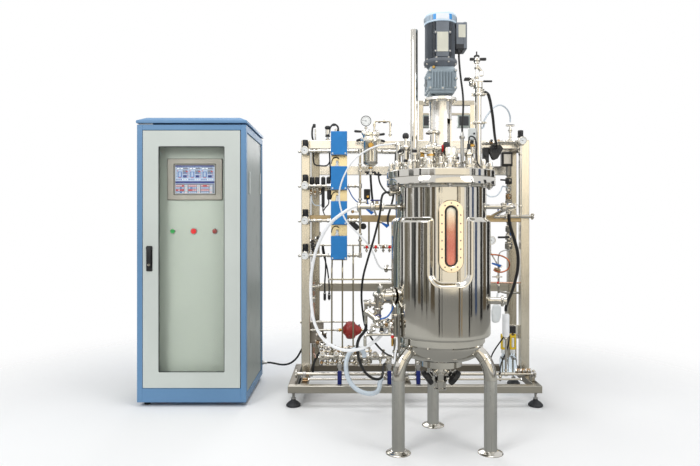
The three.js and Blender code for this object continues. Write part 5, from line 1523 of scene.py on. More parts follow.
def arc_wall(inner, outer, start, end, low, high, steps=24):
    """An upright curved wall between two angles in degrees."""
    turns = [math.radians(start + (end - start) * i / steps) for i in range(steps + 1)]
    outline = [(outer * math.cos(t), outer * math.sin(t)) for t in turns]
    outline += [(inner * math.cos(t), inner * math.sin(t)) for t in reversed(turns)]
    return slab(outline, low, high, 0.5)


def stool():
    made = Piece("drive_stool", vessel)
    low, top = 1244.6, 1580
    window_low, window_high = low + 70, 1483
    lower = [(45, low), (65, low), (67, low + 2), (67, low + 10), (65, low + 12), (54, low + 12.6),
        (51, low + 16), (51, window_low), (45, window_low)]
    upper = [(45, window_high), (51, window_high), (51, top - 20), (54, top - 15), (74.5, top - 14),
        (76, top - 12), (76, top - 1.5), (74.5, top), (45, top)]
    # The stool's near-white steel is a painted reflection of the bright surroundings.
    made.add(pale_steel, lathe(lower, 72), lathe(upper, 72), arc_wall(45, 51, -7, 117, window_low - 0.6,
        window_high + 0.6), arc_wall(45, 51, 173, 297, window_low - 0.6, window_high + 0.6))
    for k in range(8):
        turn = 22.5 + 45 * k
        made.add(bright_steel, nut(around(turn, 59.5, low + 12), UP, 11, 8),
            nut(around(turn, 66, top - 14), DOWN, 12, 9))
    made.place("motor_stool")


def shaft_and_turbines():
    made = Piece("shaft_and_turbines", vessel)
    made.add(mirror_steel, post(0, 0, 440, 1633, 12.5, edge=2, sides=36))
    coupling = rounded([(0, 1433), (27, 1433), (30, 1436), (30, 1465), (24, 1468), (24, 1470), (30, 1473),
        (30, 1500), (27, 1503), (0, 1503)], 2, closed=False, steps=2)
    made.add(bright_steel, lathe(coupling, 40))
    for k in range(4):
        turn = 45 + 90 * k
        made.add(zinc, nut(around(turn, 28, 1450), around(turn, 1, 0), 8, 2),
            nut(around(turn, 28, 1487), around(turn, 1, 0), 8, 2))
    for height in (520, 800):
        made.add(mirror_steel, lathe([(12, height - 16), (22, height - 16), (24, height - 14),
            (24, height - 2), (50, height - 2), (50, height + 2), (24, height + 2), (24, height + 14),
            (22, height + 16), (12, height + 16)], 48))
        blade = block((34, 68), (-1.5, 1.5), (height - 14, height + 14), 0.6)
        made.add(bright_steel, *circled(blade, Matrix(), 6))
    made.place("agitator", body="stirrer")


def gear_case():
    """Cast gear case: a ribbed body with bolt lobes, a tapered skirt and a narrow neck."""
    made = Piece("gear_case", vessel)
    low, high = 1580.3, 1716.3
    body_low, body_high = low + 27, high - 14
    outline = rounded([(-58, -66), (58, -66), (64, -56), (64, 62), (56, 72), (-56, 72), (-64, 62),
        (-64, -56)], 8, steps=3)
    made.add(gear_enamel, slab(outline, body_low, body_high, 3),
        loft([at_height(inset(outline, 22), low + 12), at_height(inset(outline, 9), low + 16),
        at_height(inset(outline, 5), body_low + 1)]), loft([at_height(inset(outline, 2), body_high - 2),
        at_height(inset(outline, 9), high - 4), at_height(inset(outline, 12), high)]), lathe([(12.8, low),
        (39, low), (40, low + 1.5), (36, low + 9), (38, low + 18), (12.8, low + 18)], 48))
    for k in range(8):
        x = -46 + 92 * k / 7
        made.add(gear_enamel, block((x - 2.6, x + 2.6), (-74.6, -60), (body_low + 9, body_high - 10), 2.2),
            block((x - 2.6, x + 2.6), (60, 74.6), (body_low + 9, body_high - 10), 2.2))
    for y in (-40, -16, 16, 40):
        for side in (-1, 1):
            made.add(gear_enamel, block((side * 58, side * 66.8), (y - 3, y + 3),
                (body_low + 9, body_high - 10), 2.2))
    for x, z in ((-56, body_low + 9), (0, body_low + 7), (56, body_low + 9), (-58, body_high - 9),
            (58, body_high - 9), (60, body_low + 50), (-60, body_low + 52)):
        for side in (-1, 1):
            made.add(gear_enamel, peg(x, side * 52, side * 73.4, z, 8.6 if abs(x) < 57 else 6.8, edge=2))
            made.add(zinc, nut((x, side * 72.6, z), (0, side, 0), 8, 2.2))
    made.add(brass, nut((-38, -58, high - 7), (-0.3, -1, 0.3), 13, 7))
    cover = lathe([(0, 0), (22, 0), (24, 1), (23, 2.2), (0, 2.6)], 36)
    made.add(soft_black, moved(cover, aimed((-64.2, 0, 1648), LEFT)))
    made.place("gearbox", slot="gearbox_paint")


def motor():
    made = Piece("motor_body", vessel)
    low, cowl_low = 1716.6, 1922.6
    flange = [(0, low), (55, low), (58, low + 3), (70, low + 17), (75, low + 21), (76, low + 24),
        (76, low + 33), (74.5, low + 35), (0, low + 35)]
    made.add(motor_enamel, lathe(flange, 64), post(0, 0, low + 28, cowl_low + 1, 62, sides=64))
    for k in range(60):
        turn = 6 * k
        ahead = abs((turn - 270 + 180) % 360 - 180)
        side = abs((turn + 180) % 360 - 180)
        if ahead > 24 and side > 26:
            fin = block((59, 70.6), (-1.1, 1.1), (low + 36, cowl_low - 3), 0.6)
            made.add(motor_enamel, moved(fin, spun(turn)))
    made.add(motor_enamel, block((-29, 29), (-70, -40), (low + 38, cowl_low - 6), 3),
        block((-64, 64), (-30, 30), (low + 34, low + 44), 2))
    for x in (-32, 32):
        for z in (low + 64, low + 148):
            made.add(motor_enamel, peg(x, -50, -72.4, z, 6.4, edge=1.6))
            made.add(zinc, nut((x, -72, z), FRONT, 7, 2))
    made.add(blank_plate, block((-25, 25), (-71.6, -69.5), (low + 62, low + 150), 0.5))
    # Dark strips in the fin grooves either side of the front pad: painted shade.
    made.add(soft_black, *[block((s * 36, s * 40), (-62.6, -50), (low + 44, cowl_low - 8), 1)
        for s in (-1, 1)])
    for k in range(8):
        turn = 22.5 + 45 * k
        made.add(zinc, nut(around(turn, 69, low + 34.6), UP, 10, 7),
            nut(around(turn, 69.5, low + 21), DOWN, 10, 7))
    made.place("drive_motor", slot="motor_paint")

    cowl = Piece("motor_cowl", vessel)
    dome = [(0, cowl_low - 6), (73, cowl_low - 6), (74, cowl_low - 5), (74, cowl_low + 26),
        (72, cowl_low + 34), (66, cowl_low + 40.5), (54, cowl_low + 44.6), (34, cowl_low + 46.4),
        (0, cowl_low + 47)]
    # The cowl's bluish white is a painted reflection.
    cowl.add(cowl_enamel, lathe(dome, 64), arc_wall(73, 74.5, 150, 238, cowl_low + 3, cowl_low + 24),
        arc_wall(73, 74.5, 302, 390, cowl_low + 3, cowl_low + 24))
    cowl.add(cowl_label, arc_wall(73, 74.9, 244, 296, cowl_low + 1.5, cowl_low + 26))
    cowl.add(label_blue, arc_wall(73, 75.1, 236, 247, cowl_low + 1.5, cowl_low + 26),
        arc_wall(73, 75.1, 293, 304, cowl_low + 1.5, cowl_low + 26))
    for k in range(14):
        cowl.add(motor_enamel, arc_wall(72.8, 75.2, 152 + 6.2 * k, 153.6 + 6.2 * k, cowl_low + 2,
            cowl_low + 25, 2), arc_wall(72.8, 75.2, 305 + 6.2 * k, 306.6 + 6.2 * k, cowl_low + 2,
            cowl_low + 25, 2))
    for k in range(9):
        for ring in (22, 34, 46):
            cowl.add(soft_black, bar(around(40 * k + ring, ring, cowl_low + 43.4 + (2 if ring < 40 else 0)),
                around(40 * k + ring, ring, cowl_low + 46.9 - (0.9 if ring > 40 else 0)), 3, sides=10))
    for k in range(4):
        cowl.add(zinc, screw(around(45 + 90 * k, 73.2, cowl_low + 1), around(45 + 90 * k, 1, 0), 3, 0.8))
    cowl.place(slot="motor_paint")

    box = Piece("terminal_box", vessel)
    box_low = cowl_low - 126
    box.add(motor_enamel, moved(slab(oblong(82, 122, 6), 0, 34, 1.5), aimed((66, 0, box_low + 63), RIGHT)),
        moved(slab(oblong(84, 126, 7), 32, 49, 3), aimed((66, 0, box_low + 63), RIGHT)), block((50, 70),
        (-26, 26), (box_low + 20, cowl_low - 20), 2))
    box.add(blank_plate, block((76, 108), (-42.3, -41), (box_low + 54, box_low + 112), 0.4))
    box.add(soft_black, block((64, 114.6), (-41.4, 41.4), (box_low + 0.6, box_low + 27), 3))
    for y in (-36, 36):
        for z in (box_low + 8, cowl_low - 8):
            box.add(zinc, screw((114, y, z), RIGHT, 3.4, 0.9))
    box.add(soft_black, nut((80, -29, box_low + 1), DOWN, 18, 6),
        post(80, -29, box_low - 4, box_low - 13.6, 8, 6.4))
    box.place(slot="motor_paint")


blank_plate = moulded("blank_plate", tint(214, 212, 196), 0.35, 0.00002, 300)
cowl_label = moulded("cowl_label", tint(240, 244, 248), 0.35, 0.00002, 300)
label_blue = moulded("label_blue", tint(40, 150, 224), 0.35, 0.00002, 300)


def columns():
    made = Piece("condenser_column", vessel)
    made.add(mirror_steel, turned([(0, 1244.6), (17, 1244.6), (18, 1246), (18, 1893), (16.5, 1897.4),
        (12, 1899), (0, 1899)], at(-121, 0, 0), 40))
    made.add(bright_steel, *clamp((-121, 0, 1254), UP, 30, FRONT))
    made.add(mirror_steel, bar((-121, 0, 1330), (-121, -30, 1344), 7), rail(-121, -139, 0, 1850, 6))
    made.add(bright_steel, nut((-121, -28, 1343), (0, -1, 0.45), 16, 8))
    made.place("left_column")

    vent = Piece("vent_column", vessel)
    x, tee = 173, 1647
    vent.add(mirror_steel, post(x, 0, 1244.6, 1649, 15.8, sides=36), rail(x - 34, x + 6, 0, tee + 4, 10.5),
        bar((x, 0, tee - 16), (x + 22, 0, tee - 29.5), 8.6), post(x - 6, 0, tee, tee + 104, 5.8),
        turned([(0, 0), (20, 0), (22, 2), (22, 24), (19, 26), (0, 26)], at(x, 0, tee - 18), 36))
    vent.add(bright_steel, *clamp((x, 0, 1254), UP, 30, FRONT), *clamp((x, 0, 1470), UP, 24, FRONT),
        *clamp((x, 0, 1600), UP, 24, FRONT), *clamp((x - 27, 0, tee + 4), RIGHT, 16, width=10),
        nut((x + 18, 0, tee - 27), (12, 0, -7.2), 19, 8), bar((x + 24, 0, tee - 30.6),
        (x + 29.6, 0, tee - 33.8), 8, 6.4), peg(x, -8, -16, tee + 4, 6), block((x - 3, x + 59),
        (-16.8, -13.4), (tee + 8.4, tee + 13.6), 1.2), nut((x - 6, 0, tee + 26), UP, 18, 10),
        nut((x - 6, 0, tee + 70), UP, 18, 10), turned([(0, 0), (11, 0), (13, 2), (13, 18), (10, 22),
        (0, 22)], at(x - 6, 0, tee + 96), 28))
    vent.add(black_plastic, block((x + 20, x + 62), (-19, -11.6), (tee + 6.6, tee + 15.4), 2.6),
        post(x - 6, 0, tee + 122, tee + 134, 13, edge=3),
        moved(slab(rounded([(-20, -7), (20, -7), (16, 7), (-16, 7)], 4), -9, 9, 3),
        at(x - 46, 0, tee + 24) @ Matrix.Rotation(math.radians(90), 4, "X")))
    vent.add(bright_steel, ball((x - 6, 0, tee + 112), 17), post(x - 34, 0, tee + 4, tee + 34, 9, edge=2),
        ball((x - 28, 0, tee + 4), 15), bar((x - 6, 0, tee + 88), (x + 16, 0, tee + 60), 7, edge=2),
        post(x + 16, 0, tee + 62, tee + 38, 9, edge=2))
    wing = [(-38, -5), (-30, -7), (-8, -4), (8, -4), (30, -7), (38, -5), (38, 5), (30, 7), (8, 5), (-8, 5),
        (-30, 7), (-38, 5)]
    vent.add(black_plastic, moved(slab(rounded(wing, 2.4), -6, 6, 2),
        at(x, 0, tee + 116)), post(x - 6, 0, tee + 110, tee + 151.6, 3.8, 3),
        nut((x - 6, 0, tee + 119), UP, 12, 6))
    vent.place("right_column")


lid()
stool()
shaft_and_turbines()
gear_case()
motor()
columns()


# -------------------------------------------------------------------- the piping skid

# A darker copy of the brushed steel for the rear rail, the base cross members and the top side beams: painted shade.
cross_steel = brushed("cross_steel", tint(122, 116, 106), (1, 0.02, 1), 0.32)
beam_steel = brushed("beam_steel", tint(186, 166, 132), (0.02, 1, 1), 0.34)
riser_steel = brushed("riser_steel", tint(166, 158, 136), (1, 1, 0.03), 0.26)
dark_plate = painted("dark_plate", tint(150, 142, 130), 0.5)
cream_steel = brushed("cream_steel", tint(244, 226, 184), (1, 1, 0.03), 0.26)


def skid_base():
    made = Piece("base_frame", skid)
    # The rear rail is drawn in the darker steel, the front one in the lighter: painted shade.
    for y in (0, 460):
        made.add(cross_steel if y else level_steel, block((0, 1390), (y, y + 40), (80, 120), 2.2))
    for x in (0, 62, 640, 1350):
        made.add(cross_steel, block((x + 0.2, x + 39.8), (39.6, 460.4), (80.3, 119.7), 2))
        for y in (42.5, 457.5):
            made.add(dull_steel, rail(x + 3, x + 37, y, 120, 1.5, sides=8))
    for x in (28, 1364):
        for y in (38, 470):
            pad = lathe([(0, 0), (37, 0), (40, 3), (40, 9), (36, 15), (26, 24), (15, 31), (12, 36),
                (12, 40), (0, 40)], 40)
            made.add(soft_black, moved(pad, at(x, y, 0)))
            made.add(zinc, threaded((x, y, 38), (x, y, 80.6), 7.6), nut((x, y, 40), UP, 24, 7),
                nut((x, y, 71), UP, 24, 9.4))
    made.place("skid_base", slot="brushed_steel")


def rack():
    made = Piece("rack_uprights", skid)
    # The rear posts take the darker copy of the post steel: painted shade.
    for x, y, finish in ((57, 215, upright_steel), (1335, 215, upright_steel), (100, 440, rear_steel),
            (1325, 440, rear_steel)):
        made.add(finish, block((x, x + 50), (y, y + 50), (120.3, 1492), 2.6))
        made.add(dull_steel, block((x + 3, x + 47), (y + 3, y + 47), (1490.5, 1492.8), 1))
    made.add(pale_steel, block((106.6, 1335.4), (215.2, 264.8), (1442.3, 1491.7), 2.4),
        block((149.6, 1325.4), (440.2, 489.8), (1442.3, 1491.7), 2.4))
    made.add(beam_steel, block((106.6, 1335.4), (215.2, 264.8), (1015, 1055), 2.2))
    made.add(pale_steel, block((149.6, 1325.4), (440.2, 489.8), (1308, 1362), 2.4))
    made.add(level_steel, block((149.6, 1325.4), (440.2, 489.8), (585, 635), 2.4))
    # Top side beams in the darker steel: painted shade.
    made.add(cross_steel, block((100.3, 149.7), (264.6, 440.4), (1442.4, 1491.6), 2.2),
        block((1335.3, 1384.7), (264.6, 440.4), (1442.4, 1491.6), 2.2))
    for x, z in ((107, 1442), (107, 1491), (1335, 1442), (1335, 1491), (107, 1015), (1335, 1015),
            (107, 1055), (1335, 1055)):
        made.add(dull_steel, peg(x, 217, 263, z, 1.6, sides=8))
    made.place("rack_frame", slot="brushed_steel")

    strip = Piece("flow_box_strip", skid)
    strip.add(cream_steel, block((231, 323), (211, 215.6), (792, 1480), 0.8))
    for z in (1068, 1268):
        for x in (239, 315):
            strip.add(zinc, screw((x, 211, z), FRONT, 3.6, 1.6))
    strip.place(slot="brushed_steel")

    mast = Piece("raised_frame", skid)
    for x in (765, 1085):
        mast.add(upright_steel, block((x, x + 30), (440.3, 470), (1491, 1769.6), 2))
    mast.add(level_steel, block((765.3, 1114.7), (440, 469.7), (1740, 1770), 2),
        block((765.3, 1114.7), (440.4, 464), (1680, 1692), 1.2))
    mast.add(side_paint, block((790, 850), (440.2, 490), (1604, 1680.4), 2),
        block((1010, 1085), (440.2, 490), (1604, 1680.4), 2))
    for x0, x1 in ((790, 850), (1010, 1085)):
        mast.add(soft_black, block((x0 + 8, x1 - 8), (437.5, 440.6), (1614, 1672), 1.6))
        for x in (x0 + 14, x1 - 14):
            mast.add(zinc, screw((x, 437.6, 1608.5), FRONT, 3, 1.4))
    mast.place(slot="brushed_steel")

    box = Piece("junction_box", skid)
    box.add(dark_plate, block((106.6, 180), (251, 331), (300, 420), 3),
        block((177, 182), (255, 327), (304, 416), 1.5))
    box.add(soft_black, peg(125, 325, 347, 318, 10.6, 7.4), nut((125, 330, 318), BACK, 20, 6))
    box.place(slot="brushed_steel")


# The depth of the gas lines and of the posts' faces, and the rows of regulators and flow boxes.
gas_line, post_face = 181, 214.7
regulator_side, top_row, box_row, row_pitch = 82, 1423, 1467, 200


def gauge_parts(made, x, y, z, radius, depth, case=None):
    """Round gauge facing the front: its case, dial, divisions, pointer and glass."""
    spot = stood(x, y, z)
    case = case or bright_steel
    made.add(case, turned([(0, 0), (radius * 0.8, 0), (radius * 0.92, 2), (radius * 0.92, depth - 5),
        (radius, depth - 4), (radius, depth - 1), (radius - 1.2, depth), (radius - 2.6, depth),
        (radius - 3, depth - 2.4), (0, depth - 2.4)], spot, 40))
    made.add(dial_enamel, turned([(0, depth - 3), (radius - 3, depth - 3), (radius - 3, depth - 2),
        (0, depth - 2)], spot, 40))
    for k in range(11):
        turn = math.radians(-135 + 27 * k)
        inner, outer = radius * (0.62 if k % 5 else 0.56), radius * 0.76
        tick = [(inner * math.sin(turn), inner * math.cos(turn), depth - 1.9), (outer * math.sin(turn),
            outer * math.cos(turn), depth - 1.9)]
        made.add(soft_black, moved(bar(tick[0], tick[1], radius * 0.02, edge=0.1, sides=6), spot))
    needle = math.radians(-80)
    made.add(soft_black, moved(bar((0, 0, depth - 1.7), (radius * 0.66 * math.sin(needle),
        radius * 0.66 * math.cos(needle), depth - 1.7), radius * 0.035, radius * 0.015, 0.1, 8), spot),
        moved(post(0, 0, depth - 2.2, depth - 1.2, radius * 0.09, sides=16), spot))


def regulator(made, x, z):
    """Pressure regulator: body with its spring case, gauge, side ports and the bracket to the post."""
    made.add(bright_steel, turned([(0, -22), (17, -22), (20, -18), (22, -8), (22, 9), (20, 12), (16, 18),
        (15, 23), (0, 23)], at(x, gas_line, z), 32), post(x, gas_line, z + 22, z + 30, 8.8, edge=1),
        nut((x, gas_line, z + 13), UP, 26, 7), peg(x, 147, 160, z, 8), nut((x, 148, z), BACK, 15, 6),
        rail(x - 36, x - 20, gas_line, z - 2, 7), nut((x - 31, gas_line, z - 2), LEFT, 17, 8),
        nut((x + 20, gas_line, z), RIGHT, 22, 10), block((x - 12, x + 12), (gas_line, post_face),
        (z - 12, z + 10), 1.5))
    made.add(soft_black, ball((x - 37, gas_line, z - 2), 5))
    gauge_parts(made, x, 147, z, 23, 16)


def knob(number, x, z):
    made = Piece(f"knob_{number}_visual", skid)
    base = z + 23.3
    skirt = lathe([(9.4, 0), (17, 0), (18, 1.4), (18, 7.4), (16.6, 9), (9.4, 9)], 36)
    grip = fluted([(0, 8), (14.6, 8), (15.4, 10), (15.9, 38), (14.6, 41), (11, 42), (0, 42)], 54, 18, 0.025,
        12, 40)
    spot = at(x, gas_line, base)
    made.add(black_plastic, moved(skirt, spot), moved(grip, spot))
    made.add(zinc, moved(collar((0, 0, 41.6), UP, 3, 9, 0.8, 0.2, 24), spot))
    made.place(f"regulator_knob_{number}", body=f"knob_{number}", slot="black_plastic")


def flow_box(row):
    z = box_row - row_pitch * row
    made = Piece(f"flow_box_{row + 1}_case", skid)
    spot = stood(277, 210.7, z)
    made.add(flow_plastic, moved(slab(oblong(93, 135, 3), 0, 59, 1.6), spot),
        moved(slab(oblong(90, 132, 3), 58, 60, 0.8), spot))
    made.add(light_plastic, *[moved(screw((x, -59, 59.6), UP, 5, 1.4), spot) for x in (-37, 37)])
    made.add(dull_steel, block((237, 317), (151.5, 210), (z - 69.4, z - 67.2), 0.5))
    made.place(f"flow_box_{row + 1}", slot="flow_blue")


def gas_station():
    made = Piece("gas_lines", skid)
    for row in range(4):
        z = top_row - row_pitch * row
        regulator(made, regulator_side, z)
        made.add(mirror_steel, rail(100, 230, gas_line, z, 7.8), rail(324, 398, gas_line, z, 7.8))
        for x, across, width in ((128, 20, 12), (206, 22, 14), (222, 24, 8), (332, 24, 10), (352, 20, 12),
                (380, 21, 14)):
            made.add(bright_steel, nut((x, gas_line, z), RIGHT, across, width))
        made.add(mirror_steel, rail(150, 178, gas_line, z, 11, edge=2),
            rail(360, 374, gas_line, z, 11, edge=2))
        made.add(bright_steel, post(398, gas_line, z - 14, z + 14, 10.6, edge=2))
    made.add(warm_steel, post(398, gas_line, 811, 1435, 6.8))
    for z in (903, 1103, 1303):
        made.add(bright_steel, nut((398, gas_line, z), UP, 19, 12),
            nut((398, gas_line, z + 38), UP, 19, 10))
    made.place("gas_pipework")
    for row in range(4):
        flow_box(row)
        knob(row + 1, regulator_side, top_row - row_pitch * row)


# The depth and heights of the header's main and branch pipes, and the valves between them.
pipe_deep, main_high, branch_high = 120, 155, 252
lever_places, stem_high = (282, 560, 722, 858), 208


def ball_valve(made, x, depth, low, high, centre, finish):
    """Upright ball valve: its body with hexagon ends, the bonnet and the stem of its lever."""
    made.add(finish, post(x, depth, low, high, 8), post(x, depth, centre - 22, centre + 22, 15, edge=3),
        ball((x, depth, centre), 17.4, 24), nut((x, depth, centre - 34), UP, 27, 13),
        nut((x, depth, centre + 21), UP, 27, 13), peg(x, depth - 8, depth - 28, centre, 10.6, edge=2),
        nut((x, depth - 20, centre), FRONT, 19, 6))
    made.add(zinc, peg(x, depth - 27, depth - 38, centre, 4.7, edge=0.8))


def header():
    made = Piece("header_pipes", skid)
    made.add(mirror_steel, rail(32, 1384, pipe_deep, main_high, 9.8),
        rail(170, 900, pipe_deep, branch_high, 9.6), rail(110, 1300, 98, 131, 5.8))
    for x, out in ((36, -1), (1381, 1)):
        made.add(bright_steel, *clamp((x, pipe_deep, main_high), (out, 0, 0), 24, width=10))
    for x in (110, 1300):
        made.add(bright_steel, nut((x - 4, 98, 131), RIGHT, 17, 9))
    for x in (82, 660, 1370):
        made.add(level_steel, block((x - 9.6, x + 9.6), (92, 128), (120.3, 144.6), 1.5))
        made.add(zinc, collar((x, pipe_deep, main_high), RIGHT, 9.9, 13.4, 17, 1),
            post(x, 100, 126, 146, 3), nut((x, 104, 144), UP, 8, 4))
    for x in (170, 900):
        made.add(bright_steel, collar((x, pipe_deep, branch_high), RIGHT, 8, 13, 7, 2))
    for x in (237, 297):
        made.add(riser_steel, pipe([(x, pipe_deep, branch_high), (x, pipe_deep, 748), (x, 178, 776),
            (x, 178, 802)], 26, 4.5, 14))
    made.add(riser_steel, pipe([(358, pipe_deep, branch_high), (358, pipe_deep, 800), (358, 232, 880)], 30,
        4.5, 14), rail(216, 566, pipe_deep, 690, 4.4))
    for x in (237, 297, 358):
        made.add(bright_steel, nut((x, pipe_deep, 268), UP, 14, 9), nut((x, pipe_deep, 684), UP, 12, 12))
    made.add(bright_steel, nut((218, pipe_deep, 690), RIGHT, 13, 8),
        nut((558, pipe_deep, 690), RIGHT, 13, 8))
    stub = bent([(419, pipe_deep, branch_high), (419, 64, 238), (419, 64, 262)], 16)
    made.add(mirror_steel, swept(stub, 9, 20))
    made.add(bright_steel, nut((419, 64, 246), UP, 22, 8), nut((419, 100, 247), (0, -1, -0.25), 22, 9))
    made.add(mirror_steel, peg(534, pipe_deep, 60, main_high, 8.8, edge=2),
        bar((534, 64, main_high), (516, 33, 151), 8.8))
    made.add(bright_steel, nut((534, 100, main_high), FRONT, 24, 10), ball((534, 62, main_high), 10.4),
        nut((525, 49, 153), (-18, -31, -4), 20, 7))
    made.add(mirror_steel, bar((584, pipe_deep, branch_high), (572, 95, 262), 6),
        bar((552, 114, 228), (536, 81, 222), 6))
    made.add(bright_steel, nut((580, 112, 255), (-12, -25, 10), 18, 8),
        nut((548, 106, 226.6), (-16, -33, -6), 18, 8))
    made.add(mirror_steel, post(1222, pipe_deep, main_high, 366, 6))
    made.add(bright_steel, collar((1222, pipe_deep, main_high), RIGHT, 9.8, 13.4, 18, 2),
        nut((1222, pipe_deep, 172), UP, 17, 9), nut((1222, pipe_deep, 350), UP, 19, 10),
        post(1222, pipe_deep, 494, 510, 6))
    made.add(white_silicone, turned([(0, 364), (13, 364), (17, 368), (20, 376), (20, 448), (19.4, 450),
        (20, 452), (20, 488), (17, 494), (9, 497), (0, 497)], at(1222, pipe_deep, 0), 36))
    made.place("drain_header")

    valves = Piece("header_valves", skid)
    for x in lever_places:
        ball_valve(valves, x, 114, 158, 250, stem_high, bright_steel)
        valves.add(bright_steel, collar((x, pipe_deep, main_high), RIGHT, 9, 13.5, 30, 2),
            collar((x, pipe_deep, branch_high), RIGHT, 9, 13.5, 30, 2))
    valves.place()

    for i, x in enumerate(lever_places):
        lever = Piece(f"lever_{i + 1}_visual", skid)
        spot = at(x, 82, stem_high)
        ring = turned([(5.4, 0), (12, 0), (13, 1), (13, 4), (12, 5), (5.4, 5)], aimed((0, 0, 0), FRONT), 32)
        neck = [(-7.6, 2), (7.6, 2), (7.2, -24), (11, -34), (-11, -34), (-7.2, -24)]
        lever.add(zinc, moved(ring, spot), moved(slab(rounded(neck[::-1], 3), 0.4, 3.4, 0.6),
            spot @ stood(0, 0, 0)))
        grip = rounded([(-11, -24), (-12, -40), (-12, -104), (-8, -110), (8, -110), (12, -104), (12, -40),
            (11, -24)], 5)
        lever.add(grip_vinyl, moved(slab(grip, -2, 8, 2.6), spot @ stood(0, 0, 0)))
        lever.place(f"valve_lever_{i + 1}", body=f"lever_{i + 1}", slot="lever_blue")
    small_valves()


def small_valves():
    """Valve bodies on the branch pipe, with a plain made-up set of tees, elbows and unions between them."""
    made = Piece("branch_valves", skid)
    for x, width in ((186, 44), (262, 36), (338, 40), (480, 44)):
        low, high = x - width / 2, x + width / 2
        made.add(bright_steel, rail(low + 3, high - 3, pipe_deep, branch_high, 18, edge=4),
            nut((low, pipe_deep, branch_high), RIGHT, 32, 8),
            nut((high - 8, pipe_deep, branch_high), RIGHT, 32, 8))
        made.add(warm_steel, bar((x, 112, 258), (x, 82, 276), 11.6, edge=2),
            nut((x, 96, 268), (0, -30, 18), 22, 8), bar((x, 84, 275), (x, 76, 280), 5))
        made.add(bright_steel, collar((x, 79, 278), (0, -46, 30), 6, 15, 6, 2))
    for x, way in ((214, "down"), (310, "up"), (322, "down"), (376, "down"), (392, "up"), (446, "down"),
            (456, "up"), (512, "down"), (528, "up")):
        drop = -1 if way == "down" else 1
        turn, tip = (x, pipe_deep, branch_high + 34 * drop), (x, 97, branch_high + 40 * drop)
        made.add(warm_steel, pipe([(x, pipe_deep, branch_high), turn, tip], 9, 6, 16))
        made.add(bright_steel, rail(x - 10, x + 10, pipe_deep, branch_high, 13, edge=2.5),
            post(x, pipe_deep, branch_high, branch_high + 17 * drop, 9.4, edge=1.5),
            nut((x, pipe_deep, branch_high + 17 * drop), (0, 0, drop), 17, 7),
            nut((x, 106, branch_high + 37.6 * drop), (0, -23, 6 * drop), 16, 8))
    made.place()


def pump():
    made = Piece("pump_body", skid)
    axis = (237, 382)
    spot = aimed((0, *axis), RIGHT)
    profile = [(0, 291), (12, 291), (14, 293), (17, 298), (37, 315), (41, 316), (47, 319), (50.6, 325),
        (51.5, 332), (51.5, 354), (50.4, 362), (46, 368), (40, 371), (36, 372), (22, 398), (18, 404),
        (16, 405), (0, 405)]
    made.add(pump_enamel, turned(profile, spot, 56),
        turned([(48, 339), (52.4, 339.6), (52.4, 345.4), (48, 346)], spot, 56))
    made.add(brass, nut((274, *axis), RIGHT, 19, 9), rail(283, 292, *axis, 8.4),
        nut((404, *axis), RIGHT, 17, 8))
    made.add(mirror_steel, rail(107.4, 276, *axis, 5.8), rail(410, 420, *axis, 6))
    made.add(soft_black, post(390, 237, 396, 407, 9), bar((390, 237, 404), (396, 237, 414), 4.4))
    made.add(zinc, *circled(nut((48.4, 0, 338), DOWN, 7, 4), spot, 6, 30))
    made.add(bright_steel, nut((118, *axis), RIGHT, 18, 9), nut((262, *axis), RIGHT, 17, 10))
    made.place("circulation_pump", slot="pump_red")
    upper = Piece("pump_bypass", skid)
    upper.add(mirror_steel, pipe([(107.6, 237, 430), (330, 237, 430), (342, 237, 426)], 10, 5, 16),
        rail(57, 48, 237, 430, 9))
    upper.add(bright_steel, nut((118, 237, 430), RIGHT, 17, 9), nut((150, 237, 430), RIGHT, 18, 22))
    upper.place()


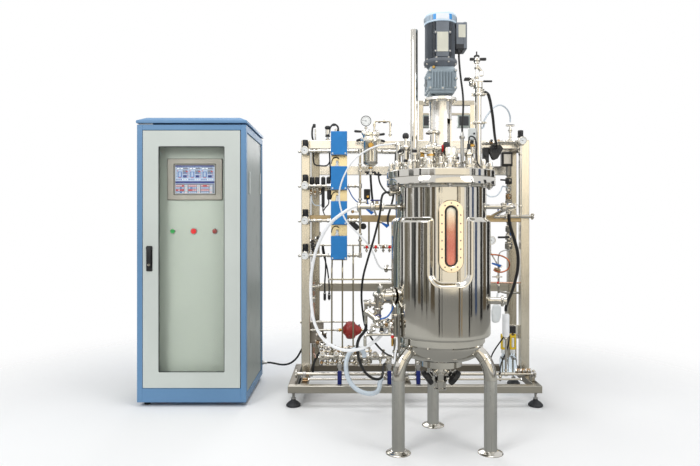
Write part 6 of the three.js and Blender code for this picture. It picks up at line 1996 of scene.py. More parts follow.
def filter_unit():
    """Filter housing: bowl, clamped head with swing bolts, gauge, outlet pipe and drain valve."""
    made = Piece("filter_bowl", skid)
    x, y = 457, 147
    spot = at(x, y, 0)
    bowl = [(0, 1331), (20, 1333), (32, 1340), (39, 1350), (41, 1362), (41, 1466), (43, 1470), (60, 1471),
        (62, 1473), (62, 1477.4), (44, 1478), (44, 1479.6), (62, 1480), (62, 1484), (60, 1486), (47, 1490),
        (46, 1494), (46, 1504), (48, 1508), (54, 1510), (54, 1520), (50, 1523), (34, 1529), (20, 1533),
        (0, 1534)]
    made.add(bowl_steel, turned(bowl, spot, 56))
    made.add(dull_steel, turned([(37, 1346), (41.0, 1350), (41.0, 1357), (39, 1357)], spot, 56))
    made.add(bright_steel, *clamp((x, y, 1478.6), UP, 61.8, (-1, -1, 0), 14))
    for k in range(6):
        turn = spun(20 + 60 * k)
        made.add(bright_steel, *[moved(part, spot @ turn) for part in (nut((49, 0, 1520), UP, 14, 8),
            post(49, 0, 1506, 1534, 3.4), ball((49, 0, 1535), 4.4))])
    made.add(brass, turned([(0, 0), (15, 0), (17, 2), (17, 8), (14, 13), (9, 14), (0, 14)],
        aimed((x, y - 36, 1447), FRONT), 36), nut((x, y, 1318), UP, 20, 10))
    made.add(bright_steel, post(x - 26, y, 1522, 1561, 4.8), nut((x - 26, y, 1548), UP, 15, 9),
        post(x, y, 1285, 1334, 8.8), post(x, y, 1284, 1300, 14.6, edge=3), nut((x, y, 1302), UP, 22, 8))
    line = bent([(x + 22, y, 1526), (x + 22, y, 1590), (x + 112, y, 1590), (x + 112, y, 1500)], 16)
    made.add(warm_steel, swept(line, 4.8, 18), post(x + 22, y, 1560, 1576, 8, edge=2),
        block((x - 14, x + 14), (y + 34, post_face), (1450, 1466), 1.5))
    made.add(bright_steel, nut((x + 40, y, 1590), RIGHT, 16, 9), nut((x + 88, y, 1590), RIGHT, 16, 9),
        nut((x + 22, y, 1532), UP, 16, 10), nut((x + 112, y, 1508), UP, 16, 10))
    made.place("filter_housing")
    gauge = Piece("filter_gauge", skid)
    gauge_parts(gauge, x - 26, y + 7, 1590, 30, 20, black_plastic)
    gauge.place(slot="black_plastic")
    handle = Piece("filter_drain_handle", skid)
    handle.add(black_plastic, moved(slab(rounded([(-33, -4), (-20, -6), (-6, -3), (6, -3), (20, -6),
        (33, -4), (33, 4), (20, 6), (6, 3), (-6, 3), (-20, 6), (-33, 4)], 3), 0, 9, 2),
        stood(x, y - 3.6, 1298)))
    handle.add(zinc, nut((x, y - 12, 1298), FRONT, 10, 4))
    handle.place(slot="black_plastic")


def vent_line():
    """Right end: a fifth regulator, its line with a disc filter, and the vessel's vent pipe."""
    made = Piece("vent_pipes", skid)
    x, z, start = 1323, 1478, Vector((1045.3, -501, 1085))
    regulator(made, x, z)
    made.add(mirror_steel, post(x, gas_line, 1047, z - 20, 7.8), rail(x - 137, x - 20, gas_line, z, 7.8),
        post(x - 137, gas_line, z + 6, z - 40, 7.8, edge=2), bar((x - 137, gas_line, z - 38),
        (x - 143, 157, z - 31), 6, 5), post(x - 60, gas_line, z, 1538, 5.8))
    made.add(bright_steel, nut((x - 137, gas_line, z - 22), UP, 21, 12),
        nut((x - 100, gas_line, z), RIGHT, 21, 14), nut((x - 44, gas_line, z), RIGHT, 21, 10), *nuts(UP,
        (x - 60, gas_line, 1500, 16, 10), (x, gas_line, 1100, 21, 14), (x, gas_line, 1400, 21, 14)),
        collar((x - 60, gas_line, z), RIGHT, 8, 12, 22, 2))
    top = x - 60
    made.add(bright_steel, post(top, gas_line, 1530, 1556, 9, edge=2),
        nut((top, gas_line, 1538), UP, 21, 9), post(top, gas_line, 1555, 1570, 5))
    wing = rounded([(-25, 1568), (-12, 1565), (12, 1565), (25, 1568), (25, 1579), (12, 1574), (-12, 1574),
        (-25, 1579)], 3)
    made.add(zinc, moved(slab(wing, -5, 5, 1.6), stood(top, gas_line, 0)))
    corner = start.x + 50
    run = bent([start, (corner, start.y, start.z), (corner, start.y + 90, start.z),
        (corner + 60, 191, 1047), (1398, 191, 1047)], 32)
    made.add(mirror_steel, swept(run, 9.8, 22))
    made.add(bright_steel, *clamp(start + Vector((4, 0, 0)), RIGHT, 20, width=8),
        *clamp((1393, 191, 1047), RIGHT, 19, width=9), *clamp((corner, start.y + 60, start.z), BACK, 19,
        width=10), *clamp((1240, 191, 1047), RIGHT, 19, width=10))
    made.add(mirror_steel, post(corner, start.y + 90, start.z, 1052, 7, 6),
        rail(1180, 1210, 191, 1047, 13, edge=3))
    made.add(bright_steel, nut((corner, start.y + 90, 1062), UP, 18, 9),
        block((1347, 1373), (191, post_face), (1036, 1058), 1.5))
    made.add(grip_vinyl, block((1188, 1196), (168, 176), (1052, 1098), 2))
    made.place("vent_pipework")
    knob(5, x, z)


skid_base()
rack()
gas_station()
header()
pump()
filter_unit()
vent_line()


# --------------------------------------------- small valves, tubes and fittings of the rack

pink_pipe = polished("pink_pipe", tint(214, 178, 160), 0.2, 0.0001, 0.3)
milky_plastic = moulded("milky_plastic", tint(232, 236, 236), 0.3, 0.0001, 300)


def small_valve(made, place, along, size, finish, handle, swing=FRONT):
    """A small valve on a line: body, its two union nuts, the bonnet and, if given, a handle."""
    place, along, swing = Vector(place), Vector(along).normalized(), Vector(swing).normalized()
    made.add(finish, bar(place - along * size, place + along * size, size * 0.8, edge=size * 0.2, sides=20))
    made.add(bright_steel, nut(place + along * size * 0.8, along, size * 1.7, size * 0.7),
        nut(place - along * size * 0.8, -along, size * 1.7, size * 0.7), bar(place,
        place + swing * size * 1.5, size * 0.5, edge=1, sides=16))
    if handle:
        made.add(handle, bar(place + swing * size * 1.4, place + swing * size * 2.1, size * 0.75,
            edge=size * 0.15, sides=20))


def solenoid(made, x, y, z):
    """Coil in its moulded block, on the steel body of a pilot valve."""
    tall = 44
    made.add(black_plastic, block((x - 12, x + 12), (y - 16, y + 16), (z, z + tall), 3),
        block((x - 8, x + 8), (y - 26, y - 15), (z + 8, z + 28), 2))
    made.add(bright_steel, block((x - 10, x + 10), (y - 12, y + 12), (z - 16, z + 0.6), 1.5),
        post(x, y, z + tall - 1, z + tall + 5, 6), nut((x, y, z - 24), UP, 15, 9))
    made.add(zinc, nut((x, y, z + tall + 1), UP, 11, 4))


def upper_left():
    """Pilot valves, capped valves and tubing at the left end of the rack."""
    made = Piece("pilot_valves", skid)
    made.add(level_steel, block((106, 228), (240, 246), (1196, 1226), 1))
    for x in (120, 148, 184, 215):
        solenoid(made, x, 226, 1232)
        made.add(bright_steel, post(x, 226, 1196, 1212, 5))
    for x, low in ((112, 1176), (136, 1168), (166, 1182)):
        made.add(bronze, post(x, 226, low, low + 30, 7, edge=1.5))
        made.add(bright_steel, nut((x, 226, low + 6), UP, 16, 8), ball((x, 226, low - 2), 8))
    made.add(black_plastic, block((174, 192), (214, 238), (1100, 1216), 3),
        block((206, 231), (212, 240), (1146, 1202), 3), peg(219, 214, 206, 1160, 8, edge=1))
    made.add(black_rubber, tube([(183, 226, 1104), (182, 222, 1084), (190, 222, 1060), (206, 224, 1036)],
        3.4), tube([(216, 226, 1150), (214, 224, 1120), (196, 222, 1098), (186, 222, 1082)], 3.4))
    made.add(clear_pvc, tube([(116, 222, 1170), (118, 218, 1140), (132, 218, 1116), (164, 220, 1112),
        (176, 222, 1116)], 3))
    made.place(slot="black_plastic")

    caps = Piece("capped_valves", skid)
    caps.add(black_plastic, tube([(126, 240, 1490), (119, 240, 1512), (118, 240, 1548), (122, 240, 1572),
        (130, 240, 1584)], 5.5, sides=14), post(130, 240, 1568, 1590, 9, edge=3),
        post(209, 240, 1557, 1578, 17, edge=6), tube([(219, 236, 1538), (224, 236, 1568), (246, 236, 1588),
        (268, 236, 1574), (272, 236, 1540)], 5.5, sides=14), post(209, 240, 1514, 1524, 15, edge=3),
        post(246, 236, 1578, 1592, 11, edge=4))
    caps.add(bright_steel, post(137, 240, 1491, 1560, 4, edge=1), post(209, 240, 1491, 1514, 7, edge=1),
        nut((209, 240, 1494), UP, 20, 9), post(209, 240, 1524, 1558, 14, edge=3),
        post(258, 236, 1491, 1560, 8, edge=2), nut((258, 236, 1496), UP, 22, 10))
    caps.add(black_rubber, tube([(128, 196, 1412), (128, 190, 1380), (136, 190, 1348), (170, 190, 1340),
        (206, 190, 1342), (221, 192, 1360), (222, 194, 1400), (222, 196, 1440)], 4.4),
        tube([(222, 206, 1400), (224, 204, 1350), (226, 206, 1290), (222, 212, 1238)], 4.4))
    caps.place(slot="black_plastic")

    cluster = Piece("left_sample_valves", skid)
    cluster.add(bright_steel, pipe([(106, 226, 880), (604, 226, 880), (604, 226, 690), (604, 120, 690),
        (562, 120, 690)], 14, 5.5, 14), post(140, 226, 880, 930, 5))
    for x, z, finish in ((122, 906, bronze), (140, 880, bright_steel), (152, 922, bright_steel),
            (128, 850, bronze)):
        small_valve(cluster, (x, 224, z), (1, 0, 0.2), 11, finish, black_plastic)
    cluster.add(black_plastic, block((112, 130), (206, 230), (858, 896), 3),
        block((132, 148), (206, 228), (836, 862), 3))
    cluster.add(bright_steel, bar((152, 222, 926), (166, 214, 940), 6, edge=1),
        post(166, 214, 938, 958, 4.4, edge=1))
    cluster.place()


def between_the_posts():
    """Upright pipe behind the left posts with its unions, and the fittings on it."""
    made = Piece("left_riser", skid)
    made.add(pink_pipe, post(126, 262, 240, 660, 7, edge=1), bar((126, 262, 240), (140, 180, 236), 6))
    for z in (628, 416, 296, 560):
        made.add(bright_steel, nut((126, 262, z), UP, 22, 12), post(126, 262, z - 20, z + 20, 9.4, edge=2))
    made.add(bright_steel, bar((112, 262, 628), (168, 262, 640), 7),
        nut((150, 262, 636), (1, 0, 0.2), 20, 10), ball((170, 262, 640), 9))
    for x, z, along, finish in ((158, 356, (1, 0, 0.3), bronze), (178, 330, UP, dull_steel),
            (150, 310, (1, 0, -0.4), bronze), (190, 300, (1, 0, 0.6), bright_steel),
            (166, 288, RIGHT, bronze), (192, 348, UP, bronze)):
        small_valve(made, (x, 246, z), along, 12, finish, chance.choice([black_plastic, bronze, None]))
    made.add(black_rubber, tube([(162, 226, 252), (150, 210, 236), (136, 196, 212), (128, 190, 180),
        (126, 190, 150), (118, 192, 124)], 7))
    made.place()


def behind_the_filter():
    """Valves, blue lines and cables between the flow boxes and the vessel."""
    made = Piece("middle_valves", skid)
    made.add(pale_steel, pipe([(404, 202, 1423), (616, 202, 1423), (616, 240, 1423), (616, 240, 1444)], 14,
        8, 16))
    made.add(bright_steel, *nuts(RIGHT, (424, 202, 1423, 21, 10), (520, 202, 1423, 21, 10),
        (560, 202, 1423, 22, 16)))
    for x in (451, 509):
        made.add(riser_steel, post(x, 236, 880, 1016, 5, edge=1))
    for x, cap in ((437, red_cap), (490, red_cap), (534, bronze), (570, red_cap)):
        small_valve(made, (x, 222, 870), RIGHT, 12, bright_steel, cap)
        made.add(bright_steel, post(x, 222, 872, 838, 5, edge=1), nut((x, 222, 846), UP, 14, 8))
    made.add(black_plastic, moved(slab(oblong(66, 38, 18), 0, 30, 6), stood(362, 214, 994) @ spun(-38)),
        peg(417, 214, 196, 990, 18, edge=5), peg(417, 197, 194, 990, 8, edge=1))
    made.add(bright_steel, bar((362, 212, 1014), (352, 214, 1030), 6), peg(355, 214, 200, 1075, 10, edge=2),
        rail(355, 402, 210, 1075, 4), rail(400, 424, 208, 1102, 4),
        bar((509, 236, 1012), (520, 204, 1012), 5), bar((474, 196, 1100), (509, 236, 1014), 5),
        nut((474, 196, 1098), UP, 17, 9))
    made.add(bronze, peg(355, 201, 197, 1075, 7.5, edge=1), nut((396, 214, 990), RIGHT, 16, 8))
    made.add(black_plastic, block((421, 457), (196, 226), (1146, 1206), 3),
        block((427, 440), (188, 197), (1190, 1200), 1))
    made.add(brass, peg(443, 196, 190, 1162, 8, edge=1.5), peg(443, 190.6, 188, 1162, 4, edge=0.6))
    made.add(bright_steel, post(439, 212, 1110, 1148, 6), rail(404, 439, 206, 1130, 5))
    made.add(blue_tube, tube([(326, 196, 1214), (334, 190, 1200), (352, 188, 1164), (374, 190, 1138),
        (399, 196, 1120)], 3.2), tube([(441, 206, 1148), (446, 200, 1120), (458, 198, 1102),
        (470, 198, 1094)], 3))
    for start, end in (((424, 196, 1098), (474, 196, 1064)), ((520, 196, 1012), (562, 196, 988))):
        a, b = Vector(start), Vector(end)
        wedge = [(0, -3), ((b - a).length - 4, -12), ((b - a).length, 10), (0, 4)]
        spot = stood(a.x, a.y, a.z) @ Matrix.Rotation(math.atan2(b.z - a.z, b.x - a.x), 4, "Z")
        made.add(blue_tube, moved(slab(rounded(wedge, 3), 0, 5, 1.4), spot))
        made.add(bright_steel, bar(a + Vector((0, 14, 4)), a + Vector((0, -7, 0)), 6, edge=1))
    made.add(black_rubber, tube([(457, 147, 1284), (459, 150, 1250), (464, 168, 1190), (470, 184, 1140),
        (474, 196, 1104)], 6.4, sides=14), tube([(507, 232, 1308), (508, 228, 1276), (514, 222, 1246),
        (530, 214, 1214), (556, 206, 1186), (590, 200, 1168)], 5), tube([(562, 202, 990), (560, 206, 1040),
        (576, 198, 1100), (590, 190, 1160), (596, 184, 1240), (602, 190, 1340), (606, 200, 1420)], 6))
    made.place()

    arcs = Piece("flow_box_leads", skid)
    for row in range(3):
        z = box_row - row_pitch * row - 67
        cone = lathe([(0, 0), (13, 0), (13, 3), (7, 14), (6, 22), (8, 24), (8, 30), (0, 30)], 24)
        arcs.add(white_silicone, moved(cone, at(266, 198, z - 64)))
        arcs.add(zinc, nut((266, 198, z - 34), UP, 12, 5))
        arcs.add(black_rubber, tube([(232, 208, z - 46), (236, 202, z - 26), (248, 198, z - 12),
            (264, 196, z - 10), (276, 198, z - 18)], 2.6))
    arcs.place(slot="white_hose")


def branch_cluster():
    """The crowd of small brass and steel valves round the branch pipe, in two rows behind it."""
    made = Piece("branch_cluster", skid)
    rows = ((146, 276, 24, UP), (168, 236, 27, (1, 0, 0.35)), (150, 212, 31, (0.3, 0, 1)),
        (176, 292, 33, (1, 0, -0.2)))
    for y, z, pitch, along in rows:
        count = int(286 / pitch)
        for k in range(count):
            x = 178 + pitch * k + chance.uniform(-3, 3)
            finish = chance.choice([bronze, dull_steel, bright_steel, bronze, dark_plate])
            cap = chance.choice([None, black_plastic, bronze, zinc, None])
            small_valve(made, (x, y + chance.uniform(-4, 4), z + chance.uniform(-9, 9)), along,
                chance.uniform(9.5, 12.5), finish, cap, (0, -1, 0.15))
        made.add(warm_steel, rail(174, 182 + pitch * count, y, z, 5.5, edge=1))
    for x in (204, 258, 330, 402, 452):
        made.add(dull_steel, bar((x, pipe_deep, branch_high), (x, 146, 276), 6),
            bar((x, 146, 276), (x, 176, 292), 6), bar((x, pipe_deep, branch_high), (x, 168, 236), 6),
            bar((x + 8, pipe_deep, branch_high), (x + 8, 150, 212), 6))
    made.place()

    tray = Piece("drain_support", skid)
    tray.add(bronze, block((72, 106), (84, 128), (120.2, 128), 1.5),
        block((76, 100), (90, 96), (127, 138), 1))
    for x in (1290, 1318, 1346):
        small_valve(tray, (x, 118, 176), RIGHT, 12, bronze, None)
    tray.add(bronze, rail(1280, 1360, 118, 176, 6), bar((1318, 118, 176), (1318, 120, 158), 6))
    tray.place()


def sample_bottles():
    """Two capped reagent bottles on the base, with their yellow clips on the post."""
    made = Piece("reagent_bottles", skid)
    liquid = Piece("bottle_holders", skid)
    for x in (1238, 1290):
        spot = at(x, 224, 0)
        made.add(bottle_glass, turned([(0, 120.6), (23, 120.6), (24.5, 123), (24.5, 214), (22, 226),
            (13, 236), (12, 252), (0, 252)], spot, 36))
        liquid.add(milky_plastic, turned([(0, 250), (14, 250), (15, 252), (15, 268), (13, 271), (0, 271)],
            spot, 28))
        liquid.add(yellow_plastic, block((x - 17, x - 9), (214, 234), (272, 362), 2.5),
            block((x + 9, x + 17), (214, 234), (272, 362), 2.5),
            block((x - 17, x + 17), (216, 232), (272, 284), 2),
            block((x - 17, x + 17), (216, 232), (340, 352), 2))
        liquid.add(milky_plastic, post(x, 222, 284, 340, 8, edge=2))
        liquid.add(bright_steel, post(x, 224, 268, 285, 3), rail(x, 1340, 240, 352, 3))
    made.place(slot="glass")
    liquid.add(black_plastic, block((1272, 1308), (222, 248), (366, 406), 2))
    liquid.add(bright_steel, block((1270, 1340), (248, 252), (330, 410), 1))
    liquid.place(slot="white_hose")


def right_end():
    """Steam valve column, cooling coil, gauge and leads in front of the right posts."""
    made = Piece("steam_valves", skid)
    x, y = 1292, 320
    made.add(dull_steel, post(x, y, 846, 1440, 11, edge=2), post(x, y, 1290, 1352, 17, edge=3),
        block((x - 40, x + 48), (y + 6, y + 12), (1020, 1056), 1))
    for z, finish, size in ((1262, black_plastic, 20), (1216, bright_steel, 17), (1170, bronze, 18),
            (1132, dull_steel, 20), (1080, bright_steel, 17), (1030, black_plastic, 18),
            (974, dull_steel, 19), (926, bright_steel, 20), (874, dull_steel, 22)):
        made.add(finish, post(x, y, z - size, z + size * 0.7, size, edge=4))
        made.add(bright_steel, nut((x, y, z + size * 0.7), UP, size * 1.7, 7),
            peg(x, y - 4, y - size - 12, z, 6, edge=1))
    made.add(black_plastic, bar((x - 6, y - 34, 1262), (x - 58, y - 34, 1266), 5, edge=1),
        block((x - 74, x - 4), (y - 42, y - 34), (918, 930), 2), block((x - 44, x + 20), (y - 20, y + 22),
        (1348, 1434), 4))
    made.add(zinc, block((x - 34, x + 10), (y - 22, y - 19), (1362, 1420), 1))
    made.add(blue_tube, tube([(x - 18, y - 20, 1118), (x + 2, y - 30, 1126), (x + 24, y - 26, 1120)], 3.2),
        tube([(x - 4, y - 24, 1064), (x + 6, y - 30, 1010), (x + 4, y - 26, 934)], 3.2))
    made.add(dull_steel, rail(x, x + 60, y, 1040, 7))
    made.place()

    coil = Piece("cooling_lines", skid)
    coil.add(copper, tube([(1128, 216, 664), (1126, 218, 730), (1132, 217, 796), (1150, 214, 822),
        (1190, 210, 824), (1226, 206, 816), (1256, 202, 796), (1266, 202, 770), (1256, 206, 740),
        (1222, 208, 724), (1188, 210, 728), (1176, 214, 738)], 4.4, sides=14))
    coil.add(zinc, tube([(1206, 226, 690), (1207, 222, 750), (1204, 218, 800), (1214, 214, 838),
        (1240, 212, 850), (1268, 226, 850), (1284, 262, 852), (1290, 306, 854)], 3.4, sides=12))
    coil.add(bronze, bar((1186, 216, 742), (1214, 212, 730), 9, edge=2),
        nut((1188, 216, 741), (-1, 0, 0.3), 18, 8))
    coil.add(blue_tube, moved(slab(rounded([(0, -4), (54, -9), (58, 7), (0, 5)], 3), 0, 6, 1.4),
        stood(1160, 196, 776) @ spun(-16)))
    coil.add(bright_steel, bar((1214, 226, 756), (1214, 192, 758), 7, edge=1),
        post(1208, 226, 600, 760, 6, edge=1), bar((1168, 216, 696), (1226, 212, 696), 4, edge=1),
        nut((1196, 214, 696), FRONT, 16, 6), nut((1208, 226, 640), UP, 20, 12))
    coil.add(pink_pipe, bar((1124, 214, 663), (1300, 214, 660), 5, edge=1),
        bar((1300, 214, 660), (1338, 230, 660), 5))
    coil.add(red_cap, peg(1199, 214, 203, 663, 6, edge=1.5))
    coil.add(dull_steel, bar((1208, 226, 612), (1250, 232, 600), 6),
        bar((1250, 232, 600), (1338, 240, 600), 6))
    coil.place()
    gauge = Piece("cooling_gauge", skid)
    gauge_parts(gauge, 1160, 214, 909, 25, 18)
    gauge.add(bright_steel, peg(1160, 214, 226, 909, 7), post(1160, 228, 909, 824, 5, edge=1),
        bar((1160, 228, 840), (1208, 228, 756), 4))
    gauge.place()

    trim = Piece("right_fittings", skid)
    trim.add(black_plastic, moved(slab(rounded([(-34, 22), (-24, 48), (22, 48), (36, 30), (4, -26),
        (-12, -28)], 6), 0, 44, 5), stood(1186, 236, 1410)),
        block((1112, 1146), (196, 232), (1360, 1448), 4), peg(1128, 196, 190, 1404, 12, edge=2))
    for k in range(5):
        trim.add(soft_black, block((1166 + 9 * k, 1170 + 9 * k), (189, 193), (1416, 1448), 0.8))
    for k, px in enumerate((1130, 1156, 1196, 1226)):
        small_valve(trim, (px, 196, 1474), RIGHT, 11, (bright_steel, bronze, dull_steel, bright_steel)[k],
            (None, black_plastic, bronze, zinc)[k], (0, -1, 0.6))
    trim.add(bright_steel, rail(1112, 1190, 196, 1474, 6, edge=1))
    trim.add(clear_pvc, tube([(1136, 228, 1176), (1160, 232, 1164), (1196, 236, 1168), (1222, 240, 1194),
        (1236, 250, 1222), (1252, 280, 1226), (1282, 306, 1222)], 4))
    trim.add(bright_steel, bar((1136, 228, 1170), (1126, 226, 1180), 6),
        bar((1126, 222, 1176), (1126, 216, 1362), 5, edge=1), nut((1126, 217, 1350), UP, 20, 10),
        bar((1240, 181, 1478), (1263, 181, 1500), 6))
    trim.add(milky_plastic, moved(slab(rounded([(-26, -50), (-10, -56), (14, -52), (26, -20), (28, 40),
        (6, 54), (-20, 50), (-30, 10)], 10), 0, 20, 7), stood(1194, 232, 482)),
        bar((1194, 222, 534), (1202, 222, 600), 5))
    trim.place(slot="black_plastic")


def vessel_side():
    """Block valve on the lower left nozzle, its bleed lines and the pipes beside the jacket."""
    made = Piece("side_valves", vessel)
    out = around(side_bearing, 1, 0)
    start, end = around(side_bearing, 234, 684), around(side_bearing, 292, 684)
    made.add(mirror_steel, bar(start, end, 32, edge=8, sides=36), bar(start - out * 6, start + out * 4, 40,
        edge=2.5, sides=40), bar(end - out * 4, end + out * 5, 38, edge=2.5, sides=40))
    made.add(bright_steel, *clamp(end - out * 2, out, 40, (0.2, -1, 0.4), 12))
    made.add(bright_steel, *circled(nut((33, 0, 6), UP, 11, 8), aimed(start - out * 3, out), 6, 20))
    made.add(bright_steel, bar(end + out * 4, end + out * 30 + rise(16), 9, edge=2), bar(end + out * 2,
        end + out * 24 - rise(14), 7, edge=2), bar((-262, -96, 700), (-280, -112, 730), 10, edge=2),
        nut((-268, -102, 710), (-18, -16, 30), 22, 9))
    made.add(mirror_steel, bar((-351, -118, 626), (-297, -112, 583), 11.5, edge=2, sides=28),
        post(-349, -112, 468, 500, 7))
    made.add(bright_steel, nut((-342, -117, 619), (-54, 0, 43), 24, 8),
        nut((-308, -113, 592), (54, 0, -43), 25, 9), post(-291, -112, 570, 604, 7, edge=1),
        ball((-291, -112, 588), 10), bar((-326, -112, 552), (-207, -116, 552), 5, edge=1),
        bar((-212, -116, 552), (-200, -106, 552), 5), pipe([(-349, -112, 498), (-349, -112, 516),
        (-313, -112, 520), (-232, -116, 520)], 16, 6.4, 14))
    for x, z, along, finish, cap in ((-306, 560, (1, 0, 0.2), bright_steel, None),
            (-276, 546, UP, dull_steel, black_plastic), (-256, 566, (1, 0, -0.5), bright_steel, bronze),
            (-240, 538, UP, bright_steel, None), (-320, 536, (1, 0, 0.6), dull_steel, None),
            (-226, 580, (0.4, 0, 1), bronze, None)):
        small_valve(made, (x, -112, z), along, 11, finish, cap)
    made.add(dull_steel, post(-216, -118, 408, 640, 8, edge=1),
        bar((-200, -124, 440), (-203, -124, 610), 6, edge=1))
    for z in (600, 500, 440):
        made.add(bright_steel, nut((-216, -118, z), UP, 22, 12))
    made.add(bright_steel, bar((-216, -118, 636), (-226, -80, 664), 8),
        bar((-200, -124, 470), (-216, -118, 470), 5))
    made.add(blue_tube, tube([(-222, -98, 652), (-232, -120, 626), (-252, -124, 600), (-282, -118, 588)],
        3.6))
    made.add(brass, post(-229, -118, 470, 506, 5, edge=1))
    made.add(red_cap, post(-229, -118, 505, 517, 7, edge=2))
    made.add(bright_steel, rail(-229, -216, -118, 474, 4))
    made.add(white_silicone, tube([(-211, -126, 512), (-210, -128, 480), (-217, -128, 440),
        (-220, -126, 406)], 4))
    made.place()


def lid_extras():
    """More of the lid's furniture: the tall blanked port, filter head, knobs and connectors."""
    made = Piece("lid_furniture", vessel)
    low = lid_high
    made.add(mirror_steel, post(-41, -52, low, low + 172, 15, edge=1.5, sides=32),
        post(-96, 60, low, low + 120, 12), post(46, -98, low, low + 96, 10),
        post(-128, -92, low, low + 70, 9))
    made.add(bright_steel, turned([(0, 0), (32, 0), (34, 2), (34, 8), (30, 12), (14, 14), (12, 20),
        (0, 21)], at(-41, -52, low + 168), 40), *clamp((-41, -52, low + 120), UP, 23, (1, -1, 0), 12),
        *clamp((-128, -92, low + 40), UP, 18, (-1, -0.4, 0), 11), nut((46, -98, low + 60), UP, 30, 14),
        nut((-128, -92, low + 66), UP, 24, 12), post(*inoculation, low + 118, low + 150, 6, edge=1))
    ball_knob = lathe([(0, 0), (10, 0), (14, 4), (15, 12), (13, 20), (8, 25), (0, 26)], 24)
    made.add(black_plastic, moved(ball_knob, at(*inoculation, low + 148)), bar((-196, -46, low + 82),
        (-184, -60, low + 96), 8, edge=2), post(-128, -92, low + 78, low + 92, 10, edge=3),
        post(46, -98, low + 74, low + 104, 9, edge=2))
    made.add(light_plastic, block((117, 149), (-72, -44), (low + 138, low + 192), 4))
    made.add(soft_black, peg(140, -72, -75, low + 166, 4.4, edge=0.6),
        post(133, -58, low + 136, low + 122, 9, edge=2))
    made.add(brass, nut((133, -58, low + 108), UP, 24, 12), nut((*riser, low + 60), UP, 32, 9))
    made.add(bright_steel, post(133, -58, low, low + 110, 8, edge=1), nut((133, -58, low + 30), UP, 28, 12),
        rail(-29, -14, -118, low + 94, 18, edge=2))
    made.add(red_cap, collar((-9, -118, low + 94), RIGHT, 6.4, 16, 7, 1))
    for angle, reach in ((236, 150), (262, 176), (286, 172), (318, 168), (200, 176), (340, 150)):
        spot = around(angle, reach, low)
        made.add(bright_steel, bar(spot, spot + rise(40), 8, edge=1), nut(spot + rise(18), UP, 24, 9))
        made.add(chance.choice([black_plastic, bronze, bright_steel]),
            bar(spot + rise(38), spot + rise(52), 9, edge=2))
    made.place()


def filter_trim():
    """Wing handles round the filter's head and the black parts of its outlet line."""
    made = Piece("filter_trim", skid)
    grip = rounded([(0, -3), (10, -6), (44, -7), (50, 0), (44, 7), (10, 6), (0, 3)], 3)
    for x, y, z, lean in ((412, 160, 1532, 176), (420, 150, 1494, 200), (494, 150, 1486, -14),
            (492, 156, 1512, 8), (428, 150, 1292, 4), (472, 150, 1290, -8)):
        made.add(black_plastic, moved(slab(grip, -5, 5, 2), stood(x, y, z) @ spun(lean)))
        made.add(bright_steel, peg(x, y - 8, y + 26, z, 6, edge=1.4))
    made.add(black_plastic, rail(498, 516, 181, 1594, 8, edge=2), rail(530, 552, 181, 1594, 9, edge=2),
        post(573, 181, 1566, 1584, 7, edge=2))
    made.place(slot="black_plastic")


leads = {
    "left_probe_lead": (0.009, "medium", black_rubber, "black_rubber", [
        (-0.094, 0.262, 0.880), (-0.094, 0.262, 0.868), (-0.091, 0.260, 0.850), (-0.087, 0.258, 0.828),
        (-0.083, 0.257, 0.804), (-0.081, 0.257, 0.778), (-0.081, 0.257, 0.750), (-0.082, 0.257, 0.722),
        (-0.084, 0.257, 0.696), (-0.0855, 0.257, 0.672), (-0.086, 0.257, 0.652), (-0.086, 0.257, 0.634),
        (-0.086, 0.257, 0.613)]),
    "right_probe_lead": (0.008, "medium", black_rubber, "black_rubber", [
        (-0.100, 0.250, 0.880), (-0.100, 0.250, 0.866), (-0.098, 0.248, 0.846), (-0.092, 0.246, 0.822),
        (-0.084, 0.244, 0.796), (-0.076, 0.243, 0.768), (-0.070, 0.242, 0.740), (-0.066, 0.242, 0.712),
        (-0.063, 0.242, 0.686), (-0.061, 0.242, 0.662), (-0.060, 0.242, 0.640), (-0.060, 0.242, 0.622),
        (-0.060, 0.242, 0.606)]),
    "vent_tube": (0.009, "limp", clear_pvc, "clear_hose", [
        (0.6635, -0.436, 1.446), (0.672, -0.436, 1.450), (0.685, -0.400, 1.486), (0.706, -0.345, 1.513),
        (0.730, -0.285, 1.539), (0.774, -0.185, 1.583), (0.819, -0.085, 1.618), (0.863, 0.005, 1.641),
        (0.905, 0.085, 1.649), (0.945, 0.160, 1.644), (0.972, 0.215, 1.628), (0.982, 0.240, 1.610),
        (0.983, 0.246, 1.590)]),
    "left_bottle_lead": (0.008, "medium", black_rubber, "black_rubber", [
        (0.952, 0.226, 0.372), (0.948, 0.210, 0.374), (0.938, 0.196, 0.370), (0.926, 0.190, 0.356),
        (0.914, 0.188, 0.340), (0.901, 0.188, 0.322), (0.888, 0.188, 0.303), (0.875, 0.187, 0.283),
        (0.864, 0.186, 0.262), (0.856, 0.185, 0.240), (0.851, 0.180, 0.215), (0.849, 0.173, 0.185),
        (0.849, 0.168, 0.153)]),
    "right_bottle_lead": (0.008, "medium", black_rubber, "black_rubber", [
        (0.966, 0.226, 0.366), (0.966, 0.208, 0.364), (0.964, 0.196, 0.352), (0.960, 0.190, 0.334),
        (0.955, 0.188, 0.314), (0.949, 0.187, 0.294), (0.941, 0.186, 0.273), (0.931, 0.185, 0.252),
        (0.920, 0.181, 0.229), (0.910, 0.175, 0.204), (0.906, 0.170, 0.178), (0.906, 0.168, 0.153)]),
}


def lead_plug(name, x, y, high, low):
    """The moulded plug on a hanging lead."""
    made = Piece(name, skid)
    made.add(black_plastic, post(x, y, low, high - 12, 8, edge=2), post(x, y, high - 14, high, 6, edge=1.6))
    made.add(zinc, post(x, y, low - 5, low + 1, 5.4, edge=1), nut((x, y, high - 16), UP, 15, 5))
    return made.place(slot="black_plastic")


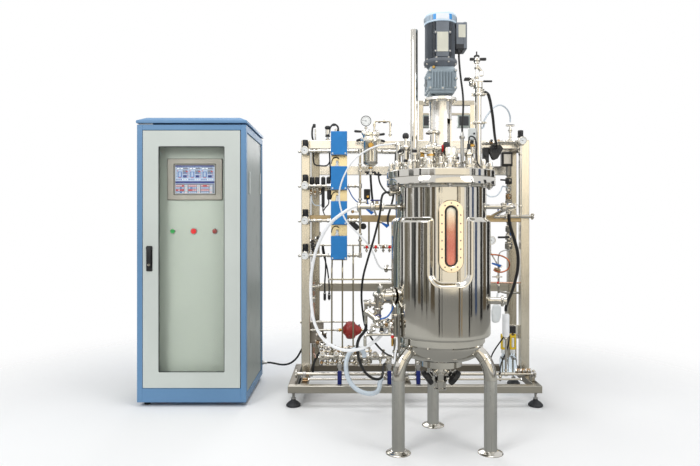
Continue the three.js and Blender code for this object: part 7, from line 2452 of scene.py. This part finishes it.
def lead_ends():
    """What the bottle leads run into on the base, and the stud the probe leads leave from."""
    made = Piece("lead_unions", skid)
    made.add(bright_steel, peg(182, 190, 222, 880, 6))
    for x in (1129, 1186):
        made.add(bright_steel, nut((x, 103, 140), UP, 17, 9), post(x, 103, 120, 154, 6, edge=1))
        made.add(brass, nut((x, 103, 126), UP, 15, 7))
    made.place()


plugs = {"left_probe_lead": (194, 192, 616, 565), "right_probe_lead": (220, 177, 609, 570)}
for name, facts in leads.items():
    if name in plugs:
        hose(name, *facts, "plug", False, [lead_plug(name + "_plug", *plugs[name])])
    else:
        hose(name, *facts, drawn=False)
upper_left()
filter_trim()
lead_ends()
between_the_posts()
behind_the_filter()
branch_cluster()
sample_bottles()
right_end()
vessel_side()
lid_extras()


# --------------------------------------------------------------------- studio and light

def plain(name, colour, glow):
    """A matt sheet, or with a glow a lit one as bright as the backdrop."""
    finish = Finish(name)
    return finish.surface(colour, 0.8, Emission_Color=colour, Emission_Strength=glow)


def stage_sheet(name, corners, faces, material):
    mesh = bpy.data.meshes.new(name)
    mesh.from_pydata(corners, [], faces)
    mesh.materials.append(material)
    sheet = bpy.data.objects.new(name, mesh)
    scene.collection.objects.link(sheet)
    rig.stage(sheet)
    return sheet


def circle(radius, sides, height):
    turns = [2 * math.pi * i / sides for i in range(sides)]
    return [(radius * math.cos(t), radius * math.sin(t), height) for t in turns]


def pale_floor():
    """A pale disc of floor that keeps the shadows and fades out to the background."""
    finish = Finish("floor_finish")
    x, y = finish.height(0), finish.height(1)
    fade_from, fade_to, radius, sides = 1.6, 3.0, 3.1, 64
    reach = finish.make("ShaderNodeMath", {"operation": "SQRT"}, {0: x * x + y * y})
    lit = finish.make("ShaderNodeBsdfPrincipled", {}, {
        "Base Color": (0.93, 0.93, 0.93, 1), "Roughness": 0.9, "Specular IOR Level": 0.1})
    away = finish.make("ShaderNodeBsdfTransparent")
    faded = finish.make("ShaderNodeMixShader", {}, {0: reach.over(fade_from, fade_to), 1: lit, 2: away})
    finish.make("ShaderNodeOutputMaterial", {}, {"Surface": faded})
    ring = circle(radius, sides, 0)
    stage_sheet("floor", ring, [list(range(sides))], finish.material).visible_glossy = False


def card(name, first, last, low, high, colour, distance, glow=0.0):
    """A standing card that only shows in reflections, between two bearings round the plant."""
    turns = [math.radians(first), math.radians(last)]
    left, right = [Vector((math.sin(t), -math.cos(t), 0)) * distance for t in turns]
    corners = [tuple(end + rise(z)) for end, z in ((left, low), (right, low), (right, high), (left, high))]
    unseen(stage_sheet(name, corners, [[0, 1, 2, 3]], plain(name + "_finish", colour, glow)))


def unseen(sheet):
    """Leaves a sheet to reflections only."""
    sheet.visible_camera = False
    sheet.visible_shadow = False
    sheet.visible_diffuse = False
    sheet.visible_transmission = False


def studio():
    world = bpy.data.worlds.new("studio")
    scene.world = world
    sky = Surroundings(world)
    camera_ray, glossy_ray, through_ray = [sky.make("ShaderNodeLightPath", out=f"Is {kind} Ray")
        for kind in ("Camera", "Glossy", "Transmission")]
    either = {"operation": "ADD", "use_clamp": True}
    seen = sky.make("ShaderNodeMath", either, {0: camera_ray, 1: glossy_ray})
    seen_through = sky.make("ShaderNodeMath", either, {0: seen, 1: through_ray})
    glow = sky.make("ShaderNodeBackground", {}, {"Color": (0.96, 0.98, 1, 1), "Strength": 0.52})
    backdrop = sky.make("ShaderNodeBackground", {}, {"Color": (1, 1, 1, 1), "Strength": 1.0})
    both = sky.make("ShaderNodeMixShader", {}, {0: seen_through, 1: glow, 2: backdrop})
    sky.make("ShaderNodeOutputWorld", {}, {"Surface": both})
    pale_floor()
    sides = 48
    for name, inner, outer, colour in (("near_floor", 0.01, 2.0, tint(140, 140, 137)),
            ("middle_floor", 2.0, 3.4, tint(150, 150, 146)),
            ("outer_floor", 3.4, 7.2, tint(152, 151, 146))):
        ring = circle(inner, sides, -0.01) + circle(outer, sides, -0.01)
        faces = [[i, (i + 1) % sides, sides + (i + 1) % sides, sides + i] for i in range(sides)]
        unseen(stage_sheet(name, ring, faces, plain(name + "_finish", colour, 0.9 if inner < 3 else 0.12)))
    cream, dark, brown = tint(252, 242, 222), tint(30, 30, 32), tint(112, 98, 76)
    olive, grey, blue, tan = tint(140, 134, 118), tint(100, 101, 100), tint(70, 92, 132), tint(190, 164,
        126)
    for i, (first, last, low, high, colour, distance) in enumerate([(-136, -121, 0, 2.2, grey, 4.6),
            (-119, -108, 0, 1.7, olive, 4.6), (-105, -98, 0, 1.9, dark, 4.6),
            (-92, -80, 0, 1.5, olive, 4.6), (-79, -75, 0, 1.3, brown, 4.6), (-70, -57, 0, 1.7, grey, 4.9),
            (-61, -58, 0, 1.4, dark, 4.4), (-52, -45, 0, 1.5, brown, 4.8), (-43, -39, 0, 1.9, dark, 4.3),
            (-39, -26, 0, 1.6, olive, 5.0), (-31, -29, 0, 1.3, dark, 4.2), (-22, -13, 0, 1.6, brown, 4.6),
            (-3, -0.5, 0, 1.2, dark, 3.4), (3, 4, 0, 1.2, dark, 3.4), (34, 37, 0, 1.3, brown, 3.6),
            (39, 41, 0, 1.3, tan, 3.6), (54, 57, 0, 2.4, dark, 3.6), (59, 63, 0, 1.6, dark, 4.6),
            (70, 76, 0, 2.0, blue, 4.8), (84, 92, 0, 2.2, dark, 4.2), (95, 108, 0, 1.7, brown, 4.8),
            (112, 132, 0, 1.9, dark, 4.6), (140, 156, 0, 2.4, grey, 4.6), (166, 174, 0, 2.8, dark, 4.6),
            (188, 204, 0, 2.4, brown, 4.6), (212, 223, 0, 3.0, dark, 4.6)]):
        card(f"card_{i + 1}", first, last, low, high, colour, distance)
    card("warm_wall", -12, 51, 0.3, 3.6, cream, 5.2, 0.6)
    for name, place, size, power in (
            ("key", (-2.6, -3.6, 3.6), 1.8, 80), ("fill", (3.4, -3.0, 2.6), 1.8, 40),
            ("top", (0.2, -0.4, 4.2), 2.4, 55), ("rear", (-0.5, 4.0, 3.0), 2.6, 55)):
        light = bpy.data.lights.new(name, "AREA")
        light.shape = "SQUARE"
        light.size = size
        light.energy = power
        lamp = bpy.data.objects.new(name, light)
        scene.collection.objects.link(lamp)
        lamp.location = place
        aim = rise(0.9) - Vector(place)
        lamp.rotation_euler = aim.to_track_quat("-Z", "Y").to_euler()


studio()

size = {"cad": [list(c) for c in frame_box], "visual": [list(c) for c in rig.bounds()]}
with open("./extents.json", "w") as file:
    json.dump(size, file)
